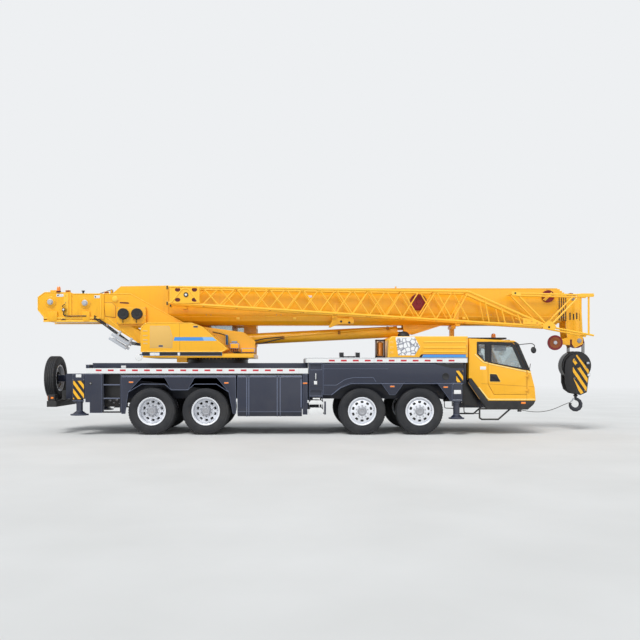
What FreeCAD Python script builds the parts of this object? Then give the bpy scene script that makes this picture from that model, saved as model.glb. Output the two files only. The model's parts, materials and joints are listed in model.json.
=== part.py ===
import FreeCAD, Part
import math
import os
import re
import Sketcher
from FreeCAD import Placement, Rotation, Vector

# Truck crane with four axles, a telescopic boom and a lattice jib stowed on the boom's side.
# +X is forward, -Y is the side that carries the stowed jib, +Z is up, and the tyres stand on Z = 0.
# All sizes are in millimetres.

doc = FreeCAD.newDocument("TruckCrane")

# Driving dimensions: alias, value, meaning
SIZES = (
    ("body_half", 1375, "half the width over decks and side panels"),
    ("fit_gap", 0.3, "gap between a seated piece and its seat"),
    ("move_gap", 6, "free air round a moving piece"),
    ("slide_fit", 0.1, "radial clearance of a shaft in its bore"),

    ("tyre_radius", 595, "tyre"),
    ("tyre_width", 290, "tyre"),
    ("bead_radius", 345, "tyre bead, and the rim's edge"),
    ("rim_wall", 22, "rim barrel"),
    ("wheel_face", 1340, "outer face of the outer tyres from the middle"),
    ("twin_gap", 40, "air between twin tyres"),
    ("hub_radius", 120, "wheel hub"),
    ("spindle_radius", 55, "stub axle"),
    ("axle_1_x", 2556, "front steered axle"),
    ("axle_2_x", 1102, "second steered axle"),
    ("axle_3_x", -2849, "first driven axle"),
    ("axle_4_x", -4214, "second driven axle"),
    ("axle_tube", 95, "axle tube radius"),
    ("diff_radius", 200, "differential bowl"),
    ("kingpin_y", 1010, "kingpin from the middle"),
    ("kingpin_radius", 34, "kingpin"),
    ("knuckle_half", 150, "half the height over the knuckle's lugs"),

    ("frame_half", 430, "half the width of the main beam"),
    ("frame_rear_x", -6650, "rear end of the main beam"),
    ("frame_front_x", 3770, "front end of the main beam"),
    ("frame_low", 880, "underside of the main beam"),
    ("frame_high", 1543, "top of the main beam"),
    ("bay_rear_x", 1760, "rear wall of the engine bay"),
    ("rail_thick", 90, "frame rails beside the engine"),
    ("torsion_half", 780, "half the width of the raised middle deck"),
    ("torsion_rear_x", -5850, "rear end of the raised middle deck"),
    ("ring_low", 1820, "underside of the slewing ring"),
    ("ring_radius", 813, "slewing ring"),
    ("ring_height", 135, "slewing ring"),
    ("slew_x", -2670, "slewing axis"),
    ("deck_rear_x", -5858, "rear end of the rear deck"),
    ("deck_step_x", -265, "front end of the rear deck"),
    ("deck_rear_top", 1683, "rear deck"),
    ("deck_thick", 130, "deck edge"),
    ("deck_front_x", 3746, "front end of the front deck"),
    ("deck_front_top", 1950, "front deck"),

    ("rear_rig_x", -6043, "rear outriggers"),
    ("front_rig_x", 3490, "front outriggers"),
    ("rear_rig_low", 908, "rear outrigger end box"),
    ("rear_rig_high", 1541, "rear outrigger end box"),
    ("front_rig_low", 848, "front outrigger end box"),
    ("front_rig_high", 1313, "front outrigger end box"),
    ("rear_rig_width", 300, "rear outrigger end box along the vehicle"),
    ("front_rig_width", 250, "front outrigger end box along the vehicle"),
    ("rig_box_depth", 200, "outrigger end box across the vehicle"),
    ("rig_wall", 14, "outrigger housing wall"),
    ("rig_reach", 2330, "beam length inside the housing"),
    ("rear_pad_low", 494, "underside of the rear jack pads"),
    ("front_pad_low", 403, "underside of the front jack pads"),
    ("rear_pad_radius", 225, "rear jack pads"),
    ("front_pad_radius", 195, "front jack pads"),
    ("pad_height", 110, "jack pads"),
    ("jack_radius", 80, "jack rods"),

    ("panel_thick", 60, "side panels"),
    ("panel_high", 1500, "top of the rear side panels"),
    ("arch_rear_high", 1439, "top of the rear wheel arches"),
    ("arch_front_high", 1322, "top of the front wheel arches"),
    ("beam_rear_x", 118, "front side panel"),
    ("beam_front_x", 3650, "front side panel"),
    ("beam_low", 1009, "underside of the front side panel"),
    ("beam_shelf", 1740, "underside of the front side panel's shelf"),
    ("fender_rear_x", -4965, "rear side panel"),
    ("fender_front_x", -2080, "rear side panel"),
    ("fender_low", 533, "foot of the rear side panel"),
    ("tank_rear_x", -2046, "side tank"),
    ("tank_front_x", -418, "side tank"),
    ("tank_low", 466, "side tank"),
    ("tank_high", 1500, "side tank"),
    ("tank_inner", 640, "inner face of the side tank from the middle"),
    ("tank_round", 120, "rounded lower edge of the side tank"),
    ("post_gap", 15, "air between the side post and the deck's step"),
    ("post_width", 120, "side post"),
    ("column_rear_x", -242, "tool column"),
    ("column_front_x", 110, "tool column"),
    ("column_low", 959, "underside of the tool column"),
    ("recess_depth", 40, "recesses of the tool column"),
    ("recess_high", 150, "recesses of the tool column"),
    ("step_hanger", 12, "plates that carry the steps"),

    ("hood_rear_x", 1741, "engine hood"),
    ("hood_front_x", 3759, "engine hood"),
    ("hood_top", 2488, "engine hood"),
    ("hood_wall", 40, "engine hood"),
    ("hood_round", 90, "engine hood's rear corner"),
    ("hood_lean", 50, "slant of the engine hood's rear edge"),
    ("engine_rear_x", 1850, "engine block"),
    ("engine_front_x", 3200, "engine block"),
    ("engine_low", 930, "engine block"),
    ("engine_top", 2300, "engine block"),
    ("rest_x", 3660, "boom rest"),
    ("rest_half", 60, "half the boom rest's length"),
    ("silencer_x", 1575, "silencer behind the hood"),
    ("silencer_y", 1160, "silencer from the middle"),
    ("silencer_radius", 82, "silencer"),
    ("silencer_high", 2410, "top of the silencer's guard"),
    ("guard_width", 30, "posts of the silencer's guard"),

    ("bumper_rear_x", 5260, "front bumper"),
    ("bumper_front_x", 5493, "front bumper"),
    ("bumper_low", 637, "underside of the front bumper and trim"),
    ("trim_depth", 120, "black trim under the cab"),
    ("tow_x", 5360, "towing eye"),
    ("tow_y", 450, "towing eye from the middle"),
    ("tow_z", 580, "towing eye"),
    ("tow_radius", 20, "towing eye"),
    ("tow_half", 15, "half the thickness of the towing lug"),
    ("loop_radius", 22, "bent step tubes"),
    ("loop_inset", 60, "step tubes inside the cab's side"),
    ("arm_radius", 14, "mirror arms"),
    ("mirror_out", 45, "mirrors outside the cab's side"),
    ("rear_bumper_rear_x", -6900, "rear bumper"),
    ("rear_bumper_half", 1200, "half the rear bumper's width"),
    ("rear_bumper_low", 700, "rear bumper"),
    ("rear_bumper_high", 850, "rear bumper"),
    ("lamp_inner", 930, "headlamps from the middle"),
    ("lamp_outer", 1200, "headlamps from the middle"),
    ("lamp_low", 1010, "headlamps"),
    ("lamp_high", 1170, "headlamps"),
    ("beacon_x", 4540, "beacon on the cab roof"),
    ("beacon_radius", 70, "beacon on the cab roof"),
    ("spare_x", -7060, "spare wheel"),
    ("spare_z", 1420, "spare wheel"),

    ("cab_half", 1275, "half the cab's width"),
    ("cab_wall", 60, "cab walls and doors"),
    ("cab_low", 861, "underside of the cab"),
    ("cab_rear_x", 3809, "cab's rear wall"),
    ("cab_front_x", 5499, "foot of the cab's nose"),
    ("cab_roof", 2437, "cab roof at the rear"),
    ("cab_floor", 1150, "cab floor"),
    ("door_gap", 9, "air round the cab doors"),
    ("door_hinge_x", 5292, "cab door's hinge axis"),
    ("door_hinge_y", 1295, "cab door's hinge axis from the middle"),
    ("door_pin_radius", 8, "cab door's hinge pins"),
    ("door_rear_x", 4295, "door's rear edge"),
    ("door_front_x", 5270, "door's front edge"),
    ("door_low", 1020, "door's lower edge"),
    ("hinge_lug", 14, "lugs of the door hinges, radius and thickness"),
    ("rear_pane_half", 700, "half the width of the cab's rear window"),
    ("rear_pane_low", 1900, "cab's rear window"),
    ("rear_pane_high", 2250, "cab's rear window"),
    ("seat_inner", 320, "cab seats from the middle"),
    ("seat_outer", 820, "cab seats from the middle"),
    ("seat_low", 1420, "cab seats' cushions"),
    ("seat_high", 1540, "cab seats' cushions"),
    ("dash_half", 1150, "half the dashboard's width"),
    ("pane", 8, "thickness of window glass"),

    ("boom_half", 380, "half the width of the boom's base section"),
    ("boom_low", 2840, "underside of the boom's base section"),
    ("boom_top", 3810, "top of the boom's base section"),
    ("boom_front_x", 6380, "front end of the boom's base section"),
    ("boom_wall", 16, "boom plate"),
    ("boom_step", 42, "each section is smaller all round by this much"),
    ("collar_step", 75, "each section shows by this much"),
    ("boom_tail_x", -4700, "rear end of the inner sections"),
    ("boom_pin_x", -5350, "boom foot pin"),
    ("boom_pin_z", 3520, "boom foot pin"),
    ("boom_pin_radius", 75, "boom foot pin"),
    ("head_half", 245, "outer faces of the boom head's plates from the middle"),
    ("head_plate", 30, "boom head's plates"),
    ("head_pin_x", 7015, "axis that the hook block hangs from"),
    ("head_pin_z", 2420, "axis that the hook block hangs from"),
    ("head_pin_radius", 40, "head pin"),
    ("low_sheave_radius", 188.7, "sheaves that the rope falls hang from"),
    ("top_sheave_x", 6836, "sheaves on top of the boom head"),
    ("top_sheave_z", 3560, "sheaves on top of the boom head"),
    ("top_sheave_radius", 150, "sheaves on top of the boom head"),
    ("top_pin_radius", 35, "pin of the top sheaves"),
    ("sheave_pitch", 74, "sheaves beside each other"),
    ("sheave_thick", 36, "sheaves"),
    ("aux_sheave_x", 6350, "sheave on the boom head's side"),
    ("aux_sheave_z", 2366, "sheave on the boom head's side"),
    ("aux_sheave_radius", 200, "sheave on the boom head's side"),
    ("aux_sheave_thick", 40, "sheave on the boom head's side"),
    ("aux_pin_radius", 30, "pin of the sheave on the boom head's side"),
    ("side_sheave_x", 6116, "sheave on the base section's side"),
    ("side_sheave_z", 3590, "sheave on the base section's side"),
    ("side_sheave_radius", 160, "sheave on the base section's side"),
    ("side_sheave_thick", 60, "sheave on the base section's side"),

    ("web_inner", 402, "inner face of the turntable's side plates from the middle"),
    ("web_thick", 34, "turntable's side plates"),
    ("tail_x", -7400, "rear end of the tail"),
    ("turn_low", 1955, "underside of the turntable"),
    ("turn_base", 100, "turntable's base plate"),
    ("turn_rear_x", -4450, "rear end of the turntable's base plate"),
    ("turn_front_x", -1640, "front end of the turntable's base plate"),
    ("aux_winch_x", -7055, "auxiliary winch's shaft"),
    ("aux_winch_z", 3437, "auxiliary winch's shaft"),
    ("main_winch_x", -6142, "main winch's shaft"),
    ("main_winch_z", 3411, "main winch's shaft"),
    ("winch_shaft", 130, "winch drums"),
    ("winch_rope", 190, "rope wound on the winches"),
    ("winch_half", 290, "half the width of the wound rope"),
    ("winch_flange", 240, "winch flanges"),
    ("flange_thick", 20, "winch flanges"),
    ("weight_rear_x", -7150, "counterweight"),
    ("weight_front_x", -5960, "counterweight"),
    ("weight_low", 2925, "counterweight"),
    ("weight_high", 3130, "counterweight"),
    ("gear_rear_x", -3630, "slewing gear"),
    ("gear_front_x", -3370, "slewing gear"),
    ("gear_inner", 700, "slewing gear from the middle"),
    ("gear_outer", 980, "slewing gear from the middle"),
    ("winch_boss", 105, "bosses round the winch shafts"),
    ("boss_depth", 34, "bosses round the winch shafts"),
    ("web_rib", 24, "ribs on the turntable's side plates"),
    ("reel_box_rear_x", -5284, "hose reel box"),
    ("reel_box_front_x", -4518, "hose reel box"),
    ("reel_box_low", 2852, "hose reel box"),
    ("reel_box_high", 3296, "hose reel box"),
    ("reel_box_depth", 90, "hose reel box"),
    ("reel_radius", 150, "hose reels"),
    ("reel_width", 80, "hose reels"),
    ("reel_z", 3115, "hose reels"),
    ("rail_width", 70, "ladder's rails"),
    ("ladder_x", -5330, "upper end of the folded ladder"),
    ("ladder_z", 2600, "upper end of the folded ladder"),
    ("rung_radius", 14, "ladder's rungs"),
    ("ladder_length", 520, "folded ladder"),
    ("ladder_width", 330, "folded ladder"),
    ("lift_foot_x", -2100, "pin at the foot of the lifting cylinder"),
    ("lift_foot_z", 2460, "pin at the foot of the lifting cylinder"),
    ("lift_eye_x", 2467, "pin at the eye of the lifting cylinder"),
    ("lift_eye_z", 2690, "pin at the eye of the lifting cylinder"),
    ("lift_pin_radius", 60, "both pins of the lifting cylinder"),
    ("barrel_radius", 150, "lifting cylinder's barrel"),
    ("barrel_wall", 22, "lifting cylinder's barrel"),
    ("barrel_length", 4280, "lifting cylinder's barrel from its foot pin"),
    ("rod_radius", 105, "lifting cylinder's rod"),
    ("lift_half", 130, "half the width of the cylinder's eyes"),

    ("cowl_inner", 480, "inner face of the cowl from the middle"),
    ("cowl_outer", 1275, "outer face of the cowl from the middle"),
    ("seat_cab_inner", 450, "inner wall of the operator's cab from the middle"),
    ("seat_cab_outer", 1300, "outer wall of the operator's cab from the middle"),
    ("seat_cab_rear_x", -3500, "rear wall of the operator's cab"),
    ("seat_cab_front_x", -1650, "front wall of the operator's cab"),
    ("seat_cab_top", 3500, "roof of the operator's cab"),
    ("seat_cab_wall", 40, "walls of the operator's cab"),

    ("saddle_depth", 130, "bracket on the boom's side under the jib"),
    ("jib_near", 1020, "near face of the jib from the middle"),
    ("jib_far", 520, "far face of the jib from the middle"),
    ("chord_radius", 32, "jib chords"),
    ("brace_radius", 17, "jib braces"),

    ("block_half", 150, "half the thickness of the hook block"),
    ("sheave_radius", 385, "hook block's sheaves"),
    ("block_z", 1757, "axis of the hook block's sheaves"),
    ("hook_z", 703, "centre of the hook's bowl"),
    ("hook_radius", 150, "middle line of the hook's bowl"),
    ("hook_thick", 42, "radius of the hook's bowl section"),
    ("shank_radius", 36, "hook's shank"),
    ("crosshead_low", 1000, "crosshead that the hook turns in"),
    ("crosshead_high", 1150, "crosshead that the hook turns in"),
    ("fall_offset", 200, "rope falls before and behind the head pin"),
    ("fall_low", 2092.7, "lower ends of the rope falls"),
    ("fall_length", 317, "rope falls"),
    ("rope_radius", 11, "wire rope"),
    ("tie_radius", 8, "tie rope"),
)

sheet = doc.addObject("Spreadsheet::Sheet", "Sizes")
for row, (alias, number, meaning) in enumerate(SIZES, start=1):
    sheet.set(f"A{row}", meaning)
    sheet.set(f"B{row}", str(number))
    sheet.setAlias(f"B{row}", alias)
doc.recompute()


class Values:
    """The sheet's numbers by name, for the few shapes that are computed here."""


size = Values()
for alias, _, _ in SIZES:
    setattr(size, alias, float(doc.Sizes.get(alias)))

NAMES = re.compile(r"[a-z][a-z_0-9]*")
WORK_PLANES = {"XY": "XY_Plane", "XZ": "XZ_Plane", "YZ": "YZ_Plane"}
AXES = {"X": Vector(1, 0, 0), "Y": Vector(0, 1, 0), "Z": Vector(0, 0, 1)}
NEAR, FAR = -1, 1
SIDES = ((NEAR, "right"), (FAR, "left"))
nodes = []


def formula(text):
    """Turns size names into references to the sheet."""
    return NAMES.sub(lambda found: "Sizes." + found.group(), str(text))


def bind(item, path, text):
    """Binds one property to a formula."""
    item.setExpression(path, formula(text))


def place(item, x=0, y=0, z=0):
    """Binds an object's position."""
    for letter, text in (("x", x), ("y", y), ("z", z)):
        bind(item, "Placement.Base." + letter, text)


def span(side, near, far):
    """The low and high formula of a stretch on one side of the middle plane."""
    if side == FAR:
        return near, far
    return f"-({far})", f"-({near})"


def box(name, x, y, z):
    """A block between low and high formulas."""
    item = doc.addObject("Part::Box", name)
    place(item, x[0], y[0], z[0])
    for prop, (low, high) in (("Length", x), ("Width", y), ("Height", z)):
        bind(item, prop, f"({high}) - ({low})")
    return item


def rod(name, axis, start, length, radius):
    """A round bar from a start point along +X, +Y or +Z."""
    item = doc.addObject("Part::Cylinder", name)
    item.Placement.Rotation = Rotation(AXES["Z"], AXES[axis])
    place(item, *start)
    bind(item, "Height", length)
    bind(item, "Radius", radius)
    return item


def joined(name, parts):
    """Several pieces welded into one."""
    item = doc.addObject("Part::MultiFuse", name)
    item.Shapes = parts
    item.Refine = True
    return item


def without(name, base, tools):
    """A piece with other pieces cut out of it."""
    item = doc.addObject("Part::Cut", name)
    item.Base = base
    item.Tool = tools[0] if len(tools) == 1 else joined(name + "_tools", tools)
    item.Refine = True
    return item


def beside(name, parts):
    """Separate pieces that share one node."""
    item = doc.addObject("Part::Compound", name)
    item.Links = parts
    return item


def polygon(sketch, points):
    """Adds a closed outline whose corners are bound to formulas."""
    first = sketch.GeometryCount
    count = len(points)
    ring = [Vector(100 * math.cos(math.tau * k / count), 100 * math.sin(math.tau * k / count), 0)
            for k in range(count)]
    for k in range(count):
        sketch.addGeometry(Part.LineSegment(ring[k], ring[(k + 1) % count]), False)
    for k in range(count):
        following = first + (k + 1) % count
        sketch.addConstraint(Sketcher.Constraint("Coincident", first + k, 2, following, 1))
    for k, (across, up) in enumerate(points):
        for kind, text in (("DistanceX", across), ("DistanceY", up)):
            index = sketch.addConstraint(Sketcher.Constraint(kind, -1, 1, first + k, 1, 1.0))
            sketch.setExpression(f"Constraints[{index}]", formula(text))


def sketch_on(body, name, plane, offset):
    """A sketch on one of the body's own planes, moved along the plane's normal."""
    sketch = body.newObject("Sketcher::SketchObject", name)
    planes = [item for item in body.Origin.OriginFeatures if item.Role == WORK_PLANES[plane]]
    sketch.AttachmentSupport = [(planes[0], "")]
    sketch.MapMode = "FlatFace"
    bind(sketch, "AttachmentOffset.Base.z", offset)
    return sketch


def plate(name, plane, outline, low, high, hole=None):
    """An outline padded between two formulas along the plane's normal."""
    body = doc.addObject("PartDesign::Body", name)
    start = f"-({high})" if plane == "XZ" else low
    sketch = sketch_on(body, name + "_outline", plane, start)
    polygon(sketch, outline)
    if hole:
        polygon(sketch, hole)
    pad = body.newObject("PartDesign::Pad", name + "_pad")
    pad.Profile = sketch
    bind(pad, "Length", f"({high}) - ({low})")
    sketch.Visibility = False
    return body


def turned(name, plane, outline):
    """An outline revolved about the sketch's upright axis."""
    body = doc.addObject("PartDesign::Body", name)
    sketch = sketch_on(body, name + "_outline", plane, 0)
    polygon(sketch, outline)
    turn = body.newObject("PartDesign::Revolution", name + "_turn")
    turn.Profile = sketch
    turn.ReferenceAxis = (sketch, ["V_Axis"])
    turn.Angle = 360
    return body


def node(name, item):
    """Registers a finished sub-part: its label names its file."""
    item.Label = name
    nodes.append(item)
    return item


def made(name, shape):
    """A shape that is computed here, as an object of the document."""
    item = doc.addObject("Part::Feature", name)
    item.Shape = shape
    return item


def bar(start, end, radius):
    """A round bar between two points."""
    along = end - start
    return Part.makeCylinder(radius, along.Length, start, along)


# Main beam, raised middle deck and outrigger housings
def chassis_frame():
    beam = box("frame_beam", ("frame_rear_x", "bay_rear_x"),
               ("-frame_half", "frame_half"), ("frame_low", "frame_high"))
    raised = box("frame_raised", ("torsion_rear_x", "bay_rear_x"),
                 ("-torsion_half", "torsion_half"), ("frame_high", "ring_low"))
    parts = [beam, raised]
    for side, word in SIDES:
        parts.append(box(f"frame_rail_{word}", ("bay_rear_x", "frame_front_x"),
                         span(side, "frame_half - rail_thick", "frame_half"),
                         ("frame_low", "frame_high")))
    parts.append(box("frame_cross", ("frame_front_x - rig_wall", "frame_front_x + 39"),
                     ("-frame_half", "frame_half"), ("cab_low - 220", "frame_high")))
    parts.append(box("frame_cab", ("frame_front_x + 39", "cab_front_x - 250"),
                     ("-frame_half", "frame_half"), ("cab_low - 220", "cab_low")))
    bores = []
    for end in ("rear", "front"):
        middle = f"{end}_rig_x"
        half = f"{end}_rig_width / 2"
        low = f"{end}_rig_low"
        high = f"{end}_rig_high"
        split = f"({low} + {high}) / 2"
        depth = "body_half - rig_box_depth - move_gap"
        parts.append(box(f"{end}_housing", (f"{middle} - {half}", f"{middle} + {half}"),
                         (f"-({depth})", depth), (low, high)))
        wall = "rig_wall"
        for part_low, part_high, word in ((f"{low} + {wall}", f"{split} - {wall} / 2", "lower"),
                                          (f"{split} + {wall} / 2", f"{high} - {wall}", "upper")):
            bores.append(box(f"{end}_{word}_bore",
                             (f"{middle} - {half} + {wall}", f"{middle} + {half} - {wall}"),
                             (f"-({depth})", depth), (part_low, part_high)))
    hull = joined("chassis_hull", parts)
    return node("chassis_frame", without("chassis_frame", hull, bores))


# Outrigger beams with their end boxes, and the jacks that slide in them
def outrigger(end, side, word, level):
    middle = f"{end}_rig_x"
    half = f"{end}_rig_width / 2"
    low = f"{end}_rig_low"
    high = f"{end}_rig_high"
    split = f"({low} + {high}) / 2"
    if level == "lower":
        beam_z = (f"{low} + rig_wall + fit_gap", f"{split} - rig_wall / 2 - move_gap")
    else:
        beam_z = (f"{split} + rig_wall / 2 + fit_gap", f"{high} - rig_wall - move_gap")
    inner = "body_half - rig_box_depth"
    beam = box(f"{end}_{word}_tube",
               (f"{middle} - {half} + rig_wall + move_gap", f"{middle} + {half} - rig_wall - move_gap"),
               span(side, f"{inner} - rig_reach", inner), beam_z)
    end_box = box(f"{end}_{word}_end", (f"{middle} - {half}", f"{middle} + {half}"),
                  span(side, inner, "body_half"), (low, high))
    jack_y = f"{side} * (body_half - rig_box_depth / 2)"
    guide = rod(f"{end}_{word}_guide", "Z", (middle, jack_y, f"{low} - 60"), "160", "jack_radius + 14")
    bore = rod(f"{end}_{word}_bore", "Z", (middle, jack_y, f"{low} - 70"),
               f"{high} - {low} - 30", "jack_radius + slide_fit")
    whole = joined(f"{end}_{word}_beam_solid", [beam, end_box, guide])
    node(f"outrigger_beam_{end}_{word}", without(f"{end}_{word}_beam", whole, [bore]))
    pad_low = f"{end}_pad_low"
    pad = rod(f"{end}_{word}_pad", "Z", (middle, jack_y, pad_low), "pad_height * 0.3", f"{end}_pad_radius")
    dome = doc.addObject("Part::Cone", f"{end}_{word}_dome")
    place(dome, middle, jack_y, f"{pad_low} + pad_height * 0.3")
    bind(dome, "Radius1", f"{end}_pad_radius * 0.8")
    bind(dome, "Radius2", "jack_radius")
    bind(dome, "Height", "pad_height * 0.7")
    stem = rod(f"{end}_{word}_stem", "Z", (middle, jack_y, f"{pad_low} + pad_height * 0.5"),
               f"{high} - {pad_low} - 160", "jack_radius")
    node(f"jack_{end}_{word}", joined(f"{end}_{word}_jack", [pad, dome, stem]))


# Rear deck on both sides of the raised middle, and the front deck round the engine bay
def deck_plates():
    parts = []
    for side, word in SIDES:
        parts.append(box(f"rear_deck_{word}", ("deck_rear_x", "deck_step_x"),
                         span(side, "torsion_half", "body_half"),
                         ("frame_high", "deck_rear_top")))
        parts.append(box(f"step_riser_{word}", ("deck_step_x", "deck_step_x + 20"),
                         span(side, "torsion_half", "body_half - panel_thick"),
                         ("frame_high", "deck_front_top - deck_thick")))
    front = box("front_deck", ("deck_step_x - 68", "deck_front_x"),
                ("-body_half", "body_half"), ("ring_low", "deck_front_top"))
    bay = box("deck_bay", ("bay_rear_x + 40", "deck_front_x - 100"),
              ("-frame_half", "frame_half"), ("ring_low - 10", "deck_front_top + 10"))
    parts.append(without("front_deck_open", front, [bay]))
    return node("deck_plates", joined("deck_plates", parts))


# Outlines of the side panels in the X-Z plane
BEAM_TOP = "deck_front_top - deck_thick - 24"
DECK_UNDER = "frame_high - fit_gap"
FRONT_BEAM = (("beam_rear_x", BEAM_TOP), ("beam_front_x", BEAM_TOP), ("beam_front_x", "arch_front_high"),
              (815, "arch_front_high"), (560, 1215), (319, "beam_low"), ("beam_rear_x", "beam_low"))
REAR_FENDER = (("fender_rear_x", "panel_high"), ("fender_front_x", "panel_high"),
               ("fender_front_x", "fender_low"), ("fender_front_x - 79", "fender_low"), (-2265, 1084),
               (-2567, "arch_rear_high"), (-3120, "arch_rear_high"), (-3296, 1137), (-3704, 1137),
               (-3880, "arch_rear_high"), (-4454, "arch_rear_high"), (-4789, 1084),
               ("fender_rear_x + 93", "fender_low"), ("fender_rear_x", "fender_low"))
WHEEL_DIVIDER = ((1565, "arch_front_high"), (2158, "arch_front_high"), (1932, "beam_low"), (1788, "beam_low"))
FRONT_FLAP = ((2976, "arch_front_high"), (3360, "arch_front_high"), (3360, "front_rig_low"),
              (3331, "front_rig_low"))
REAR_PANEL = ((-5873, DECK_UNDER), (-5453, DECK_UNDER), (-5453, 556), (-5763, 556), (-5763, 825), (-5873, 825))


def side_panels():
    parts = []
    for side, word in SIDES:
        skin = span(side, "body_half - panel_thick", "body_half")
        beam = plate(f"front_beam_{word}", "XZ", FRONT_BEAM, *skin)
        divider = plate(f"wheel_divider_{word}", "XZ", WHEEL_DIVIDER, *skin)
        flap = plate(f"front_flap_{word}", "XZ", FRONT_FLAP, *skin)
        shelf = box(f"front_shelf_{word}", ("beam_rear_x", "beam_front_x"),
                    span(side, "torsion_half", "body_half"), ("beam_shelf", BEAM_TOP))
        parts.append(joined(f"front_side_{word}", [beam, divider, flap, shelf]))
        fender = plate(f"rear_fender_{word}", "XZ", REAR_FENDER, *skin)
        cover = box(f"rear_cover_{word}", ("fender_rear_x", "fender_front_x"),
                    span(side, "frame_half", "body_half"), ("arch_rear_high + 1", "panel_high"))
        parts.append(joined(f"rear_side_{word}", [fender, cover]))
        parts.append(plate(f"rear_panel_{word}", "XZ", REAR_PANEL,
                           *span(side, "body_half - 3 * panel_thick", "body_half")))
    return node("side_panels", beside("side_panels", parts))


# Side tanks, post, and the tool column with its recesses and steps
COLUMN_RECESSES = (985, 1643)
# Underside and thickness of each step
STEPS = ((771, 100), (514, 175))


def side_boxes():
    parts = []
    for side, word in SIDES:
        low, high = span(side, "tank_inner", "body_half")
        tank = plate(f"tank_{word}", "YZ",
                     ((low, "tank_low + tank_round"), (f"{low} + tank_round", "tank_low"),
                      (f"{high} - tank_round", "tank_low"), (high, "tank_low + tank_round"),
                      (high, "tank_high"), (low, "tank_high")),
                     "tank_rear_x", "tank_front_x")
        hanger = box(f"tank_hanger_{word}", ("tank_rear_x + 200", "tank_front_x - 200"),
                     span(side, "frame_half", "tank_inner"), ("frame_high - 200", "frame_high - 100"))
        parts.append(joined(f"tank_hung_{word}", [tank, hanger]))
        post = box(f"post_{word}", ("deck_step_x - post_gap - post_width", "deck_step_x - post_gap"),
                   span(side, "body_half - post_width", "body_half"), (STEPS[1][0], "frame_high"))
        parts.append(post)
        column = box(f"column_{word}", ("column_rear_x", "column_front_x"),
                     span(side, "body_half - 300", "body_half"), ("column_low", "ring_low"))
        recesses = [box(f"recess_{level}_{word}", ("column_rear_x + 27", "column_front_x - 27"),
                        span(side, "body_half - recess_depth", "body_half + 10"),
                        (level, f"{level} + recess_high"))
                    for level in COLUMN_RECESSES]
        carried = [without(f"column_cut_{word}", column, recesses)]
        for level, thick in STEPS:
            carried.append(box(f"step_{level}_{word}", ("column_rear_x", "column_front_x"),
                               span(side, "body_half - 220", "body_half"), (level, level + thick)))
        for end, rear in (("rear", "column_rear_x"), ("front", "column_front_x - step_hanger")):
            carried.append(box(f"step_hanger_{end}_{word}", (rear, f"{rear} + step_hanger"),
                               span(side, "body_half - 210", "body_half - 60"),
                               (STEPS[1][0] + 80, "column_low + 11")))
        parts.append(joined(f"steps_{word}", carried))
    return node("side_boxes", beside("side_boxes", parts))


# Hollow engine hood with slanted rear edge, and the boom rest on it
def engine_hood():
    top = "hood_top"
    outer = (("hood_rear_x", "deck_front_top"), ("hood_rear_x + hood_lean * 0.5", "hood_top - hood_round"),
             ("hood_rear_x + hood_lean + hood_round * 0.6", top), ("hood_front_x", top),
             ("hood_front_x", "deck_front_top"))
    inner = (("hood_rear_x + hood_wall", "deck_front_top - 10"),
             ("hood_rear_x + hood_wall + hood_lean", "hood_top - hood_wall - hood_round"),
             ("hood_rear_x + hood_wall + hood_lean + hood_round * 0.6", "hood_top - hood_wall"),
             ("hood_front_x - hood_wall", "hood_top - hood_wall"),
             ("hood_front_x - hood_wall", "deck_front_top - 10"))
    skin = plate("hood_skin", "XZ", outer, "-body_half", "body_half")
    room = plate("hood_room", "XZ", inner, "-(body_half - hood_wall)", "body_half - hood_wall")
    shell = without("hood_shell", skin, [room])
    post = box("rest_post", ("rest_x - rest_half", "rest_x + rest_half"), (-60, 60),
               ("hood_top - 1", "boom_low - 100"))
    cradle = box("rest_cradle", ("rest_x - rest_half", "rest_x + rest_half"), (-230, 230),
                 ("boom_low - 100", "boom_low - move_gap"))
    return node("engine_hood", joined("engine_hood", [shell, post, cradle]))


def engine_block():
    half = "frame_half - rail_thick - fit_gap"
    return node("engine_block", box("engine_block", ("engine_rear_x", "engine_front_x"),
                                    (f"-({half})", half), ("engine_low", "engine_top")))


# Silencer that stands in its guard on the deck behind the hood
def silencer():
    parts = [rod("silencer_can", "Z", ("silencer_x", "-silencer_y", "deck_front_top + 40"),
                 "silencer_high - deck_front_top - 70", "silencer_radius")]
    half = "silencer_radius + guard_width + 8"
    depth = "-(silencer_y + silencer_radius)", "-(silencer_y - silencer_radius)"
    rise = "deck_front_top + fit_gap", "silencer_high"
    for end, x in (("rear", f"silencer_x - ({half})"), ("front", f"silencer_x + {half} - guard_width")):
        parts.append(box(f"guard_{end}", (x, f"{x} + guard_width"), depth, rise))
    for end, low in (("foot", "deck_front_top + fit_gap"), ("top", "silencer_high - 45")):
        parts.append(box(f"guard_{end}", (f"silencer_x - ({half})", f"silencer_x + {half}"), depth,
                         (low, f"{low} + 45")))
    return node("silencer", joined("silencer", parts))


# Cab: outline, doors and windows in the X-Z plane
CAB_OUTER = (("cab_rear_x", "cab_roof"), (4947, "cab_roof - 53"), (5064, "cab_roof - 129"),
             (5365, 1615), (5471, 1200), ("cab_front_x", "cab_low"), (4300, "cab_low"),
             ("cab_rear_x + 65", 1431), ("cab_rear_x", 1431))
CAB_INNER = (("cab_rear_x + cab_wall", "cab_roof - cab_wall"), (4925, "cab_roof - cab_wall - 50"),
             (5015, "cab_roof - cab_wall - 112"), (5300, 1603), (5400, 1195), (5405, "cab_floor"),
             (4200, "cab_floor"), ("cab_rear_x + cab_wall", 1520))
DOOR_HINGES = (1130, 1490)
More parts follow.
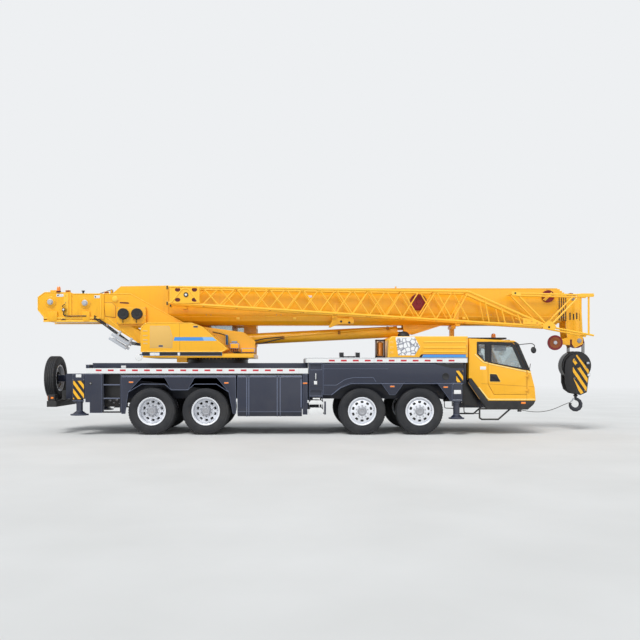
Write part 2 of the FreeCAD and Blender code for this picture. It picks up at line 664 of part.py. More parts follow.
# Door corners: x, z, and which way each corner lies from the door's middle
DOOR = (("door_rear_x", 2350, -1, 1), (4905, 2322, 1, 1), (4975, 2262, 1, 1), (5245, 1640, 1, 1),
        ("door_front_x + 10", 1550, 1, 0), ("door_front_x", "door_low", 1, -1), (4450, "door_low", -1, -1),
        ("door_rear_x", 1290, -1, -1))
DOOR_WINDOW = ((4365, 2290, -1, 1), (4875, 2266, 1, 1), (4925, 2218, 1, 1), (5165, 1672, 1, -1),
               (4365, 1822, -1, -1))
QUARTER_WINDOW = ((4040, 2312, -1, 1), (4222, 2304, 1, 1), (4222, 1866, 1, -1), (4200, 1860, 0, -1),
                  (4040, 2050, -1, -1))


def grown(outline, by):
    """An outline with each corner moved outwards by a formula, or inwards if it is negative."""
    return tuple((f"{x} + {sx} * ({by})", f"{z} + {sz} * ({by})") for x, z, sx, sz in outline)


def leaning(inset, depth_low, depth_high):
    """A band along the windscreen's slope, from depth_low to depth_high behind its face."""
    top = Vector(5064, 0, size.cab_roof - 129)
    foot = Vector(5365, 0, 1615)
    down = (foot - top).normalize()
    inward = Vector(-down.z, 0, down.x) * -1
    start = top + down * inset
    end = foot - down * inset
    corners = (start + inward * depth_low, end + inward * depth_low,
               end + inward * depth_high, start + inward * depth_high)
    return [(round(c.x, 3), round(c.z, 3)) for c in corners]


def cab_shell():
    shell = plate("cab_skin", "XZ", CAB_OUTER, "-cab_half", "cab_half")
    tools = [plate("cab_room", "XZ", CAB_INNER, "-(cab_half - cab_wall)", "cab_half - cab_wall")]
    for side, word in SIDES:
        wall = span(side, "cab_half - cab_wall - 10", "cab_half + 10")
        tools.append(plate(f"door_hole_{word}", "XZ", grown(DOOR, "door_gap"), *wall))
        tools.append(plate(f"quarter_hole_{word}", "XZ", grown(QUARTER_WINDOW, "0"), *wall))
        tools.append(box(f"lamp_hole_{word}", ("cab_front_x - 99", "cab_front_x + 101"),
                         span(side, "lamp_inner", "lamp_outer"), ("lamp_low", "lamp_high")))
    tools.append(plate("screen_hole", "XZ", leaning(45, -60, 130),
                       "-(cab_half - cab_wall - 50)", "cab_half - cab_wall - 50"))
    tools.append(box("rear_hole", ("cab_rear_x - 10", "cab_rear_x + cab_wall + 10"),
                     ("-rear_pane_half", "rear_pane_half"), ("rear_pane_low", "rear_pane_high")))
    parts = [without("cab_walls", shell, tools)]
    for side, word in SIDES:
        for z in DOOR_HINGES:
            axis = ("door_hinge_x", f"{side} * door_hinge_y")
            parts.append(rod(f"door_pin_{z}_{word}", "Z", (*axis, z - 36), 72, "door_pin_radius"))
            for end, low in (("low", z - 36), ("high", z + 22)):
                parts.append(rod(f"door_lug_{end}_{z}_{word}", "Z", (*axis, low), "hinge_lug", "hinge_lug"))
                parts.append(box(f"door_seat_{end}_{z}_{word}", ("door_hinge_x", "door_hinge_x + 30"),
                                 span(side, "cab_half - 5", "door_hinge_y + hinge_lug"),
                                 (low, f"{low} + hinge_lug")))
    return node("cab_shell", joined("cab_shell", parts))


def cab_glass():
    parts = []
    for side, word in SIDES:
        middle = "cab_half - cab_wall / 2"
        parts.append(plate(f"quarter_pane_{word}", "XZ", grown(QUARTER_WINDOW, "-fit_gap"),
                           *span(side, f"{middle} - pane / 2", f"{middle} + pane / 2")))
    parts.append(plate("screen_pane", "XZ", leaning(45.3, 12, 20),
                       "-(cab_half - cab_wall - 50 - fit_gap)", "cab_half - cab_wall - 50 - fit_gap"))
    parts.append(box("rear_pane", ("cab_rear_x + cab_wall / 2", "cab_rear_x + cab_wall / 2 + pane"),
                     ("fit_gap - rear_pane_half", "rear_pane_half - fit_gap"),
                     ("rear_pane_low + fit_gap", "rear_pane_high - fit_gap")))
    return node("cab_glass", beside("cab_glass", parts))


def cab_door(side, word):
    wall = span(side, "cab_half - cab_wall", "cab_half")
    skin = plate(f"door_skin_{word}", "XZ", grown(DOOR, "0"), *wall)
    hole = plate(f"door_window_{word}", "XZ", grown(DOOR_WINDOW, "0"), *wall)
    panel = [without(f"door_cut_{word}", skin, [hole])]
    bores = []
    for z in DOOR_HINGES:
        axis = ("door_hinge_x", f"{side} * door_hinge_y")
        panel.append(rod(f"door_eye_{z}_{word}", "Z", (*axis, z - 21), 42, 13))
        panel.append(box(f"door_strap_{z}_{word}", ("door_hinge_x - 60", "door_hinge_x"),
                         span(side, "door_hinge_y - 13", "door_hinge_y"), (z - 21, z + 21)))
        panel.append(box(f"door_pad_{z}_{word}", ("door_hinge_x - 60", "door_hinge_x - 30"),
                         span(side, "cab_half - 5", "door_hinge_y - 12"), (z - 21, z + 21)))
        bores.append(rod(f"door_bore_{z}_{word}", "Z", (*axis, z - 30), 60, "door_pin_radius + slide_fit"))
    panel = without(f"door_panel_{word}", joined(f"door_solid_{word}", panel), bores)
    middle = "cab_half - cab_wall / 2"
    pane = plate(f"door_pane_{word}", "XZ", grown(DOOR_WINDOW, "-fit_gap"),
                 *span(side, f"{middle} - pane / 2", f"{middle} + pane / 2"))
    node(f"cab_door_{word}", beside(f"cab_door_{word}", [panel, pane]))


# Seats, dashboard and steering wheel: outlines in the X-Z plane
SEAT_BACK = ((4330, "seat_high - 1"), (4460, "seat_high - 1"), (4350, 2080), (4240, 2080))
DASHBOARD = ((5110, 1540), (5300, 1560), (5385, 1210), (5385, "cab_floor"), (5250, "cab_floor"))
WHEEL_CENTRE = Vector(4980, 570, 1640)
COLUMN_FOOT = Vector(5150, 570, 1480)
WHEEL_RADIUS = 215
WHEEL_GRIP = 16


def cab_interior():
    parts = []
    for side, word in SIDES:
        y = span(side, "seat_inner", "seat_outer")
        cushion = box(f"seat_cushion_{word}", (4330, 4850), y, ("seat_low", "seat_high"))
        base = box(f"seat_base_{word}", (4400, 4780), span(side, "seat_inner + 80", "seat_outer - 80"),
                   ("cab_floor", "seat_low + 1"))
        back = plate(f"seat_back_{word}", "XZ", SEAT_BACK, *y)
        parts.append(joined(f"seat_{word}", [cushion, base, back]))
    parts.append(plate("dashboard", "XZ", DASHBOARD, "-dash_half", "dash_half"))
    parts.append(made("steering_wheel", steering_wheel_shape()))
    return node("cab_interior", beside("cab_interior", parts))


def steering_wheel_shape():
    """Steering wheel on its column, in front of the driver on the far side."""
    along = (COLUMN_FOOT - WHEEL_CENTRE).normalize()
    rim = Part.makeTorus(WHEEL_RADIUS, WHEEL_GRIP, WHEEL_CENTRE, along)
    reach = AXES["Y"] * (WHEEL_RADIUS - 5)
    spoke = bar(WHEEL_CENTRE - reach, WHEEL_CENTRE + reach, WHEEL_GRIP * 0.75)
    column_bar = bar(WHEEL_CENTRE, WHEEL_CENTRE + along * (WHEEL_RADIUS - 10), 22)
    return rim.fuse([spoke, column_bar])


# Bumper, black lower trim, mirrors and step loops at the front, and the rear bumper
CAB_UNDER = "cab_low - fit_gap"
FRONT_TRIM = ((3874, 1415), (4290, CAB_UNDER), ("bumper_front_x", CAB_UNDER), (5440, 800),
              (5277, "bumper_low"), (4277, "bumper_low"), (3812, 1262), (3812, 1415))
FRONT_BUMPER = (("bumper_rear_x", CAB_UNDER), ("bumper_front_x", CAB_UNDER), (5440, 760), (5300, "bumper_low"),
                ("bumper_rear_x", "bumper_low"))
# Bent step tube and mirror arm: points in X and Z
STEP_LOOP = ((4093, 660), (4093, 425), (4150, 385), (4565, 385), (4864, 645))
STEP_LOOP_TOP = ((4093, 655), (4400, 655))
MIRROR_ARM = ((4990, 2318), (5300, 2300), (5320, 2150))
MIRROR_HEAD = (60, 110, 260)


def bumpers():
    parts = []
    beam = plate("bumper_beam", "XZ", FRONT_BUMPER, "-cab_half", "cab_half")
    for side, word in SIDES:
        skirt = plate(f"skirt_{word}", "XZ", FRONT_TRIM, *span(side, "cab_half - trim_depth", "cab_half"))
        beam = joined(f"trim_{word}", [beam, skirt])
    loops = [made(f"step_loop_{word}", step_loop_shape(side)) for side, word in SIDES]
    mirrors = [made(f"mirror_{word}", mirror_shape(side)) for side, word in SIDES]
    lug = box("tow_lug", ("tow_x - 60", "tow_x + 40"), ("-(tow_y + tow_half)", "-(tow_y - tow_half)"),
              ("tow_z - 45", "bumper_low + 3"))
    eye = rod("tow_eye", "Y", ("tow_x", "-(tow_y + tow_half + 10)", "tow_z"), "2 * (tow_half + 10)",
              "tow_radius")
    eye_plate = without("tow_plate", lug, [eye])
    parts.append(joined("front_trim", [beam, eye_plate] + loops))
    parts.extend(mirrors)
    rear = box("rear_beam", ("rear_bumper_rear_x", "frame_rear_x - 10"),
               ("-rear_bumper_half", "rear_bumper_half"), ("rear_bumper_low", "rear_bumper_high"))
    arms = [box(f"rear_arm_{word}", ("rear_bumper_rear_x + 140", "frame_rear_x"), span(side, 250, 420),
                ("rear_bumper_high - 1", 1100))
            for side, word in SIDES]
    parts.append(joined("rear_bumper", [rear] + arms))
    return node("bumpers", beside("bumpers", parts))


def step_loop_shape(side):
    """Bent step tubes under the cab."""
    y = side * (size.cab_half - size.loop_inset)
    radius = size.loop_radius
    points = [Vector(x, y, z) for x, z in STEP_LOOP]
    tubes = [bar(start, end, radius) for start, end in zip(points, points[1:])]
    knees = [Part.makeSphere(radius, point) for point in points[1:-1]]
    start, end = (Vector(x, y, z) for x, z in STEP_LOOP_TOP)
    return tubes[0].fuse(tubes[1:] + knees + [bar(start, end, radius)])


def mirror_shape(side):
    """Mirror head on an arm from the top of the windscreen pillar."""
    radius = size.arm_radius
    out = side * (size.cab_half + size.mirror_out)
    reach = (side * (size.cab_half + radius + size.fit_gap), out, out)
    start, knee, drop = (Vector(x, y, z) for (x, z), y in zip(MIRROR_ARM, reach))
    length, width, height = MIRROR_HEAD
    corner = Vector(drop.x - length / 2, out - width / 2, drop.z - height / 2)
    head = Part.makeBox(length, width, height, corner)
    return bar(start, knee, radius).fuse([bar(knee, drop, radius), Part.makeSphere(radius, knee), head])


def lamps():
    parts = []
    for side, word in SIDES:
        parts.append(box(f"headlamp_{word}", ("cab_front_x - 99 + fit_gap", "cab_front_x - 21"),
                         span(side, "lamp_inner + fit_gap", "lamp_outer - fit_gap"),
                         ("lamp_low + fit_gap", "lamp_high - fit_gap")))
        parts.append(box(f"tail_lamp_{word}", ("rear_bumper_rear_x + 10", "rear_bumper_rear_x + 200"),
                         span(side, "rear_bumper_half - 250", "rear_bumper_half - 10"),
                         ("rear_bumper_high + fit_gap", "rear_bumper_high + 160")))
    parts.append(rod("beacon", "Z", ("beacon_x", 0, "cab_roof - 30.5"), "225.5", "beacon_radius"))
    return node("lamps", beside("lamps", parts))


# Wheels, made once at the origin with the outer face towards -Y, and placed eight times
HOLE_COUNT = 10


def tyre(name, shift):
    half = "tyre_width / 2"
    middle = "(bead_radius + tyre_radius) / 2"
    return turned(name, "XY", (
        ("bead_radius + 0.5", f"{shift} - {half} * 0.8"), (middle, f"{shift} - {half}"),
        ("tyre_radius - 30", f"{shift} - {half} * 0.93"), ("tyre_radius", f"{shift} - {half} * 0.78"),
        ("tyre_radius", f"{shift} + {half} * 0.78"), ("tyre_radius - 30", f"{shift} + {half} * 0.93"),
        (middle, f"{shift} + {half}"), ("bead_radius + 0.5", f"{shift} + {half} * 0.8")))


def rim_barrel(name, shift, disc, dish):
    """A rim with its disc; dish is how far the disc's middle stands from its edge."""
    half = "tyre_width / 2"
    inside = "bead_radius - rim_wall"
    return turned(name, "XY", (
        ("hub_radius - 5", f"{shift} + {disc} + {dish}"), (inside, f"{shift} + {disc}"),
        (inside, f"{shift} - {half} * 0.8"), ("bead_radius", f"{shift} - {half} * 0.84"),
        ("bead_radius", f"{shift} + {half} * 0.84"), (inside, f"{shift} + {half} * 0.8"),
        (inside, f"{shift} + {disc} + 25"), ("hub_radius - 5", f"{shift} + {disc} + {dish} + 25")))


def hub(name, outer_end, inner_end):
    """A closed hub cap with a blind bore for the stub axle."""
    return turned(name, "XY", (
        (0, outer_end), ("hub_radius * 0.8", outer_end), ("hub_radius", f"{outer_end} + 25"),
        ("hub_radius", inner_end), ("spindle_radius + slide_fit", inner_end),
        ("spindle_radius + slide_fit", f"{outer_end} + 50"), (0, f"{outer_end} + 50")))


def wheel_forms(kind, barrels, outer_end, inner_end):
    """Tyres and the drilled rim of one kind of wheel."""
    tyres = [tyre(f"{kind}_tyre_{k}", shift) for k, (shift, _, _) in enumerate(barrels)]
    metal = [hub(f"{kind}_hub", outer_end, inner_end)]
    metal += [rim_barrel(f"{kind}_rim_{k}", *row) for k, row in enumerate(barrels)]
    holes = []
    for k in range(HOLE_COUNT):
        turn = math.tau * k / HOLE_COUNT
        ring = "(bead_radius + hub_radius) / 2"
        holes.append(rod(f"{kind}_hole_{k}", "Y", (f"{ring} * {math.cos(turn):.6f}", -200,
                                                   f"{ring} * {math.sin(turn):.6f}"), 600, 32))
    rim = without(f"{kind}_rim", joined(f"{kind}_metal", metal), holes)
    return tyres + [rim]


def wheels():
    step = "(tyre_width + twin_gap)"
    # shift of each rim along the axle, its disc, and the disc's dish
    single = wheel_forms("single", ((0, -60, -55),), -150, 100)
    twin = wheel_forms("twin", ((0, 85, -20), (step, -110, 20)), -95, f"{step} + 90")
    for number, forms in ((1, single), (2, single), (3, twin), (4, twin)):
        for side, word in SIDES:
            wheel = beside(f"wheel_{number}_{word}", forms)
            if side == FAR:
                wheel.Placement.Rotation = Rotation(AXES["Z"], 180)
            place(wheel, f"axle_{number}_x", f"{side} * (wheel_face - tyre_width / 2)", "tyre_radius")
            node(f"wheel_{number}_{word}", wheel)


def spare_wheel():
    forms = [tyre("spare_tyre", 0), joined("spare_metal", [rim_barrel("spare_rim", 0, -60, -55),
                                                         hub("spare_hub", -120, 60)])]
    wheel = beside("spare_wheel", forms)
    wheel.Placement.Rotation = Rotation(AXES["Z"], -90)
    place(wheel, "spare_x", 0, "spare_z")
    return node("spare_wheel", wheel)


def spare_carrier():
    """Bracket that holds the spare wheel behind the main beam."""
    arm = box("carrier_arm", ("spare_x + 60 + fit_gap", "frame_rear_x"), (-90, 90), (1330, 1500))
    foot = box("carrier_foot", (-6700, "frame_rear_x"), (-260, 260), (1150, 1530))
    return node("spare_carrier", joined("spare_carrier", [arm, foot]))


# Axles with spring seats, and the steered axles' kingpin eyes
def axles():
    parts = []
    for number in (1, 2, 3, 4):
        x = f"axle_{number}_x"
        steered = number < 3
        reach = "kingpin_y - 85" if steered else "wheel_face - tyre_width * 1.5 - twin_gap - 110"
        tube = rod(f"axle_tube_{number}", "Y", (x, f"-({reach})", "tyre_radius"), f"2 * ({reach})",
                   "axle_tube")
        pieces = [tube]
        bores = []
        if not steered:
            bowl = doc.addObject("Part::Sphere", f"bowl_{number}")
            bind(bowl, "Radius", "diff_radius")
            place(bowl, x, 0, "tyre_radius")
            pieces.append(bowl)
        for side, word in SIDES:
            pieces.append(box(f"spring_seat_{number}_{word}", (f"{x} - 70", f"{x} + 70"),
                              span(side, "frame_half - 90", "frame_half"), ("tyre_radius", "frame_low")))
            if steered:
                pieces.append(box(f"kingpin_neck_{number}_{word}", (f"{x} - 58", f"{x} + 58"),
                                  span(side, "kingpin_y - 110", "kingpin_y"),
                                  ("tyre_radius - 80", "tyre_radius + 80")))
                pieces.append(rod(f"kingpin_eye_{number}_{word}", "Z",
                                  (x, f"{side} * kingpin_y", "tyre_radius - 85"), 170, 60))
                bores.append(rod(f"kingpin_bore_{number}_{word}", "Z",
                                 (x, f"{side} * kingpin_y", "tyre_radius - 100"), 200,
                                 "kingpin_radius + slide_fit"))
            else:
                tip = "wheel_face - tyre_width / 2 + 30"
                start = reach if side == FAR else f"-({tip})"
                pieces.append(rod(f"stub_{number}_{word}", "Y", (x, start, "tyre_radius"),
                                  f"{tip} - ({reach})", "spindle_radius"))
        axle = joined(f"axle_{number}_solid", pieces)
        parts.append(without(f"axle_{number}", axle, bores) if steered else axle)
    return node("axles", beside("axles", parts))


def knuckle(number, side, word):
    """Steering knuckle: kingpin, two lugs, cheek and stub axle."""
    x = f"axle_{number}_x"
    tag = f"{number}_{word}"
    y = f"{side} * kingpin_y"
    parts = [rod(f"kingpin_{tag}", "Z", (x, y, "tyre_radius - knuckle_half"), "2 * knuckle_half",
                 "kingpin_radius")]
    for low, high in (("-knuckle_half", "-92"), ("92", "knuckle_half")):
        parts.append(box(f"lug_{tag}_{high}".replace("-", "low").replace("knuckle_half", "high"),
                         (f"{x} - 55", f"{x} + 55"), span(side, "kingpin_y - 55", "kingpin_y + 70"),
                         (f"tyre_radius + {low}", f"tyre_radius + {high}")))
    parts.append(box(f"cheek_{tag}", (f"{x} - 55", f"{x} + 55"),
                     span(side, "kingpin_y + 66", "kingpin_y + 80"),
                     ("tyre_radius - knuckle_half", "tyre_radius + knuckle_half")))
    start = "kingpin_y + 70"
    tip = "wheel_face - tyre_width / 2 + 90"
    parts.append(rod(f"stub_axle_{tag}", "Y", (x, start if side == FAR else f"-({tip})", "tyre_radius"),
                     f"{tip} - ({start})", "spindle_radius"))
    node(f"knuckle_{number}_{word}", joined(f"knuckle_{tag}", parts))


# Slewing ring and the turntable with its side plates and tail
TAIL_WEB = (("tail_x", 3570), ("tail_x + 180", 3700), (-6540, 3700), (-6460, 3665), (-4930, 3665),
            (-3583, 2919), (-3450, 2840), (-1950, 2640), ("turn_front_x", 2400),
            ("turn_front_x", "turn_low + turn_base - 1"), ("turn_rear_x", "turn_low + turn_base - 1"),
            (-4670, 2315), (-5850, 3050), (-5950, 2920), (-7150, 2920), ("tail_x", 3220))
WEB_WINDOW = ((-4930, 2800), (-4560, 2800), (-4500, 2560))
WEB_FACE = "web_inner + web_thick"
# Ribs on the outer faces of the side plates: two corners in X and Z
WEB_RIBS = (((-6560, 2935), (-6500, 3685)), ((-5700, 2985), (-5640, 3660)), ((-7150, 2925), (-5960, 2975)))


def slew_ring():
    ring = rod("slew_ring", "Z", ("slew_x", 0, "ring_low"), "ring_height - fit_gap", "ring_radius")
    return node("slew_ring", ring)


def turntable_frame():
    parts = [box("turn_plate", ("turn_rear_x", "turn_front_x"), (-1240, 1260),
                 ("turn_low", "turn_low + turn_base"))]
    for side, word in SIDES:
        parts.append(plate(f"web_{word}", "XZ", TAIL_WEB, *span(side, "web_inner", WEB_FACE), WEB_WINDOW))
        for k, ((x0, z0), (x1, z1)) in enumerate(WEB_RIBS):
            parts.append(box(f"web_rib_{k}_{word}", (x0, x1),
                             span(side, f"{WEB_FACE} - 1", f"{WEB_FACE} + web_rib"), (z0, z1)))
        for name in ("aux", "main"):
            start = WEB_FACE if side == FAR else f"-({WEB_FACE} + boss_depth)"
            parts.append(rod(f"{name}_boss_{word}", "Y", (f"{name}_winch_x", start, f"{name}_winch_z"),
                             "boss_depth", "winch_boss"))
        parts.append(box(f"lift_lug_{word}", ("lift_foot_x - 150", "lift_foot_x + 150"),
                         span(side, "lift_half + 8", "lift_half + 48"),
                         ("turn_low + turn_base - 1", "lift_foot_z + 130")))
    parts.append(rod("lift_foot_pin", "Y", ("lift_foot_x", "-(lift_half + 60)", "lift_foot_z"),
                     "2 * (lift_half + 60)", "lift_pin_radius"))
    parts.append(rod("boom_foot_pin", "Y", ("boom_pin_x", f"-({WEB_FACE} + 12)", "boom_pin_z"),
                     f"2 * ({WEB_FACE} + 12)", "boom_pin_radius"))
    parts.append(box("web_tie", (-5700, -5560), ("-web_inner", "web_inner"), (3080, 3350)))
    parts.append(box("web_floor", ("turn_rear_x", "turn_rear_x + 70"), ("-web_inner", "web_inner"),
                     ("turn_low + turn_base - 1", 2300)))
    parts.append(box("slew_gear", ("gear_rear_x", "gear_front_x"), ("-gear_outer", "-gear_inner"),
                     ("ring_low + 15", "turn_low + 1")))
    parts.append(box("cowl_bracket", (-4200, -3200), ("-cowl_inner + fit_gap", "-web_inner"), (2250, 2500)))
    parts.append(box("cab_bracket", (-3400, -2000), ("web_inner", "seat_cab_inner - fit_gap"), (2150, 2400)))
    return node("turntable_frame", joined("turntable_frame", parts))


def winches():
    parts = []
    for name in ("aux", "main"):
        x = f"{name}_winch_x"
        z = f"{name}_winch_z"
        middle = rod(f"{name}_drum", "Y", (x, "-(web_inner - fit_gap)", z), "2 * (web_inner - fit_gap)",
                     "winch_shaft")
        rope = rod(f"{name}_rope", "Y", (x, "-winch_half", z), "2 * winch_half", "winch_rope")
        flanges = [rod(f"{name}_flange_{word}", "Y",
                       (x, "winch_half" if side == FAR else "-(winch_half + flange_thick)", z), "flange_thick",
                       "winch_flange")
                   for side, word in SIDES]
        parts.append(joined(f"{name}_winch", [middle, rope] + flanges))
    return node("winches", beside("winches", parts))


def counterweight():
    half = "web_inner - fit_gap"
    return node("counterweight", box("counterweight", ("weight_rear_x", "weight_front_x"),
                                     (f"-({half})", half), ("weight_low", "weight_high")))


# Box on the near side plate with two hose reels
def hose_reels():
    face = "web_inner + web_thick + fit_gap"
    parts = [box("reel_box", ("reel_box_rear_x", "reel_box_front_x"),
                 (f"-({face} + reel_box_depth)", f"-({face})"), ("reel_box_low", "reel_box_high"))]
    for end, x in (("rear", "reel_box_rear_x + 179"), ("front", "reel_box_front_x - 229")):
        parts.append(rod(f"reel_{end}", "Y", (x, f"-({face} + reel_box_depth + reel_width)", "reel_z"),
                         "reel_width + 1", "reel_radius"))
    return node("hose_reels", joined("hose_reels", parts))


# Folded ladder: how far its two layers lie apart in rail widths, its rungs, and its slope as rise over run
LADDER_FOLD = 1.7
LADDER_RUNGS = 4
LADDER_SLOPE = (735, 1180)


def access_ladder():
    """Ladder folded double under the tail, leaned with the tail's lower edge; X runs down along it."""
    outer = size.web_inner + size.web_thick + size.fit_gap
    width = size.rail_width
    length = size.ladder_length
    parts = []
    fold = LADDER_FOLD * width
    for drop in (0, fold):
        for y in (-outer - 40, -outer - 40 - size.ladder_width):
            parts.append(Part.makeBox(length, 30, width, Vector(0, y - 30, -drop - width)))
        for k in range(1, LADDER_RUNGS + 1):
            foot = Vector(length * k / (LADDER_RUNGS + 1), -outer - 50 - size.ladder_width, -drop - width / 2)
            parts.append(Part.makeCylinder(size.rung_radius, size.ladder_width + 20, foot, AXES["Y"]))
    for x in (60, length - 110):
        parts.append(Part.makeBox(50, 30, fold + 10, Vector(x, -outer - 70, -fold - 5)))
        parts.append(Part.makeBox(50, 70, 150, Vector(x, -outer - 70, -20)))
    item = made("access_ladder", parts[0].fuse(parts[1:]))
    slope = math.degrees(math.atan2(*LADDER_SLOPE))
    item.Placement = Placement(Vector(size.ladder_x, 0, size.ladder_z), Rotation(AXES["Y"], slope))
    return node("access_ladder", item)


# Cowl over the valves and the swing drive: outline in the X-Z plane
COWL = ((-4501, 2094), (-4501, 2728), (-4369, 2837), (-3208, 2837), (-2950, 2740), (-2301, 2173),
        (-2433, 2094))


def cowl():
    body = plate("cowl_body", "XZ", COWL, "-cowl_outer", "-cowl_inner")
    skirt = box("cowl_skirt", (-4470, -2440), ("-cowl_outer + 20", "-cowl_inner"),
                ("turn_low + turn_base", 2100))
    return node("cowl", joined("cowl", [body, skirt]))


# Operator's cab, its room and its doorway
SEAT_CAB = (("seat_cab_rear_x", "turn_low + turn_base"), ("seat_cab_rear_x", "seat_cab_top - 50"),
            ("seat_cab_rear_x + 120", "seat_cab_top"), (-2250, "seat_cab_top"), ("seat_cab_front_x", 2900),
            ("seat_cab_front_x", 2330), ("seat_cab_front_x - 180", "turn_low + turn_base"))
SEAT_CAB_ROOM = (("seat_cab_rear_x + seat_cab_wall", 2180), ("seat_cab_rear_x + seat_cab_wall", 3430),
                 ("seat_cab_rear_x + 130", 3460), (-2270, 3460), (-1690, 2890), (-1690, 2340), (-1830, 2180))
CAB_DOORWAY = (-3050, -2330)
# Its windows: stretch in X and stretch in Z
SIDE_WINDOW = ((-2230, -1850), (2420, 2850))
INNER_WINDOW = ((-3000, -2000), (2520, 3000))
LOW_WINDOW = (2380, 2800)
SEAT_CAB_SCREEN = ((-2190, 3480), (-1600, 2900), (-1750, 2780), (-2290, 3380))


def operator_cab():
    shell = plate("seat_cab_skin", "XZ", SEAT_CAB, "seat_cab_inner", "seat_cab_outer")
    wall = "seat_cab_wall"
    outer_wall = (f"seat_cab_outer - {wall} - 5", "seat_cab_outer + 5")
    inner_wall = ("seat_cab_inner - 5", f"seat_cab_inner + {wall} + 5")
    front = ("seat_cab_inner + 80", "seat_cab_outer - 80")
    tools = [plate("seat_cab_room", "XZ", SEAT_CAB_ROOM, f"seat_cab_inner + {wall}",
                   f"seat_cab_outer - {wall}"),
             box("seat_cab_doorway", CAB_DOORWAY, outer_wall, (2180, 3330)),
             box("seat_cab_side_window", SIDE_WINDOW[0], outer_wall, SIDE_WINDOW[1]),
             box("seat_cab_inner_window", INNER_WINDOW[0], inner_wall, INNER_WINDOW[1]),
             plate("seat_cab_screen", "XZ", SEAT_CAB_SCREEN, *front),
             box("seat_cab_low_window", (-1700, -1600), front, LOW_WINDOW)]
    body = without("seat_cab_open", shell, tools)
    seat = box("seat_cab_seat", (-3000, -2500), (650, 1100), (2179, 2600))
    back = box("seat_cab_back", (-3100, -2980), (650, 1100), (2500, 3150))
    runners = []
    for end, low, high in (("low", "2130", "2150 - slide_fit"), ("high", "3370 + slide_fit", "3390")):
        runners.append(box(f"seat_door_rail_{end}", (CAB_DOORWAY[0] - 660, CAB_DOORWAY[1] + 40),
                           ("seat_cab_outer - 5", "seat_cab_outer + move_gap + 30"), (low, high)))
    return node("operator_cab", joined("operator_cab", [body, seat, back] + runners))


def operator_glass():
    def inside(stretch):
        return f"{stretch[0]} + fit_gap", f"{stretch[1]} - fit_gap"

    parts = []
    for name, (x, z), y in (("side", SIDE_WINDOW, "seat_cab_outer - seat_cab_wall / 2"),
                            ("inner", INNER_WINDOW, "seat_cab_inner + seat_cab_wall / 2")):
        parts.append(box(f"{name}_pane", inside(x), (y, f"{y} + pane"), inside(z)))
    parts.append(box("low_pane", (-1675, "-1675 + pane"),
                     inside(("seat_cab_inner + 80", "seat_cab_outer - 80")), inside(LOW_WINDOW)))
    return node("operator_glass", beside("operator_glass", parts))


def operator_door():
    y = ("seat_cab_outer + move_gap", "seat_cab_outer + move_gap + 30")
    panel = box("seat_door_panel", (CAB_DOORWAY[0] - 40, CAB_DOORWAY[1] + 40), y, (2150, 3370))
    hole = box("seat_door_hole", (CAB_DOORWAY[0] + 60, CAB_DOORWAY[1] - 60),
               ("seat_cab_outer", "seat_cab_outer + 50"), (2700, 3270))
    frame = without("seat_door_frame", panel, [hole])
    pane = box("seat_door_pane", (f"{CAB_DOORWAY[0] + 60} + fit_gap", f"{CAB_DOORWAY[1] - 60} - fit_gap"),
               ("seat_cab_outer + move_gap + 10", "seat_cab_outer + move_gap + 18"),
               ("2700 + fit_gap", "3270 - fit_gap"))
    return node("operator_door", beside("operator_door", [frame, pane]))


# Boom sections, each a closed tube with a rounded underside
def boom_outline(inset):
    low = f"(boom_low + {inset})"
    top = f"(boom_top - ({inset}))"
    half = f"(boom_half - ({inset}))"
    return ((f"-{half}", top), (f"-{half}", f"{low} + 300"), (f"-{half} * 0.8", f"{low} + 100"),
            (f"-{half} * 0.4", low), (f"{half} * 0.4", low), (f"{half} * 0.8", f"{low} + 100"),
            (half, f"{low} + 300"), (half, top))


# Cheeks at the boom's foot, jib saddle, middles of the jib's arms, and lugs of the lifting eye
BOOM_CHEEK = ((-5530, 3440), (-5410, 3690), (-5211, 3860), (-3950, 3880), (-3950, 2900), (-4350, 2900),
              (-5400, 3330))
SADDLE = ((300, 2775), (350, 2760), (560, 2850), (965, 2865), (965, 2990), (640, 3010), (510, 3030),
          (395, 3010), (380, 2900))
JIB_ARMS = (-3500, 450, 3700)
LIFT_LUG = ((2317, 2850), (2330, 2640), (2420, 2590), (2620, 2600), (3400, 2850))


def boom_base():
    tube = plate("boom_1_tube", "YZ", boom_outline("0"), "boom_pin_x + 450", "boom_front_x",
                 boom_outline("boom_wall"))
    parts = [tube]
    bores = []
    for side, word in SIDES:
        cheek = span(side, "boom_half - boom_wall", "boom_half + boom_wall")
        parts.append(plate(f"boom_cheek_{word}", "XZ", BOOM_CHEEK, *cheek))
        parts.append(plate(f"boom_lug_{word}", "XZ", LIFT_LUG, *span(side, "lift_half + 8", "lift_half + 48")))
        start = "lift_half + 8" if side == FAR else "-(lift_half + 62)"
        parts.append(rod(f"lift_eye_boss_{word}", "Y", ("lift_eye_x", start, "lift_eye_z"), 54,
                         "lift_pin_radius * 1.5"))
    bores.append(rod("boom_pin_bore", "Y", ("boom_pin_x", "-boom_half - 20", "boom_pin_z"),
                     "2 * boom_half + 40", "boom_pin_radius + slide_fit"))
    parts.append(plate("jib_saddle", "XZ", SADDLE, "-(boom_half + saddle_depth)", "-boom_half + 1"))
    for k, x in enumerate(JIB_ARMS):
        top = jib_chord_z(x + 60) - size.chord_radius - 3.2
        parts.append(box(f"jib_arm_{k}", (x - 60, x + 60), ("-(jib_far + 20)", "-boom_half"), (top - 60, top)))
        parts.append(box(f"jib_strap_{k}", (x - 60, x + 60), ("-boom_half - 20", "-boom_half + 1"),
                         (top - 60, 3420)))
    parts.append(rod("side_sheave", "Y", ("side_sheave_x", "-boom_half - side_sheave_thick", "side_sheave_z"),
                     "side_sheave_thick", "side_sheave_radius"))
    parts.append(pads(1))
    return node("boom_base", without("boom_base", joined("boom_1_solid", parts), bores))


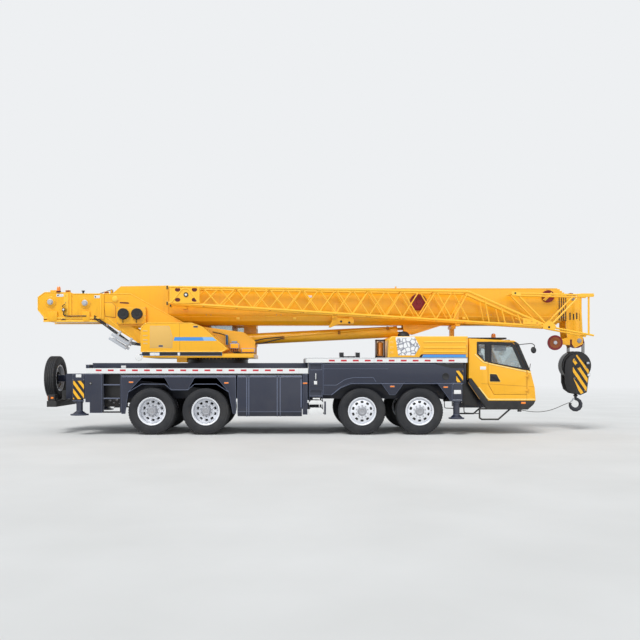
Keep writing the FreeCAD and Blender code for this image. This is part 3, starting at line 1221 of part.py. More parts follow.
def pads(number):
    """Wear pad at the mouth of a section, under the next section."""
    return box(f"pad_{number}", (f"boom_front_x + {number - 1} * collar_step - 220",
                                 f"boom_front_x + {number - 1} * collar_step - 20"), (-90, 90),
               (f"boom_low + {number - 1} * boom_step + boom_wall - 1",
                f"boom_low + {number} * boom_step - fit_gap"))


def boom_section(number):
    inset = f"{number - 1} * boom_step"
    front = f"boom_front_x + {number - 1} * collar_step"
    tube = plate(f"boom_{number}_tube", "YZ", boom_outline(inset), f"boom_tail_x + {number} * 60", front,
                 boom_outline(f"{inset} + boom_wall"))
    collar = plate(f"boom_{number}_collar", "YZ", boom_outline(f"{inset} - 24"),
                   f"{front} - collar_step + move_gap", front, boom_outline(f"{inset} + boom_wall"))
    parts = [tube, collar]
    if number < 5:
        parts.append(pads(number))
        return node(f"boom_section_{number}", joined(f"boom_section_{number}", parts))
    parts += boom_head()
    return node("boom_section_5", joined("boom_section_5", parts))


# Side plates of the boom head, and the arm of its side sheave
AUX_ARM = ((6290, 2340), (6760, 2300), (6760, 2520), (6290, 2400))
HEAD_SIDE = ((6660, 3600), (7060, 3600), (7110, 2560), (7110, 2330), (6900, 2230), (6700, 2500), (6660, 2830))


def boom_head():
    parts = []
    for side, word in SIDES:
        y = span(side, "head_half - head_plate", "head_half")
        parts.append(plate(f"head_side_{word}", "XZ", HEAD_SIDE, *y))
    parts.append(box("head_back", (6610, 6660), ("-head_half", "head_half"), (2990, 3600)))
    parts.append(box("head_web", (6700, 7060), ("-head_half", "head_half"), (3020, 3060)))
    parts.append(rod("head_pin", "Y", ("head_pin_x", "-head_half - 15", "head_pin_z"), "2 * head_half + 30",
                     "head_pin_radius"))
    parts.append(rod("top_pin", "Y", ("top_sheave_x", "-head_half - 15", "top_sheave_z"), "2 * head_half + 30",
                     "top_pin_radius"))
    parts.append(plate("aux_arm", "XZ", AUX_ARM, "-head_half - 25", "-head_half + 2"))
    parts.append(rod("aux_pin", "Y", ("aux_sheave_x", "-head_half - 80", "aux_sheave_z"), 82,
                     "aux_pin_radius"))
    return parts


def head_sheaves():
    parts = []
    for name, count, x, z, pin in (("top", 4, "top_sheave_x", "top_sheave_z", "top_pin_radius"),
                                   ("low", 3, "head_pin_x", "head_pin_z", "head_pin_radius")):
        for k in range(count):
            y = f"{k - (count - 1) / 2} * sheave_pitch - sheave_thick / 2"
            disc = rod(f"{name}_sheave_{k}", "Y", (x, y, z), "sheave_thick", f"{name}_sheave_radius")
            bore = rod(f"{name}_sheave_bore_{k}", "Y", (x, f"{y} - 5", z), "sheave_thick + 10",
                       f"{pin} + slide_fit")
            parts.append(without(f"{name}_sheave_cut_{k}", disc, [bore]))
    disc = rod("aux_sheave", "Y", ("aux_sheave_x", "-head_half - 70", "aux_sheave_z"), "aux_sheave_thick",
               "aux_sheave_radius")
    bore = rod("aux_sheave_bore", "Y", ("aux_sheave_x", "-head_half - 75", "aux_sheave_z"),
               "aux_sheave_thick + 10", "aux_pin_radius + slide_fit")
    parts.append(without("aux_sheave_cut", disc, [bore]))
    return node("head_sheaves", beside("head_sheaves", parts))


# Lattice jib: four chords, crossed braces, a tapering end and a fork frame at its tip
JIB_ROOT_X = -3840
JIB_KNEE_X = 3860
JIB_TIP_X = 5925
JIB_TIP_Z = 2750
JIB_FORK_X = 7075
JIB_FORK_TOP = 3556
JIB_FORK_LOW = 2524
JIB_BAYS = 9
# Bars of the fork frame in each side face: start and end in X and Z, and its cross bars
FORK_BARS = ((5006, 3607, JIB_FORK_X, JIB_FORK_TOP), (5093, 3595, JIB_TIP_X, JIB_TIP_Z),
             (JIB_TIP_X, JIB_TIP_Z, JIB_FORK_X, JIB_FORK_LOW), (5980, 2790, 6735, 3566),
             (6945, JIB_FORK_TOP, 6945, JIB_FORK_LOW + 26))
FORK_TIES = ((5040, 3606), (6945, JIB_FORK_TOP), (6945, JIB_FORK_LOW + 26))


def jib_chord_z(x):
    """Height of the lower chords."""
    return 3363 - 0.0624 * (x - JIB_ROOT_X)


def jib_top_z(x):
    """Height of the upper chords up to the knee."""
    return 3771 - 0.0160 * (x - JIB_ROOT_X)


def jib_shape():
    near = -size.jib_near
    far = -size.jib_far
    chord = size.chord_radius
    brace = size.brace_radius
    tip = Vector(JIB_TIP_X, 0, JIB_TIP_Z)
    bars = []

    def point(x, y, upper):
        return Vector(x, y, jib_top_z(x) if upper else jib_chord_z(x))

    pitch = (JIB_KNEE_X - JIB_ROOT_X) / JIB_BAYS
    for y in (near, far):
        bars.append(bar(point(JIB_ROOT_X, y, True), point(JIB_KNEE_X, y, True), chord))
        bars.append(bar(point(JIB_ROOT_X, y, False), Vector(tip.x, y, tip.z), chord))
        bars.append(bar(point(JIB_KNEE_X, y, True), Vector(tip.x, y, tip.z), chord))
        shift = 0 if y == near else 0.5
        for k in range(JIB_BAYS):
            left = JIB_ROOT_X + pitch * k + 20
            right = min(left + pitch, JIB_KNEE_X)
            middle = left + pitch * 0.5
            bars.append(bar(point(left, y, True), point(middle, y, False), brace))
            bars.append(bar(point(middle, y, False), point(right, y, True), brace))
        for k in range(1, 4):
            x = JIB_KNEE_X + (JIB_TIP_X - JIB_KNEE_X) * k / 5
            share = k / 5
            top_z = jib_top_z(JIB_KNEE_X) * (1 - share) + tip.z * share
            low_x = x + 120
            bars.append(bar(Vector(x, y, top_z), Vector(low_x, y, jib_chord_z(low_x)), brace))
    for k in range(JIB_BAYS + 1):
        x = JIB_ROOT_X + pitch * k
        for upper in (True, False):
            bars.append(bar(point(x, near, upper), point(x, far, upper), brace))
    bars.append(bar(Vector(tip.x, near, tip.z), Vector(tip.x, far, tip.z), chord))
    for y in (near, far):
        for x0, z0, x1, z1 in FORK_BARS:
            bars.append(bar(Vector(x0, y, z0), Vector(x1, y, z1), chord * 0.75))
    for x, z in FORK_TIES:
        bars.append(bar(Vector(x, near, z), Vector(x, far, z), brace))
    return bars[0].fuse(bars[1:])


def jib():
    return node("jib", made("jib", jib_shape()))


# Lifting cylinder
def lean():
    return math.atan2(size.lift_eye_z - size.lift_foot_z, size.lift_eye_x - size.lift_foot_x)


def lift_length():
    return math.hypot(size.lift_eye_z - size.lift_foot_z, size.lift_eye_x - size.lift_foot_x)


def lift_barrel():
    """Barrel along +X from its foot eye, then leaned to the eye pin."""
    tube = Part.makeCylinder(size.barrel_radius, size.barrel_length - 220, Vector(220, 0, 0), AXES["X"])
    neck = Part.makeCylinder(size.lift_half - 8, 200, Vector(100, 0, 0), AXES["X"])
    collar = Part.makeCylinder(size.barrel_radius + 5, 90, Vector(size.barrel_length - 90, 0, 0), AXES["X"])
    eye = Part.makeCylinder(170, 2 * size.lift_half, Vector(0, -size.lift_half, 0), AXES["Y"])
    solid = tube.fuse([neck, collar, eye])
    bore = Part.makeCylinder(size.barrel_radius - size.barrel_wall, size.barrel_length, Vector(260, 0, 0),
                             AXES["X"])
    mouth = Part.makeCylinder(size.lift_pin_radius + size.slide_fit, 4 * size.lift_half,
                              Vector(0, -2 * size.lift_half, 0), AXES["Y"])
    item = made("lift_barrel", solid.cut(bore).cut(mouth))
    item.Placement = Placement(Vector(size.lift_foot_x, 0, size.lift_foot_z),
                               Rotation(AXES["Y"], -math.degrees(lean())))
    return node("lift_barrel", item)


def lift_rod():
    length = lift_length()
    stroke_rod = Part.makeCylinder(size.rod_radius, length - 400, Vector(300, 0, 0), AXES["X"])
    bore = size.barrel_radius - size.barrel_wall
    piston = Part.makeCylinder(bore - size.slide_fit, 160, Vector(280, 0, 0), AXES["X"])
    eye = Part.makeCylinder(120, 2 * size.lift_half - 4, Vector(length, -size.lift_half + 2, 0), AXES["Y"])
    mouth = Part.makeCylinder(size.lift_pin_radius, 4 * size.lift_half, Vector(length, -2 * size.lift_half, 0),
                              AXES["Y"])
    item = made("lift_rod", stroke_rod.fuse([piston, eye]).cut(mouth))
    item.Placement = Placement(Vector(size.lift_foot_x, 0, size.lift_foot_z),
                               Rotation(AXES["Y"], -math.degrees(lean())))
    return node("lift_rod", item)


# Hook block with its cheeks and sheaves, rope falls, and the hook
CHEEK = ((6985, 2083), (7330, 1640), (7260, 1040), (7080, 960), (6870, 1450), (6870, 1930))


def hook_block():
    parts = []
    for side, word in SIDES:
        parts.append(plate(f"cheek_plate_{word}", "XZ", CHEEK, *span(side, "block_half - 25", "block_half")))
    for k in range(3):
        y = f"{k - 1} * sheave_pitch - sheave_thick / 2"
        parts.append(rod(f"block_sheave_{k}", "Y", ("head_pin_x", y, "block_z"), "sheave_thick",
                         "sheave_radius"))
    parts.append(rod("block_axle", "Y", ("head_pin_x", "-block_half - 20", "block_z"), "2 * block_half + 40",
                     60))
    parts.append(box("crosshead", ("head_pin_x - 60", "head_pin_x + 120"), ("-block_half", "block_half"),
                     ("crosshead_low", "crosshead_high")))
    bore = rod("hook_bore", "Z", ("head_pin_x", 0, "crosshead_low - 10"), 95, "shank_radius + slide_fit")
    return node("hook_block", without("hook_block", joined("hook_block_solid", parts), [bore]))


def rope_falls():
    parts = []
    for k in range(3):
        for word, offset in (("rear", "-fall_offset"), ("front", "fall_offset")):
            parts.append(rod(f"fall_{word}_{k}", "Z",
                             (f"head_pin_x + {offset}", f"{k - 1} * sheave_pitch", "fall_low"), "fall_length",
                             "rope_radius"))
    return node("rope_falls", beside("rope_falls", parts))


def hook():
    """Forged hook: shank, throat and bowl with a tapering point."""
    x = size.head_pin_x
    centre = Vector(x, 0, size.hook_z)
    shank = Part.makeCylinder(size.shank_radius, 240, Vector(x, 0, size.hook_z + size.hook_radius - 20),
                              AXES["Z"])
    bowl = Part.makeTorus(size.hook_radius, size.hook_thick, centre, AXES["Y"])
    gap = Part.makeBox(120, 200, 130, Vector(x + 62, -100, size.hook_z + 20))
    ring = bowl.cut(gap)
    nut = Part.makeCylinder(62, 40, Vector(x, 0, size.hook_z + 225), AXES["Z"])
    item = made("hook", ring.fuse([shank, nut]))
    return node("hook", item)


# Slack tie rope from the towing lug's front face to the hook's rear edge: x, y, z
TIE_ROUTE = ((5402.4, -450, 580), (5560, -412, 548), (5745, -356, 526), (5945, -292, 519),
             (6150, -225, 538), (6350, -158, 583), (6535, -94, 645), (6690, -38, 706), (6822.2, -2, 748))


def rounded_route(points):
    """Straight runs joined by tangent arcs, each as large as its two runs allow."""
    edges = []
    start = points[0]
    radii = []
    for before, corner, after in zip(points, points[1:], points[2:]):
        back = (before - corner).normalize()
        ahead = (after - corner).normalize()
        half_turn = (math.pi - back.getAngle(ahead)) / 2
        reach = 0.45 * min((before - corner).Length, (after - corner).Length)
        radius = reach / math.tan(half_turn)
        bulge = math.hypot(radius, reach) - radius
        arc_start = corner + back * reach
        arc_end = corner + ahead * reach
        middle = corner + (back + ahead).normalize() * bulge
        edges.append(Part.LineSegment(start, arc_start).toShape())
        edges.append(Part.Arc(arc_start, middle, arc_end).toShape())
        start = arc_end
        radii.append(round(radius))
    edges.append(Part.LineSegment(start, points[-1]).toShape())
    print("tie rope arc radii", radii, "mm")
    return Part.Wire(edges)


def tie_rope():
    points = [Vector(*point) for point in TIE_ROUTE]
    path = rounded_route(points)
    ring = Part.Wire(Part.Circle(points[0], points[1] - points[0], size.tie_radius).toShape())
    tube = path.makePipeShell([ring], True, True)
    length = path.Length
    print("tie rope length", round(length), "mm, volume share",
          round(tube.Volume / (length * math.pi * size.tie_radius ** 2), 4))
    return node("tie_rope", made("tie_rope", tube))


def main():
    chassis_frame()
    for side, word in SIDES:
        outrigger("rear", side, word, "lower" if side == NEAR else "upper")
        outrigger("front", side, word, "lower" if side == NEAR else "upper")
    deck_plates()
    side_panels()
    side_boxes()
    engine_hood()
    engine_block()
    silencer()
    cab_shell()
    cab_glass()
    for side, word in SIDES:
        cab_door(side, word)
    cab_interior()
    bumpers()
    lamps()
    wheels()
    spare_wheel()
    spare_carrier()
    axles()
    for number in (1, 2):
        for side, word in SIDES:
            knuckle(number, side, word)
    slew_ring()
    turntable_frame()
    winches()
    counterweight()
    hose_reels()
    access_ladder()
    cowl()
    operator_cab()
    operator_glass()
    operator_door()
    boom_base()
    for number in (2, 3, 4, 5):
        boom_section(number)
    head_sheaves()
    jib()
    lift_barrel()
    lift_rod()
    hook_block()
    rope_falls()
    hook()
    tie_rope()
    doc.recompute()
    failed = [item.Name for item in doc.Objects if {"Invalid", "Error"} & set(item.State)]
    for item in nodes:
        if item.Shape.isNull() or not item.Shape.isValid():
            failed.append(item.Label)
    if failed:
        raise RuntimeError("failed: " + ", ".join(failed))
    os.makedirs("parts", exist_ok=True)
    for item in nodes:
        item.Shape.exportStep(f"parts/{item.Label}.step")
        print(item.Label, len(item.Shape.Solids), round(item.Shape.Volume / 1e9, 4))


main()
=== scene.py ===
# %% [markdown]
# A truck crane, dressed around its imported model.
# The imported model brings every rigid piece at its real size. This script gives those pieces
# their paint, rubber and glass, rounds their edges, and adds what a maker leaves out of a
# structural model: tyre treads, bolts, trims, wires, hoses and the stripes on the deck.
# Everything is in metres: +X is forward, -Y is the side with the stowed jib, +Z is up.

# %% Frame and numbers
import json
import math
import random

import bmesh
import bpy
from mathutils import Matrix, Vector

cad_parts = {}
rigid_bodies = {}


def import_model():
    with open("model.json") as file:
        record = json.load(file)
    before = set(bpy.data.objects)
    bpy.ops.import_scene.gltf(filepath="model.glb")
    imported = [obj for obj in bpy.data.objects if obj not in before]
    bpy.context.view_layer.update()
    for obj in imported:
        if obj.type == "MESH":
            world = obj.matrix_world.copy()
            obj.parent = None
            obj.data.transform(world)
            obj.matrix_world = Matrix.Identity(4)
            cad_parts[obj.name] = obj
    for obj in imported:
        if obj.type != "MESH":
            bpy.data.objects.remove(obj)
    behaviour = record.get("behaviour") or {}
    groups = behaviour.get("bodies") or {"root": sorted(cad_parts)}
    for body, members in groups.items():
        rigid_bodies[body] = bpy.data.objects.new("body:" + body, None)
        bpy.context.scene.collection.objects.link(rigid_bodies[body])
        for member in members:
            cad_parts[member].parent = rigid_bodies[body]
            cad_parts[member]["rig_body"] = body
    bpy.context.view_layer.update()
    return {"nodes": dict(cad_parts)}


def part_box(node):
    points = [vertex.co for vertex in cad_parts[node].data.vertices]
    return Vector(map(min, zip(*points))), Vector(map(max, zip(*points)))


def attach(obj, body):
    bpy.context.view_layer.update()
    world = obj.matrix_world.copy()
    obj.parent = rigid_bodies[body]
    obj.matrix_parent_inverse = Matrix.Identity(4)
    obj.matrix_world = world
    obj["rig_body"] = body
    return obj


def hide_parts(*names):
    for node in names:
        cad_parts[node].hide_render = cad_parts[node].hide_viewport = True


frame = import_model()

NEAR, FAR = -1, 1
SIDES = ((NEAR, "right"), (FAR, "left"))
MM = 0.001
BODY_HALF = -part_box("side_panels")[0].y
SLEW = Vector((-2.670, 0, 1.955))
body_of_node = {name: piece["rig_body"] for name, piece in frame["nodes"].items()}

# %% [markdown]
# The camera comes first, because all that follows is judged through it.
# The photograph was taken from the side, almost square on, from about a person's eye height and
# from far enough away that the two ends hardly shrink. The lens is written as the distance to
# the picture plane in pixels, and the point that the camera looks at isn't the picture's middle,
# so a small shift moves the frame.

# %% Camera
PHOTO_SIDE = 640
FOCAL_PIXELS = 714.3
LOOK_PIXEL = (290, 370)
SENSOR_MM = 36.0

camera_data = bpy.data.cameras.new("camera")
camera_data.sensor_width = SENSOR_MM
camera_data.lens = FOCAL_PIXELS * SENSOR_MM / PHOTO_SIDE
camera_data.shift_x = (PHOTO_SIDE / 2 - LOOK_PIXEL[0]) / PHOTO_SIDE
camera_data.shift_y = (LOOK_PIXEL[1] - PHOTO_SIDE / 2) / PHOTO_SIDE
camera_data.clip_end = 400
camera = bpy.data.objects.new("camera", camera_data)
camera.location = (-0.720, -19.35, 1.638)
camera.rotation_euler = (math.pi / 2, 0, 0)
bpy.context.scene.collection.objects.link(camera)
bpy.context.scene.camera = camera
bpy.context.scene.view_settings.view_transform = "Standard"
print("lens", round(camera_data.lens, 2), "mm")

# %% [markdown]
# Shader nodes are added through one small helper, so that a material reads like a list of what
# it does. An input is a number, a colour or the output of another node.

# %% Node helper
def put(tree, kind, inputs=None, **settings):
    """Adds one shader node and joins or sets its inputs."""
    added = tree.nodes.new(kind)
    for key, value in settings.items():
        setattr(added, key, value)
    for key, value in (inputs or {}).items():
        if isinstance(value, bpy.types.NodeSocket):
            tree.links.new(value, added.inputs[key])
        else:
            added.inputs[key].default_value = value
    return added


def linear(red, green, blue):
    """An sRGB colour from 0 to 255 as the linear colour that shaders use."""
    def one(value):
        share = value / 255
        return share / 12.92 if share <= 0.04045 else ((share + 0.055) / 1.055) ** 2.4
    return (one(red), one(green), one(blue), 1.0)


print("helper ready; mid grey is", round(linear(128, 128, 128)[0], 3))

# %% [markdown]
# Effects that several materials share are node groups with named sockets.
# Each gives out only a colour, a mask or a height, and the shader itself stays in the material.
# - Tone: slow clouds of lighter and darker paint, as sprayed panels have.
# - Dust: road dust that thickens towards the wheels and settles in patches.
# - Streaks: runs of rain water down upright faces.
# - Grain: fine noise for orange peel, cast skin or moulded texture.
# - Chips: small spots where an edge has lost its paint.

# %% Shader groups
def shader_group(name, inputs, outputs):
    tree = bpy.data.node_groups.new(name, "ShaderNodeTree")
    for label, kind, value in inputs:
        socket = tree.interface.new_socket(name=label, in_out="INPUT", socket_type=kind)
        socket.default_value = value
    for label, kind in outputs:
        tree.interface.new_socket(name=label, in_out="OUTPUT", socket_type=kind)
    entry = tree.nodes.new("NodeGroupInput").outputs
    leave = tree.nodes.new("NodeGroupOutput").inputs
    return tree, entry, leave


GREY = (0.5, 0.5, 0.5, 1.0)


def tone_group():
    tree, entry, leave = shader_group(
        "Tone", (("Color", "NodeSocketColor", GREY), ("Spread", "NodeSocketFloat", 0.08),
                 ("Scale", "NodeSocketFloat", 0.9)), (("Color", "NodeSocketColor"),))
    place = put(tree, "ShaderNodeTexCoord").outputs["Object"]
    cloud = put(tree, "ShaderNodeTexNoise", {"Vector": place, "Scale": entry["Scale"], "Detail": 5.0})
    centred = put(tree, "ShaderNodeMath", {0: cloud.outputs["Fac"], 1: 0.5}, operation="SUBTRACT")
    swing = put(tree, "ShaderNodeMath", {0: centred.outputs[0], 1: entry["Spread"]}, operation="MULTIPLY")
    level = put(tree, "ShaderNodeMath", {0: swing.outputs[0], 1: 1.0}, operation="ADD")
    mixed = put(tree, "ShaderNodeHueSaturation", {"Value": level.outputs[0], "Color": entry["Color"]})
    tree.links.new(mixed.outputs["Color"], leave["Color"])
    return tree


def dust_group():
    tree, entry, leave = shader_group(
        "Dust", (("Color", "NodeSocketColor", GREY), ("Dust", "NodeSocketColor", linear(150, 144, 132)),
                 ("Amount", "NodeSocketFloat", 0.4), ("Top", "NodeSocketFloat", 1.6)),
        (("Color", "NodeSocketColor"), ("Mask", "NodeSocketFloat")))
    place = put(tree, "ShaderNodeTexCoord").outputs["Object"]
    height = put(tree, "ShaderNodeSeparateXYZ", {0: place}).outputs["Z"]
    rise = put(tree, "ShaderNodeMapRange", {"Value": height, "From Min": 0.0, "From Max": entry["Top"],
                                            "To Min": 1.0, "To Max": 0.0})
    patch = put(tree, "ShaderNodeTexNoise", {"Vector": place, "Scale": 2.6, "Detail": 8.0, "Roughness": 0.62})
    patch = put(tree, "ShaderNodeMapRange", {"Value": patch.outputs["Fac"], "From Min": 0.35,
                                             "From Max": 0.72})
    both = put(tree, "ShaderNodeMath", {0: rise.outputs[0], 1: patch.outputs[0]}, operation="MULTIPLY")
    mask = put(tree, "ShaderNodeMath", {0: both.outputs[0], 1: entry["Amount"]}, operation="MULTIPLY",
               use_clamp=True)
    mixed = put(tree, "ShaderNodeMix", {0: mask.outputs[0], 6: entry["Color"], 7: entry["Dust"]},
                data_type="RGBA")
    tree.links.new(mixed.outputs[2], leave["Color"])
    tree.links.new(mask.outputs[0], leave["Mask"])
    return tree


def streak_group():
    tree, entry, leave = shader_group(
        "Streaks", (("Color", "NodeSocketColor", GREY), ("Depth", "NodeSocketFloat", 0.15)),
        (("Color", "NodeSocketColor"), ("Mask", "NodeSocketFloat")))
    place = put(tree, "ShaderNodeTexCoord").outputs["Object"]
    drawn = put(tree, "ShaderNodeMapping", {"Vector": place, "Scale": (9.0, 9.0, 0.55)})
    runs = put(tree, "ShaderNodeTexNoise", {"Vector": drawn.outputs[0], "Scale": 1.6, "Detail": 6.0})
    thin = put(tree, "ShaderNodeMapRange", {"Value": runs.outputs["Fac"], "From Min": 0.55, "From Max": 0.80})
    mask = put(tree, "ShaderNodeMath", {0: thin.outputs[0], 1: entry["Depth"]}, operation="MULTIPLY")
    mixed = put(tree, "ShaderNodeMix", {0: mask.outputs[0], 6: entry["Color"], 7: linear(70, 62, 52)},
                data_type="RGBA")
    tree.links.new(mixed.outputs[2], leave["Color"])
    tree.links.new(mask.outputs[0], leave["Mask"])
    return tree


def grain_group():
    tree, entry, leave = shader_group(
        "Grain", (("Scale", "NodeSocketFloat", 160.0), ("Stretch", "NodeSocketVector", (1.0, 1.0, 1.0))),
        (("Height", "NodeSocketFloat"),))
    place = put(tree, "ShaderNodeTexCoord").outputs["Object"]
    drawn = put(tree, "ShaderNodeVectorMath", {0: place, 1: entry["Stretch"]}, operation="MULTIPLY")
    noise = put(tree, "ShaderNodeTexNoise", {"Vector": drawn.outputs[0], "Scale": entry["Scale"], "Detail": 3.0})
    tree.links.new(noise.outputs["Fac"], leave["Height"])
    return tree


def chip_group():
    tree, entry, leave = shader_group(
        "Chips", (("Color", "NodeSocketColor", GREY), ("Bare", "NodeSocketColor", linear(96, 90, 84)),
                  ("Amount", "NodeSocketFloat", 0.3)),
        (("Color", "NodeSocketColor"), ("Mask", "NodeSocketFloat")))
    place = put(tree, "ShaderNodeTexCoord").outputs["Object"]
    spots = put(tree, "ShaderNodeTexNoise", {"Vector": place, "Scale": 34.0, "Detail": 4.0})
    edge = put(tree, "ShaderNodeMapRange", {"Value": spots.outputs["Fac"], "From Min": 0.60, "From Max": 0.66})
    mask = put(tree, "ShaderNodeMath", {0: edge.outputs[0], 1: entry["Amount"]}, operation="MULTIPLY")
    mixed = put(tree, "ShaderNodeMix", {0: mask.outputs[0], 6: entry["Color"], 7: entry["Bare"]},
                data_type="RGBA")
    tree.links.new(mixed.outputs[2], leave["Color"])
    tree.links.new(mask.outputs[0], leave["Mask"])
    return tree


GROUPS = {"tone": tone_group(), "dust": dust_group(), "streaks": streak_group(), "grain": grain_group(),
          "chips": chip_group()}
print("shader groups:", ", ".join(tree.name for tree in GROUPS.values()))

# %% [markdown]
# One function mixes most of the finishes: paint, plastic, rubber and cast metal differ in
# colour, gloss, grain and in how much dust they hold. Its numbers stand in one table, so the
# whole machine can be retuned in one place. Uniform values are set straight on the shader.

# %% Surface recipe
def surface(name, colour, rough, spread=0.08, dust=0.0, dust_top=1.6, streaks=0.0, chips=0.0,
            grain=(160.0, 0.0002), stretch=(1.0, 1.0, 1.0), rough_swing=0.10, metallic=0.0, coat=0.0,
            sheen=0.0, dust_colour=(150, 144, 132)):
    """A material that runs colour through tone, chips, streaks and dust, over a grained bump."""
    material = bpy.data.materials.new(name)
    material.use_nodes = True
    tree = material.node_tree
    shader = tree.nodes["Principled BSDF"]

    def use(group, **inputs):
        return put(tree, "ShaderNodeGroup", {key.replace("_", " "): value for key, value in inputs.items()},
                   node_tree=GROUPS[group]).outputs

    flow = use("tone", Color=linear(*colour), Spread=spread)["Color"]
    if chips:
        flow = use("chips", Color=flow, Amount=chips)["Color"]
    if streaks:
        flow = use("streaks", Color=flow, Depth=streaks)["Color"]
    wear = put(tree, "ShaderNodeTexNoise", {"Scale": 3.5, "Detail": 6.0}).outputs["Fac"]
    rough_map = put(tree, "ShaderNodeMapRange", {"Value": wear, "From Min": 0.3, "From Max": 0.7,
                                                 "To Min": rough - rough_swing / 2,
                                                 "To Max": rough + rough_swing / 2}).outputs[0]
    if dust:
        dusty = use("dust", Color=flow, Amount=dust, Top=dust_top, Dust=linear(*dust_colour))
        flow = dusty["Color"]
        rough_map = put(tree, "ShaderNodeMix", {0: dusty["Mask"], 2: rough_map, 3: 0.9}).outputs[0]
    tree.links.new(flow, shader.inputs["Base Color"])
    tree.links.new(rough_map, shader.inputs["Roughness"])
    height = use("grain", Scale=grain[0], Stretch=stretch)["Height"]
    bump = put(tree, "ShaderNodeBump", {"Height": height, "Strength": 1.0, "Distance": grain[1]})
    tree.links.new(bump.outputs["Normal"], shader.inputs["Normal"])
    shader.inputs["Metallic"].default_value = metallic
    shader.inputs["Coat Weight"].default_value = coat
    shader.inputs["Coat Roughness"].default_value = 0.12
    if sheen:
        shader.inputs["Sheen Weight"].default_value = sheen
    return material


CRANE_YELLOW = (250, 182, 26)
CARRIER_BLUE = (31, 37, 56)
FINISHES = {
    "yellow": surface("crane yellow", CRANE_YELLOW, 0.34, spread=0.10, dust=0.06, dust_top=3.0, streaks=0.10,
                      coat=0.12),
    # painted highlight with chips: a lighter yellow that brightens rounded edges and small ridges, with worn spots
    "yellow_edge": surface("crane yellow, painted highlight and chips", (255, 204, 84), 0.40, chips=0.35, coat=0.1),
    "carrier": surface("carrier blue grey", CARRIER_BLUE, 0.42, spread=0.12, dust=0.11, dust_top=1.5,
                       streaks=0.06, coat=0.20),
    # painted highlight with chips and dust: a much lighter blue-grey for rounded edges, creases and strips
    "carrier_edge": surface("carrier, painted highlight and chips", (92, 100, 122), 0.45, chips=0.25, dust=0.2, dust_top=1.5),
    "black": surface("black plastic", (24, 25, 28), 0.55, dust=0.30, dust_top=1.2, grain=(420.0, 0.0004)),
    "black_paint": surface("black paint", (20, 20, 23), 0.38, dust=0.2, dust_top=1.5),
    "rubber": surface("tyre rubber", (24, 26, 32), 0.70, spread=0.2, dust=0.08, dust_top=1.15,
                      grain=(300.0, 0.0005)),
    "wheel_silver": surface("wheel silver", (236, 238, 243), 0.38, dust=0.10, dust_top=1.1, metallic=0.1),
    "hub_grey": surface("hub grey", (168, 170, 176), 0.45, dust=0.15, dust_top=1.1, metallic=0.4),
    "steel": surface("bare steel", (150, 150, 152), 0.36, metallic=0.85, grain=(90.0, 0.0002),
                     stretch=(1.0, 12.0, 12.0)),
    "galvanised": surface("galvanised sheet", (186, 190, 196), 0.42, metallic=0.6, spread=0.25),
    "chrome": surface("rod chrome", (214, 216, 220), 0.10, metallic=1.0, rough_swing=0.04,
                      grain=(60.0, 0.00005)),
    "red_sheave": surface("sheave red", (122, 14, 24), 0.42, spread=0.15),
    "rope": surface("wire rope", (84, 82, 78), 0.5, metallic=0.6, spread=0.3, grain=(700.0, 0.0006)),
    "hose": surface("rubber hose", (22, 22, 24), 0.48, grain=(260.0, 0.0003)),
    "white": surface("white paint", (232, 233, 232), 0.4, dust=0.12, dust_top=2.4, streaks=0.12),
    "red_tape": surface("red tape", (196, 24, 44), 0.35, spread=0.12),
    "stripe_blue": surface("stripe blue", (66, 146, 218), 0.34, coat=0.3),
    "hazard_yellow": surface("hazard yellow", (250, 186, 32), 0.38, dust=0.2, dust_top=1.8),
    "deck_plate": surface("deck tread plate", (150, 153, 158), 0.48, spread=0.2, metallic=0.35, chips=0.2),
    "trim": surface("cab trim", (52, 52, 56), 0.75, grain=(520.0, 0.0006), sheen=0.2),
    "seat": surface("seat cloth", (38, 40, 46), 0.85, grain=(900.0, 0.0008), sheen=0.4),
    "amber": surface("amber lens", (255, 138, 20), 0.16, coat=0.6, spread=0.03),
    "clear_lens": surface("clear lens", (226, 230, 232), 0.10, coat=0.8, spread=0.03),
    "red_lens": surface("red lens", (196, 20, 20), 0.16, coat=0.6, spread=0.03),
    "brass_strip": surface("brown strip", (150, 112, 62), 0.4, metallic=0.5),
    "visor": surface("visor grey", (88, 96, 118), 0.6, grain=(300.0, 0.0003)),
    "deep_blue": surface("dark blue line", (30, 52, 110), 0.4),
    # painted highlight: a lighter yellow for ribs, strips, edge lines and pads
    "yellow_light": surface("yellow, painted edge highlight", (255, 202, 66), 0.42, spread=0.06, dust=0.05, dust_top=3.0),
    # painted highlight: a pale yellow for the cab's ledges
    "yellow_ledge_highlight": surface("yellow, painted ledge highlight", (255, 226, 138), 0.4, spread=0.05),
    "jib_yellow": surface("jib yellow", (255, 192, 48), 0.38, spread=0.08, coat=0.1),
    # painted shade: a dark yellow for creases, gaps, outlines and shaded bolt heads and clamps
    "yellow_dark": surface("yellow, painted shade", (178, 112, 16), 0.55),
    "stripe_pale": surface("stripe pale blue", (140, 190, 232), 0.36, coat=0.2),
    "vent_panel": surface("vent panel", (228, 182, 96), 0.62, grain=(120.0, 0.0012)),
    "sheave_dark": surface("dark red", (88, 10, 18), 0.5),
    "rust_brown": surface("brown primer", (140, 72, 20), 0.5, spread=0.2),
    "forged_grey": surface("forged steel", (58, 60, 66), 0.48, metallic=0.5, grain=(90.0, 0.0008)),
    "heat_brown": surface("heat-browned metal", (186, 112, 34), 0.42, metallic=0.35, spread=0.3),
}
print(len(FINISHES), "finishes")
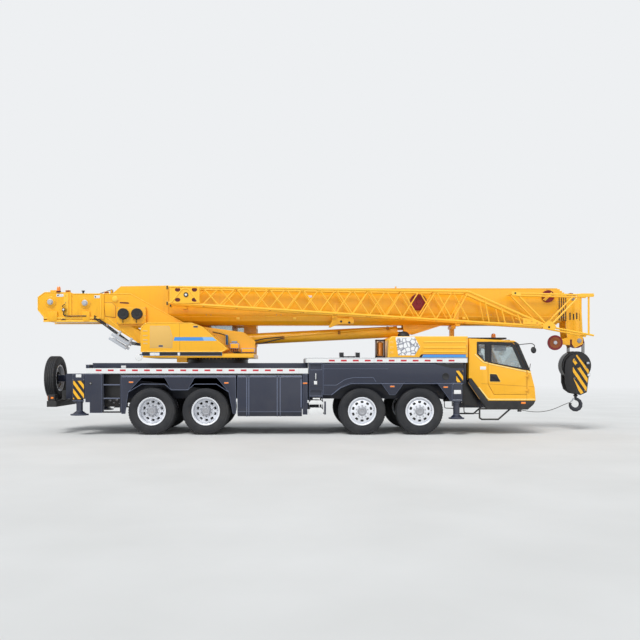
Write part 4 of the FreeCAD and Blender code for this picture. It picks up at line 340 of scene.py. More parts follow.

# %% [markdown]
# Glass isn't a colour but a thin tinted sheet. A transmissive shader with a light tint lets the
# cab's inside show, and a smear of noise in its roughness keeps it from looking like an empty hole.

# %% Glass
def window_glass():
    material = bpy.data.materials.new("tinted glass")
    material.use_nodes = True
    tree = material.node_tree
    shader = tree.nodes["Principled BSDF"]
    smear = put(tree, "ShaderNodeTexNoise", {"Scale": 4.0, "Detail": 6.0}).outputs["Fac"]
    rough = put(tree, "ShaderNodeMapRange", {"Value": smear, "From Min": 0.4, "From Max": 0.8,
                                             "To Min": 0.02, "To Max": 0.10}).outputs[0]
    tree.links.new(rough, shader.inputs["Roughness"])
    shader.inputs["Base Color"].default_value = linear(220, 229, 230)
    shader.inputs["Transmission Weight"].default_value = 0.92
    shader.inputs["IOR"].default_value = 1.45
    return material


FINISHES["glass"] = window_glass()
print("glass added:", FINISHES["glass"].name)

# %% Cell decal
def cell_decal():
    """White film printed with rounded cells: grey lines where two cells meet."""
    material = bpy.data.materials.new("cell decal")
    material.use_nodes = True
    tree = material.node_tree
    shader = tree.nodes["Principled BSDF"]
    place = put(tree, "ShaderNodeTexCoord").outputs["Object"]
    flat = put(tree, "ShaderNodeMapping", {"Vector": place, "Scale": (1.0, 0.0, 1.0)})
    cells = put(tree, "ShaderNodeTexVoronoi", {"Vector": flat.outputs[0], "Scale": 9.0, "Randomness": 0.75},
                feature="DISTANCE_TO_EDGE")
    line = put(tree, "ShaderNodeMapRange", {"Value": cells.outputs["Distance"], "From Min": 0.03, "From Max": 0.11})
    height = put(tree, "ShaderNodeSeparateXYZ", {0: place}).outputs["Z"]
    fade = put(tree, "ShaderNodeMapRange", {"Value": height, "From Min": 2.40, "From Max": 2.46})
    white = put(tree, "ShaderNodeMath", {0: line.outputs[0], 1: fade.outputs[0]}, operation="MAXIMUM")
    colour = put(tree, "ShaderNodeMix", {0: white.outputs[0], 6: linear(132, 134, 146), 7: linear(240, 240, 240)},
                 data_type="RGBA")
    tree.links.new(colour.outputs[2], shader.inputs["Base Color"])
    wear = put(tree, "ShaderNodeTexNoise", {"Scale": 6.0, "Detail": 5.0}).outputs["Fac"]
    rough = put(tree, "ShaderNodeMapRange", {"Value": wear, "To Min": 0.28, "To Max": 0.46})
    tree.links.new(rough.outputs[0], shader.inputs["Roughness"])
    return material


FINISHES["cell_decal"] = cell_decal()
print("decal added:", FINISHES["cell_decal"].name)

# %% [markdown]
# Small parts are built in one mesh per group: a kit of plates, blocks, turned pieces, rods and
# bent tubes, each rounded a little along its edges because no real plate is razor sharp.
# A kit keeps a list of finishes, and each solid in it names its own.

# %% Kit of parts
def axis_frame(along):
    """A turn that takes +Z to the given direction."""
    return Vector((0, 0, 1)).rotation_difference(Vector(along).normalized()).to_matrix().to_4x4()


class Kit:
    def __init__(self):
        self.mesh = bmesh.new()
        self.finishes = []

    def paint(self, faces, finish):
        if finish not in self.finishes:
            self.finishes.append(finish)
        for face in faces:
            face.material_index = self.finishes.index(finish)

    def round_off(self, faces, width, angle=30):
        """Bevels the sharp edges of the faces just made."""
        edges = {edge for face in faces for edge in face.edges}
        sharp = [edge for edge in edges if len(edge.link_faces) == 2
                 and edge.calc_face_angle() > math.radians(angle)]
        if width and sharp:
            bmesh.ops.bevel(self.mesh, geom=sharp, offset=width, segments=2, profile=0.5,
                            affect="EDGES", clamp_overlap=True)

    def solid(self, rings, finish, caps=True, edge=0.0):
        """Joins rings of points, each as long as the last, and closes both ends."""
        made = [[self.mesh.verts.new(point) for point in ring] for ring in rings]
        count = len(made[0])
        faces = []
        for first, second in zip(made, made[1:]):
            for k in range(count):
                after = (k + 1) % count
                faces.append(self.mesh.faces.new((first[k], first[after], second[after], second[k])))
        if caps:
            faces.append(self.mesh.faces.new(tuple(reversed(made[0]))))
            faces.append(self.mesh.faces.new(tuple(made[-1])))
        bmesh.ops.recalc_face_normals(self.mesh, faces=faces)
        self.paint(faces, finish)
        self.round_off(faces, edge)

    def plate(self, outline, plane, low, high, finish, edge=0.003):
        """An outline in the XZ, XY or YZ plane, made thick between two places."""
        def point(across, up, depth):
            return {"XZ": (across, depth, up), "XY": (across, up, depth), "YZ": (depth, across, up)}[plane]
        self.solid([[point(a, b, depth) for a, b in outline] for depth in (low, high)], finish, edge=edge)

    def block(self, low, high, finish, edge=0.003):
        (x0, y0, z0), (x1, y1, z1) = low, high
        self.solid([[(x0, y0, z), (x1, y0, z), (x1, y1, z), (x0, y1, z)] for z in (z0, z1)], finish,
                   edge=edge)

    def turned(self, profile, centre, along, finish, steps=48, closed=False, edge=0.0):
        """Revolves a profile of (radius, distance along the axis)."""
        turn = Matrix.Translation(centre) @ axis_frame(along)
        rings = []
        for radius, reach in profile:
            rings.append([turn @ Vector((radius * math.cos(math.tau * k / steps),
                                         radius * math.sin(math.tau * k / steps), reach))
                          for k in range(steps)])
        if closed:
            rings.append(rings[0])
            made = [[self.mesh.verts.new(point) for point in ring] for ring in rings[:-1]]
            made.append(made[0])
            faces = []
            for first, second in zip(made, made[1:]):
                for k in range(steps):
                    after = (k + 1) % steps
                    faces.append(self.mesh.faces.new((first[k], first[after], second[after], second[k])))
            bmesh.ops.recalc_face_normals(self.mesh, faces=faces)
            self.paint(faces, finish)
        else:
            self.solid(rings, finish, edge=edge)

    def rod(self, start, end, radius, finish, steps=16, edge=0.0):
        start, end = Vector(start), Vector(end)
        self.turned([(radius, 0), (radius, (end - start).length)], start, end - start, finish, steps, edge=edge)

    def bolts(self, places, along, size, finish, height=None):
        """Hexagon heads that stand on a face."""
        for place in places:
            self.turned([(size, 0), (size, (height or size) * 0.8), (size * 0.8, height or size)],
                        place, along, finish, 6)

    def tube(self, points, radius, finish, steps=10, bend=None):
        """A bent tube or hose through points, with round corners."""
        path = rounded_path([Vector(point) for point in points], radius * 4 if bend is None else bend)
        rings = []
        side = None
        for k, point in enumerate(path):
            ahead = (path[min(k + 1, len(path) - 1)] - path[max(k - 1, 0)]).normalized()
            if side is None:
                side = ahead.cross(Vector((0.13, 0.31, 0.94))).normalized()
            side = (side - ahead * side.dot(ahead)).normalized()
            other = ahead.cross(side)
            rings.append([point + radius * (math.cos(math.tau * s / steps) * side
                                            + math.sin(math.tau * s / steps) * other)
                          for s in range(steps)])
        self.solid(rings, finish)

    def finish(self, name, body, slot, smooth=35, replaces=(), place=None):
        data = bpy.data.meshes.new(name)
        self.mesh.to_mesh(data)
        self.mesh.free()
        for key in self.finishes:
            data.materials.append(FINISHES[key])
        return settle(data, name, body, smooth, replaces, place)


def rounded_path(points, bend):
    """Points along straight runs with an arc at each corner."""
    path = [points[0]]
    for before, corner, after in zip(points, points[1:], points[2:]):
        back, ahead = (before - corner), (after - corner)
        reach = min(bend, back.length * 0.45, ahead.length * 0.45)
        start, end = corner + back.normalized() * reach, corner + ahead.normalized() * reach
        for k in range(6):
            share = k / 5
            path.append(start.lerp(corner, share).lerp(corner.lerp(end, share), share))
    path.append(points[-1])
    return path


def settle(data, name, body, smooth=35, replaces=(), place=None):
    """Smooths a mesh by angle, links it and rides it on its body."""
    for face in data.polygons:
        face.use_smooth = True
    data.set_sharp_from_angle(angle=math.radians(smooth))
    piece = bpy.data.objects.new(name, data)
    if place is not None:
        piece.matrix_world = place
    bpy.context.scene.collection.objects.link(piece)
    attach(piece, body)
    if replaces:
        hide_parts(*replaces)
    return piece


print("kit of parts ready")

# %% [markdown]
# The imported pieces have the right shapes but knife edges, and light never catches a knife edge.
# Each painted one is copied, welded and given narrow rounded edges, and the rounded strips get a
# second finish of their own: on the yellow and blue-grey pieces a lighter colour that paints a
# highlight along each edge, with chips where paint wears through. The copy stands for the
# original, which stays in the motion model.

# %% Rounding the imported pieces
def island_faces(mesh):
    """The faces of each loose solid in a mesh."""
    left = set(mesh.faces)
    islands = []
    while left:
        pile = [left.pop()]
        found = []
        while pile:
            face = pile.pop()
            found.append(face)
            for edge in face.edges:
                for other in edge.link_faces:
                    if other in left:
                        left.discard(other)
                        pile.append(other)
        islands.append(found)
    return islands


def softened(node, width, finish, edge_finish, pick=None, name=None, replaces=True):
    """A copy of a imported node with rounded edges; pick chooses a finish by each solid's box."""
    mesh = bmesh.new()
    mesh.from_mesh(frame["nodes"][node].data)
    bmesh.ops.remove_doubles(mesh, verts=mesh.verts, dist=0.00005)
    bmesh.ops.dissolve_limit(mesh, angle_limit=math.radians(0.6), verts=mesh.verts, edges=mesh.edges)
    keys = [finish, edge_finish]
    gone = []
    for faces in island_faces(mesh):
        key = finish
        if pick:
            corners = [vertex.co for face in faces for vertex in face.verts]
            low = Vector(tuple(min(c[k] for c in corners) for k in range(3)))
            high = Vector(tuple(max(c[k] for c in corners) for k in range(3)))
            key = pick(low, high) or finish
            if key == "left out":
                gone += faces
                continue
        if key not in keys:
            keys.append(key)
        for face in faces:
            face.material_index = keys.index(key)
        sharp = [edge for edge in {e for face in faces for e in face.edges}
                 if len(edge.link_faces) == 2 and edge.calc_face_angle() > math.radians(32)]
        if width and sharp and key == finish:
            # material=1 gives the bevels the edge finish, which on yellow and blue-grey pieces is a painted highlight
            # with chips
            bmesh.ops.bevel(mesh, geom=sharp, offset=width, segments=2, profile=0.6, affect="EDGES",
                            clamp_overlap=True, material=1)
    if gone:
        bmesh.ops.delete(mesh, geom=gone, context="FACES")
    data = bpy.data.meshes.new(name or node + "_body")
    mesh.to_mesh(data)
    mesh.free()
    for key in keys:
        data.materials.append(FINISHES[key])
    return settle(data, name or node + "_body", body_of_node[node], 32, (node,) if replaces else ())


# Node, rounding in millimetres, finish, finish of the rounded edges (a painted highlight with worn chips on yellow and
# blue-grey pieces), slot in the record
PAINTED = (
    ("chassis_frame", 5, "carrier", "carrier_edge", "carrier_paint"),
    ("deck_plates", 6, "deck_plate", "white", "carrier_paint"),
    ("side_panels", 9, "carrier", "carrier_edge", "carrier_paint"),
    ("side_boxes", 8, "carrier", "carrier_edge", "carrier_paint"),
    ("engine_block", 12, "black_paint", "black_paint", "carrier_paint"),
    ("spare_carrier", 4, "carrier", "carrier_edge", "carrier_paint"),
    ("axles", 6, "black_paint", "black_paint", "carrier_paint"),
    ("engine_hood", 22, "yellow", "yellow_edge", "crane_yellow"),
    ("turntable_frame", 8, "yellow", "yellow_edge", "crane_yellow"),
    ("counterweight", 18, "yellow", "yellow_edge", "crane_yellow"),
    ("cowl", 32, "yellow", "yellow_edge", "crane_yellow"),
    ("operator_cab", 14, "yellow", "yellow_edge", "crane_yellow"),
    ("boom_base", 7, "yellow", "yellow_edge", "crane_yellow"),
    ("boom_section_2", 6, "yellow", "yellow_edge", "crane_yellow"),
    ("boom_section_3", 6, "yellow", "yellow_edge", "crane_yellow"),
    ("boom_section_4", 6, "yellow", "yellow_edge", "crane_yellow"),
    ("boom_section_5", 5, "yellow", "yellow_edge", "crane_yellow"),
    ("lift_barrel", 5, "yellow", "yellow_edge", "crane_yellow"),
    ("cab_shell", 14, "yellow", "yellow_edge", "crane_yellow"),
    ("access_ladder", 2, "galvanised", "galvanised", "bare_steel"),
)
for node, rounding, finish, edge_finish, slot_name in PAINTED:
    softened(node, rounding * MM, finish, edge_finish)
for end in ("rear", "front"):
    for side, word in SIDES:
        softened(f"outrigger_beam_{end}_{word}", 5 * MM, "carrier", "carrier_edge")
        softened(f"jack_{end}_{word}", 4 * MM, "carrier", "carrier_edge")
for number in (1, 2):
    for side, word in SIDES:
        softened(f"knuckle_{number}_{word}", 5 * MM, "black_paint", "black_paint")


def pane_or(other):
    """Thin upright solids are window panes, and the rest takes another finish."""
    return lambda low, high: "glass" if min(high - low) < 0.012 else other


for side, word in SIDES:
    softened(f"cab_door_{word}", 8 * MM, "yellow", "yellow_edge", pane_or("yellow"))
softened("operator_door", 8 * MM, "yellow", "yellow_edge", pane_or("yellow"))
# The bumpers' node also holds the two mirrors, which are built anew with the cab
softened("bumpers", 8 * MM, "black", "black",
         lambda low, high: "left out" if low.z > 2.0 else None)

# Nodes whose own mesh is right keep it, and get their finish on its material slots
KEPT = {"cab_glass": "glass", "operator_glass": "glass", "slew_ring": "black_paint", "winches": "steel",
        "head_sheaves": "red_sheave", "jib": "jib_yellow", "lift_rod": "chrome", "rope_falls": "rope",
        "hook": "black_paint", "hook_block": "black_paint"}
for node, finish in KEPT.items():
    data = frame["nodes"][node].data
    data.materials.clear()
    data.materials.append(FINISHES[finish])
print(len(PAINTED) + 15, "packed pieces rounded,", len(KEPT), "kept as they are")

# %% [markdown]
# Wheels: a truck tyre is a fat ring with three clear zones, which are the bead beside the rim, the
# bulging side wall and the tread. It is made from one half outline and its mirror, turned in
# small steps, and every third step dips at the shoulder to leave the lateral grooves. The rim's disc
# is a grid of rings with cells left out for the ten hand holes, thickened and then smoothed, so that the
# holes come out oval. Each mesh is made once and used by all the wheels of its kind.

# %% Tyre
TYRE_OUT = 0.595
PITCHES = 54
STEPS_PER_PITCH = 3
# Half of the tyre's section: radius, and distance from the tyre's middle
SIDE_WALL = ((0.349, 0.096), (0.349, 0.110), (0.364, 0.119), (0.374, 0.119), (0.380, 0.127), (0.394, 0.127),
             (0.400, 0.132), (0.430, 0.140), (0.470, 0.145), (0.505, 0.1445), (0.528, 0.141), (0.533, 0.137),
             (0.540, 0.138), (0.562, 0.135))
SHOULDER = ((0.574, 0.130), (0.586, 0.121), (0.5935, 0.110))
TREAD = ((0.595, 0.100), (0.595, 0.078), (0.581, 0.074), (0.581, 0.064), (0.595, 0.060), (0.595, 0.032),
         (0.581, 0.028), (0.581, 0.018), (0.595, 0.014))
SHOULDER_DIP = 0.010


def tyre_mesh(kit, shift):
    """Adds one tyre about the Y axis."""
    half = [(*point, 0) for point in SIDE_WALL] + [(*point, 1) for point in SHOULDER + TREAD[:2]]
    half += [(*point, 0) for point in TREAD[2:]]
    section = [(radius, -depth, cut) for radius, depth, cut in half]
    section += [(radius, depth, cut) for radius, depth, cut in reversed(half)]
    steps = PITCHES * STEPS_PER_PITCH
    rings = []
    for step in range(steps):
        angle = math.tau * step / steps
        dip = SHOULDER_DIP if step % STEPS_PER_PITCH == 0 else 0.0
        wave = 0.003 * math.sin(math.tau * step / (STEPS_PER_PITCH * 2))
        ring = []
        for radius, depth, cut in section:
            away = radius - dip * cut
            inner = depth + (wave if radius > 0.58 and abs(depth) < 0.09 else 0.0)
            ring.append(Vector((away * math.cos(angle), shift + inner, away * math.sin(angle))))
        rings.append([kit.mesh.verts.new(point) for point in ring])
    faces = []
    count = len(section)
    for step in range(steps):
        first, second = rings[step], rings[(step + 1) % steps]
        for k in range(count):
            after = (k + 1) % count
            faces.append(kit.mesh.faces.new((first[k], first[after], second[after], second[k])))
    bmesh.ops.recalc_face_normals(kit.mesh, faces=faces)
    kit.paint(faces, "rubber")


def mesh_of(kit, name):
    """Writes a kit to a mesh that several pieces share."""
    data = bpy.data.meshes.new(name)
    kit.mesh.to_mesh(data)
    kit.mesh.free()
    for key in kit.finishes:
        data.materials.append(FINISHES[key])
    return data


TWIN_STEP = 0.330
tyre_kit = Kit()
tyre_mesh(tyre_kit, 0.0)
single_tyre = mesh_of(tyre_kit, "tyre_single")
tyre_kit = Kit()
for tyre_shift in (0.0, TWIN_STEP):
    tyre_mesh(tyre_kit, tyre_shift)
twin_tyre = mesh_of(tyre_kit, "tyre_twin")
print("faces in one tyre:", len(single_tyre.polygons))

# %% Rim
HOLES = 10
CELLS_PER_HOLE = 8
HOLE_CELLS = (2, 3, 4, 5)
# Outline of a rim's barrel with its two flanges: radius, and distance from the tyre's middle
BARREL = ((0.323, -0.112), (0.336, -0.121), (0.352, -0.124), (0.358, -0.119), (0.352, -0.113), (0.346, -0.106),
          (0.346, -0.070), (0.334, -0.050), (0.334, 0.050), (0.346, 0.070), (0.346, 0.106), (0.352, 0.113),
          (0.358, 0.119), (0.352, 0.124), (0.336, 0.121), (0.323, 0.112), (0.318, 0.070), (0.318, -0.070))
# Disc of each kind of wheel: radius and distance; the cells between the marked rings hold the holes
OUTER_DISC = ((0.100, 0.052), (0.124, 0.052), (0.170, 0.052), (0.186, 0.062), (0.206, 0.074), (0.232, 0.078),
              (0.258, 0.080), (0.285, 0.090), (0.319, 0.100))
INNER_DISC = ((0.100, 0.225), (0.124, 0.225), (0.170, 0.225), (0.186, 0.222), (0.206, 0.220), (0.232, 0.218),
              (0.258, 0.216), (0.285, 0.214), (0.319, 0.214))
STEERED_DISC = ((0.092, -0.114), (0.120, -0.117), (0.172, -0.117), (0.190, -0.116), (0.208, -0.112), (0.234, -0.103),
                (0.260, -0.092), (0.287, -0.074), (0.319, -0.052))
HOLE_RINGS = (4, 5)
DISC_THICK = 0.012


def disc(kit, profile, thick=DISC_THICK):
    """A pressed disc with oval hand holes, from a grid of rings that is thickened and smoothed."""
    work = bmesh.new()
    steps = HOLES * CELLS_PER_HOLE
    rings = [[work.verts.new((radius * math.cos(math.tau * k / steps), depth,
                              radius * math.sin(math.tau * k / steps))) for k in range(steps)]
             for radius, depth in profile]
    for ring in range(len(profile) - 1):
        for k in range(steps):
            if ring in HOLE_RINGS and k % CELLS_PER_HOLE in HOLE_CELLS:
                continue
            after = (k + 1) % steps
            work.faces.new((rings[ring][k], rings[ring][after], rings[ring + 1][after], rings[ring + 1][k]))
    data = bpy.data.meshes.new("disc_work")
    work.to_mesh(data)
    work.free()
    holder = bpy.data.objects.new("disc_work", data)
    bpy.context.scene.collection.objects.link(holder)
    thicken = holder.modifiers.new("thick", "SOLIDIFY")
    thicken.thickness = thick
    thicken.offset = 0
    smooth = holder.modifiers.new("smooth", "SUBSURF")
    smooth.levels = 1
    shape = bpy.data.meshes.new_from_object(holder.evaluated_get(bpy.context.evaluated_depsgraph_get()))
    before = len(kit.mesh.faces)
    kit.mesh.from_mesh(shape)
    kit.mesh.faces.ensure_lookup_table()
    kit.paint(kit.mesh.faces[before:], "wheel_silver")
    bpy.data.objects.remove(holder)
    bpy.data.meshes.remove(data)
    bpy.data.meshes.remove(shape)


def barrel(kit, shift):
    kit.turned([(radius, depth + shift) for radius, depth in BARREL], (0, 0, 0), (0, 1, 0), "wheel_silver",
               steps=96, closed=True)


def nuts(kit, radius, face, height):
    """Ten wheel nuts on studs, which point towards -Y."""
    for k in range(HOLES):
        angle = math.tau * (k + 0.5) / HOLES
        spot = Vector((radius * math.cos(angle), face, radius * math.sin(angle)))
        kit.turned([(0.022, 0), (0.022, 0.006)], spot, (0, -1, 0), "hub_grey", 14)
        kit.turned([(0.0175, 0.006), (0.0175, height * 0.8), (0.013, height)], spot, (0, -1, 0), "wheel_silver", 6)
        kit.turned([(0.010, height), (0.010, height + 0.012), (0.006, height + 0.015)], spot, (0, -1, 0),
                   "steel", 10)


SINGLE_HUB = ((0.120, 0.0), (0.120, 0.018), (0.098, 0.030), (0.092, 0.036), (0.088, 0.044), (0.066, 0.050),
              (0.060, 0.048), (0.052, 0.042), (0.030, 0.040), (0.026, 0.046), (0.008, 0.048))
TWIN_HUB = ((0.122, 0.0), (0.122, 0.090), (0.116, 0.104), (0.104, 0.112), (0.100, 0.138), (0.094, 0.146),
            (0.074, 0.150), (0.068, 0.146), (0.050, 0.144), (0.046, 0.149), (0.020, 0.151))


def rim_kit(kind):
    kit = Kit()
    barrel(kit, 0.0)
    if kind == "twin":
        barrel(kit, TWIN_STEP)
        disc(kit, OUTER_DISC)
        disc(kit, INNER_DISC)
        kit.turned(TWIN_HUB, (0, 0.056, 0), (0, -1, 0), "hub_grey", 64)
        kit.turned([(0.112, 0), (0.112, 0.34)], (0, 0.060, 0), (0, 1, 0), "black_paint", 48)
        kit.turned([(0.212, 0.240), (0.275, 0.240), (0.275, 0.360), (0.212, 0.360)], (0, 0, 0), (0, 1, 0),
                   "black_paint", 64, closed=True)
        nuts(kit, 0.147, 0.046, 0.030)
    else:
        disc(kit, STEERED_DISC)
        kit.turned(SINGLE_HUB, (0, -0.102, 0), (0, -1, 0), "hub_grey", 64)
        kit.turned([(0.112, 0), (0.112, 0.19)], (0, -0.100, 0), (0, 1, 0), "black_paint", 48)
        kit.turned([(0.175, -0.040), (0.275, -0.040), (0.275, 0.060), (0.175, 0.060)], (0, 0, 0), (0, 1, 0),
                   "black_paint", 64, closed=True)
        nuts(kit, 0.146, -0.123, 0.028)
    valve = [(0.286, -0.080, 0.02), (0.30, -0.112, 0.02)]
    kit.tube(valve, 0.005, "black", bend=0.0)
    return kit


rims = {kind: mesh_of(rim_kit(kind), "rim_" + kind) for kind in ("single", "twin")}
print("faces per rim:", {kind: len(mesh.polygons) for kind, mesh in rims.items()})

# %% Wheels in their places
WHEEL_Y = 1.195
AXLES = ((1, 2.556, "single"), (2, 1.102, "single"), (3, -2.849, "twin"), (4, -4.214, "twin"))
TYRES = {"single": single_tyre, "twin": twin_tyre}
for number, axle_x, kind in AXLES:
    for side, word in SIDES:
        turn = Matrix.Rotation(math.pi if side == FAR else 0.0, 4, "Z")
        spot = Matrix.Translation((axle_x, side * WHEEL_Y, TYRE_OUT)) @ turn
        body = f"wheel_{number}_{word}"
        settle(TYRES[kind], f"tyre_{number}_{word}", body, 40, (body,), spot)
        settle(rims[kind], f"rim_{number}_{word}", body, 34, (), spot)
spare_spot = Matrix.Translation((-7.060, 0, 1.420)) @ Matrix.Rotation(-math.pi / 2, 4, "Z")
settle(single_tyre, "spare_tyre", body_of_node["spare_wheel"], 40, ("spare_wheel",), spare_spot)
settle(rims["single"], "spare_rim", body_of_node["spare_wheel"], 34, (), spare_spot)
print("wheels on", len(AXLES) * 2, "hubs and one spare")

# %% [markdown]
# The tie rope keeps the hook from swinging on the road. It is a free rope between the towing lug
# and the hook, so it is one smooth curve through a few control points, with a spliced loop at each end.

# %% Tie rope
TIE_POINTS = ((5.4024, -0.450, 0.580), (5.560, -0.412, 0.548), (5.745, -0.356, 0.526), (5.945, -0.292, 0.519),
              (6.150, -0.225, 0.538), (6.350, -0.158, 0.583), (6.535, -0.094, 0.645), (6.690, -0.038, 0.706),
              (6.8222, -0.002, 0.748))
TIE_DIAMETER = 0.016
tie_data = bpy.data.curves.new("tie_rope_line", "CURVE")
tie_data.dimensions = "3D"
tie_data.bevel_depth = TIE_DIAMETER / 2
tie_data.bevel_resolution = 3
tie_data.resolution_u = 10
tie_data.use_fill_caps = True
tie_line = tie_data.splines.new("NURBS")
tie_line.points.add(len(TIE_POINTS) - 1)
for tie_spot, point in zip(tie_line.points, TIE_POINTS):
    tie_spot.co = (*point, 1.0)
tie_line.order_u = 3
tie_line.use_endpoint_u = True
tie_data.materials.append(FINISHES["rope"])
tie_rope = bpy.data.objects.new("tie_rope_line", tie_data)
bpy.context.scene.collection.objects.link(tie_rope)
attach(tie_rope, body_of_node["tie_rope"])
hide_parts("tie_rope")
print("tie rope from the lug to the hook, 1.53 m")

# %% [markdown]
# Stripes, tape and trim stand a hair proud of the sheet that carries them, as real tape and paint do,
# so they keep a crisp edge at any size of picture. Slanted stripes are cut to the outline of their
# plate: each stripe is the outline clipped by two slanted lines. Sheets with holes are filled from
# their outlines and then made thick.

# %% Stripes and sheets with holes
def clipped(outline, across, up, limit):
    """The part of an outline where across * x + up * z is under a limit."""
    found = []
    for (x0, z0), (x1, z1) in zip(outline, outline[1:] + outline[:1]):
        first, second = across * x0 + up * z0 - limit, across * x1 + up * z1 - limit
        if first <= 0:
            found.append((x0, z0))
        if first * second < 0:
            share = first / (first - second)
            found.append((x0 + (x1 - x0) * share, z0 + (z1 - z0) * share))
    return found


def slanted_stripes(kit, outline, slope, period, start, depth, finish):
    """Stripes half a period high, cut to an outline in the XZ plane."""
    outline = list(outline)
    levels = [z - slope * x for x, z in outline]
    level = start - math.ceil((start - min(levels)) / period) * period
    while level < max(levels):
        upper = clipped(outline, -slope, 1, level + period / 2)
        stripe = clipped(upper, slope, -1, -level) if len(upper) > 2 else []
        if len(stripe) > 2:
            kit.plate(stripe, "XZ", *depth, finish, edge=0)
        level += period


def holed(kit, outline, holes, plane, low, high, finish, edge=0.0):
    """A sheet of any outline with holes through it."""
    def point(across, up, depth):
        return {"XZ": (across, depth, up), "XY": (across, up, depth), "YZ": (depth, across, up)}[plane]
    border = []
    for loop in (outline, *holes):
        corners = [kit.mesh.verts.new(point(a, b, low)) for a, b in loop]
        border += [kit.mesh.edges.new((corners[k - 1], corners[k])) for k in range(len(corners))]
    flat = bmesh.ops.triangle_fill(kit.mesh, use_beauty=True, edges=border)["geom"]
    faces = [item for item in flat if isinstance(item, bmesh.types.BMFace)]
    grown = bmesh.ops.extrude_face_region(kit.mesh, geom=faces, use_keep_orig=True)["geom"]
    shift = Vector(point(0, 0, high)) - Vector(point(0, 0, low))
    bmesh.ops.translate(kit.mesh, verts=[v for v in grown if isinstance(v, bmesh.types.BMVert)], vec=shift)
    made = set(faces) | {item for item in grown if isinstance(item, bmesh.types.BMFace)}
    made |= {face for item in grown if isinstance(item, bmesh.types.BMVert) for face in item.link_faces}
    bmesh.ops.recalc_face_normals(kit.mesh, faces=list(made))
    kit.paint(made, finish)
    kit.round_off(made, edge, 60)


def ring_of(x, z, radius, steps=20):
    return [(x + radius * math.cos(math.tau * k / steps), z + radius * math.sin(math.tau * k / steps))
            for k in range(steps)]


def rectangle(x0, x1, z0, z1):
    return [(x0, z0), (x1, z0), (x1, z1), (x0, z1)]


def outside(side, proud, sunk=0.001):
    """Depths of a thin strip on a side of the carrier."""
    return side * (BODY_HALF - sunk), side * (BODY_HALF + proud)


print("stripes and holed sheets ready")

# %% [markdown]
# The deck's edges carry a white band with red dashes, which drivers behind see at night. Below it
# a black strip set into the gap between deck and side covers is painted shade, and the covers' upper
# edges get lighter strips as a painted highlight.

# %% Deck edge bands
REAR_DECK = (-5.858, -0.270)
FRONT_DECK = (-0.310, 3.746)
DASH = (0.145, 0.042)
bands = Kit()
for side, word in SIDES:
    for (x0, x1), (z0, z1) in ((REAR_DECK, (1.557, 1.681)), (FRONT_DECK, (1.826, 1.930))):
        bands.plate(rectangle(x0, x1, z0, z1), "XZ", *outside(side, 0.0015), "white", edge=0)
    spots = [(-5.535 + 0.304 * k, 1.630) for k in range(17)] + [(0.333 + 0.3012 * k, 1.875) for k in range(11)]
    for x, z in spots:
        bands.plate(rectangle(x - DASH[0] / 2, x + DASH[0] / 2, z - DASH[1] / 2, z + DASH[1] / 2), "XZ",
                    *outside(side, 0.003), "red_tape", edge=0)
    # painted shade: a black strip in the gap under the deck
    bands.plate(rectangle(-4.965, -0.420, 1.4995, 1.543), "XZ", side * 1.290, side * 1.352, "black_paint", edge=0)
    # painted highlight: lighter strips along the side covers' upper edges
    bands.plate(rectangle(-4.955, -2.090, 1.458, 1.492), "XZ", *outside(side, 0.004), "carrier_edge", edge=0.002)
    bands.plate(rectangle(-2.030, -0.430, 1.458, 1.492), "XZ", *outside(side, 0.004), "carrier_edge", edge=0.002)
bands.finish("deck_edge_bands", "carrier", "carrier_paint")
print("dashes along each side:", len(spots))

# %% [markdown]
# Warning stripes mark the four corners, where the outrigger beams slide out. At the rear they are on
# the end box itself, so they ride on the beam. At the front they are on the side panel above it.

# %% Warning stripes and outrigger plates
HAZARD_SLOPE = -1.35
HAZARD_PERIOD = 0.225
BOLT_HEAD = 0.011
for side, word in SIDES:
    plate = Kit()
    area = rectangle(-6.176, -5.905, 0.905, 1.365)
    plate.plate(area, "XZ", *outside(side, 0.002), "black_paint", edge=0)
    slanted_stripes(plate, area, HAZARD_SLOPE, HAZARD_PERIOD, -7.05, outside(side, 0.004, 0.0), "hazard_yellow")
    plate.plate(rectangle(-6.110, -5.970, 1.452, 1.530), "XZ", *outside(side, 0.003), "white", edge=0.001)
    for x in (-6.178, -5.908):
        plate.bolts([(x, side * BODY_HALF, z) for z in (0.875, 1.395, 1.515)], (0, side, 0), BOLT_HEAD, "steel")
    # painted highlight: a lighter strip along the lower edge
    plate.plate(rectangle(-6.186, -5.900, 0.850, 0.872), "XZ", *outside(side, 0.006), "carrier_edge", edge=0.002)
    plate.finish(f"rear_outrigger_marks_{word}", f"outrigger_beam_rear_{word}", "crane_yellow")
    plate = Kit()
    plate.plate(rectangle(3.407, 3.584, 1.036, 1.134), "XZ", *outside(side, 0.003), "white", edge=0.001)
    # painted highlight: a lighter strip along the lower edge
    plate.plate(rectangle(3.375, 3.606, 0.872, 0.892), "XZ", *outside(side, 0.006), "carrier_edge", edge=0.002)
    for x in (3.383, 3.598):
        plate.bolts([(x, side * BODY_HALF, z) for z in (0.82, 1.06, 1.28)], (0, side, 0), BOLT_HEAD, "steel")
    plate.finish(f"front_outrigger_marks_{word}", f"outrigger_beam_front_{word}", "carrier_paint")
corner_marks = Kit()
for side, word in SIDES:
    area = rectangle(3.462, 3.634, 1.330, 1.620)
    corner_marks.plate(area, "XZ", *outside(side, 0.002), "black_paint", edge=0)
    slanted_stripes(corner_marks, area, HAZARD_SLOPE, HAZARD_PERIOD, 6.05, outside(side, 0.004, 0.0),
                    "hazard_yellow")
corner_marks.finish("front_corner_stripes", "carrier", "crane_yellow")
print("warning stripes at four corners")
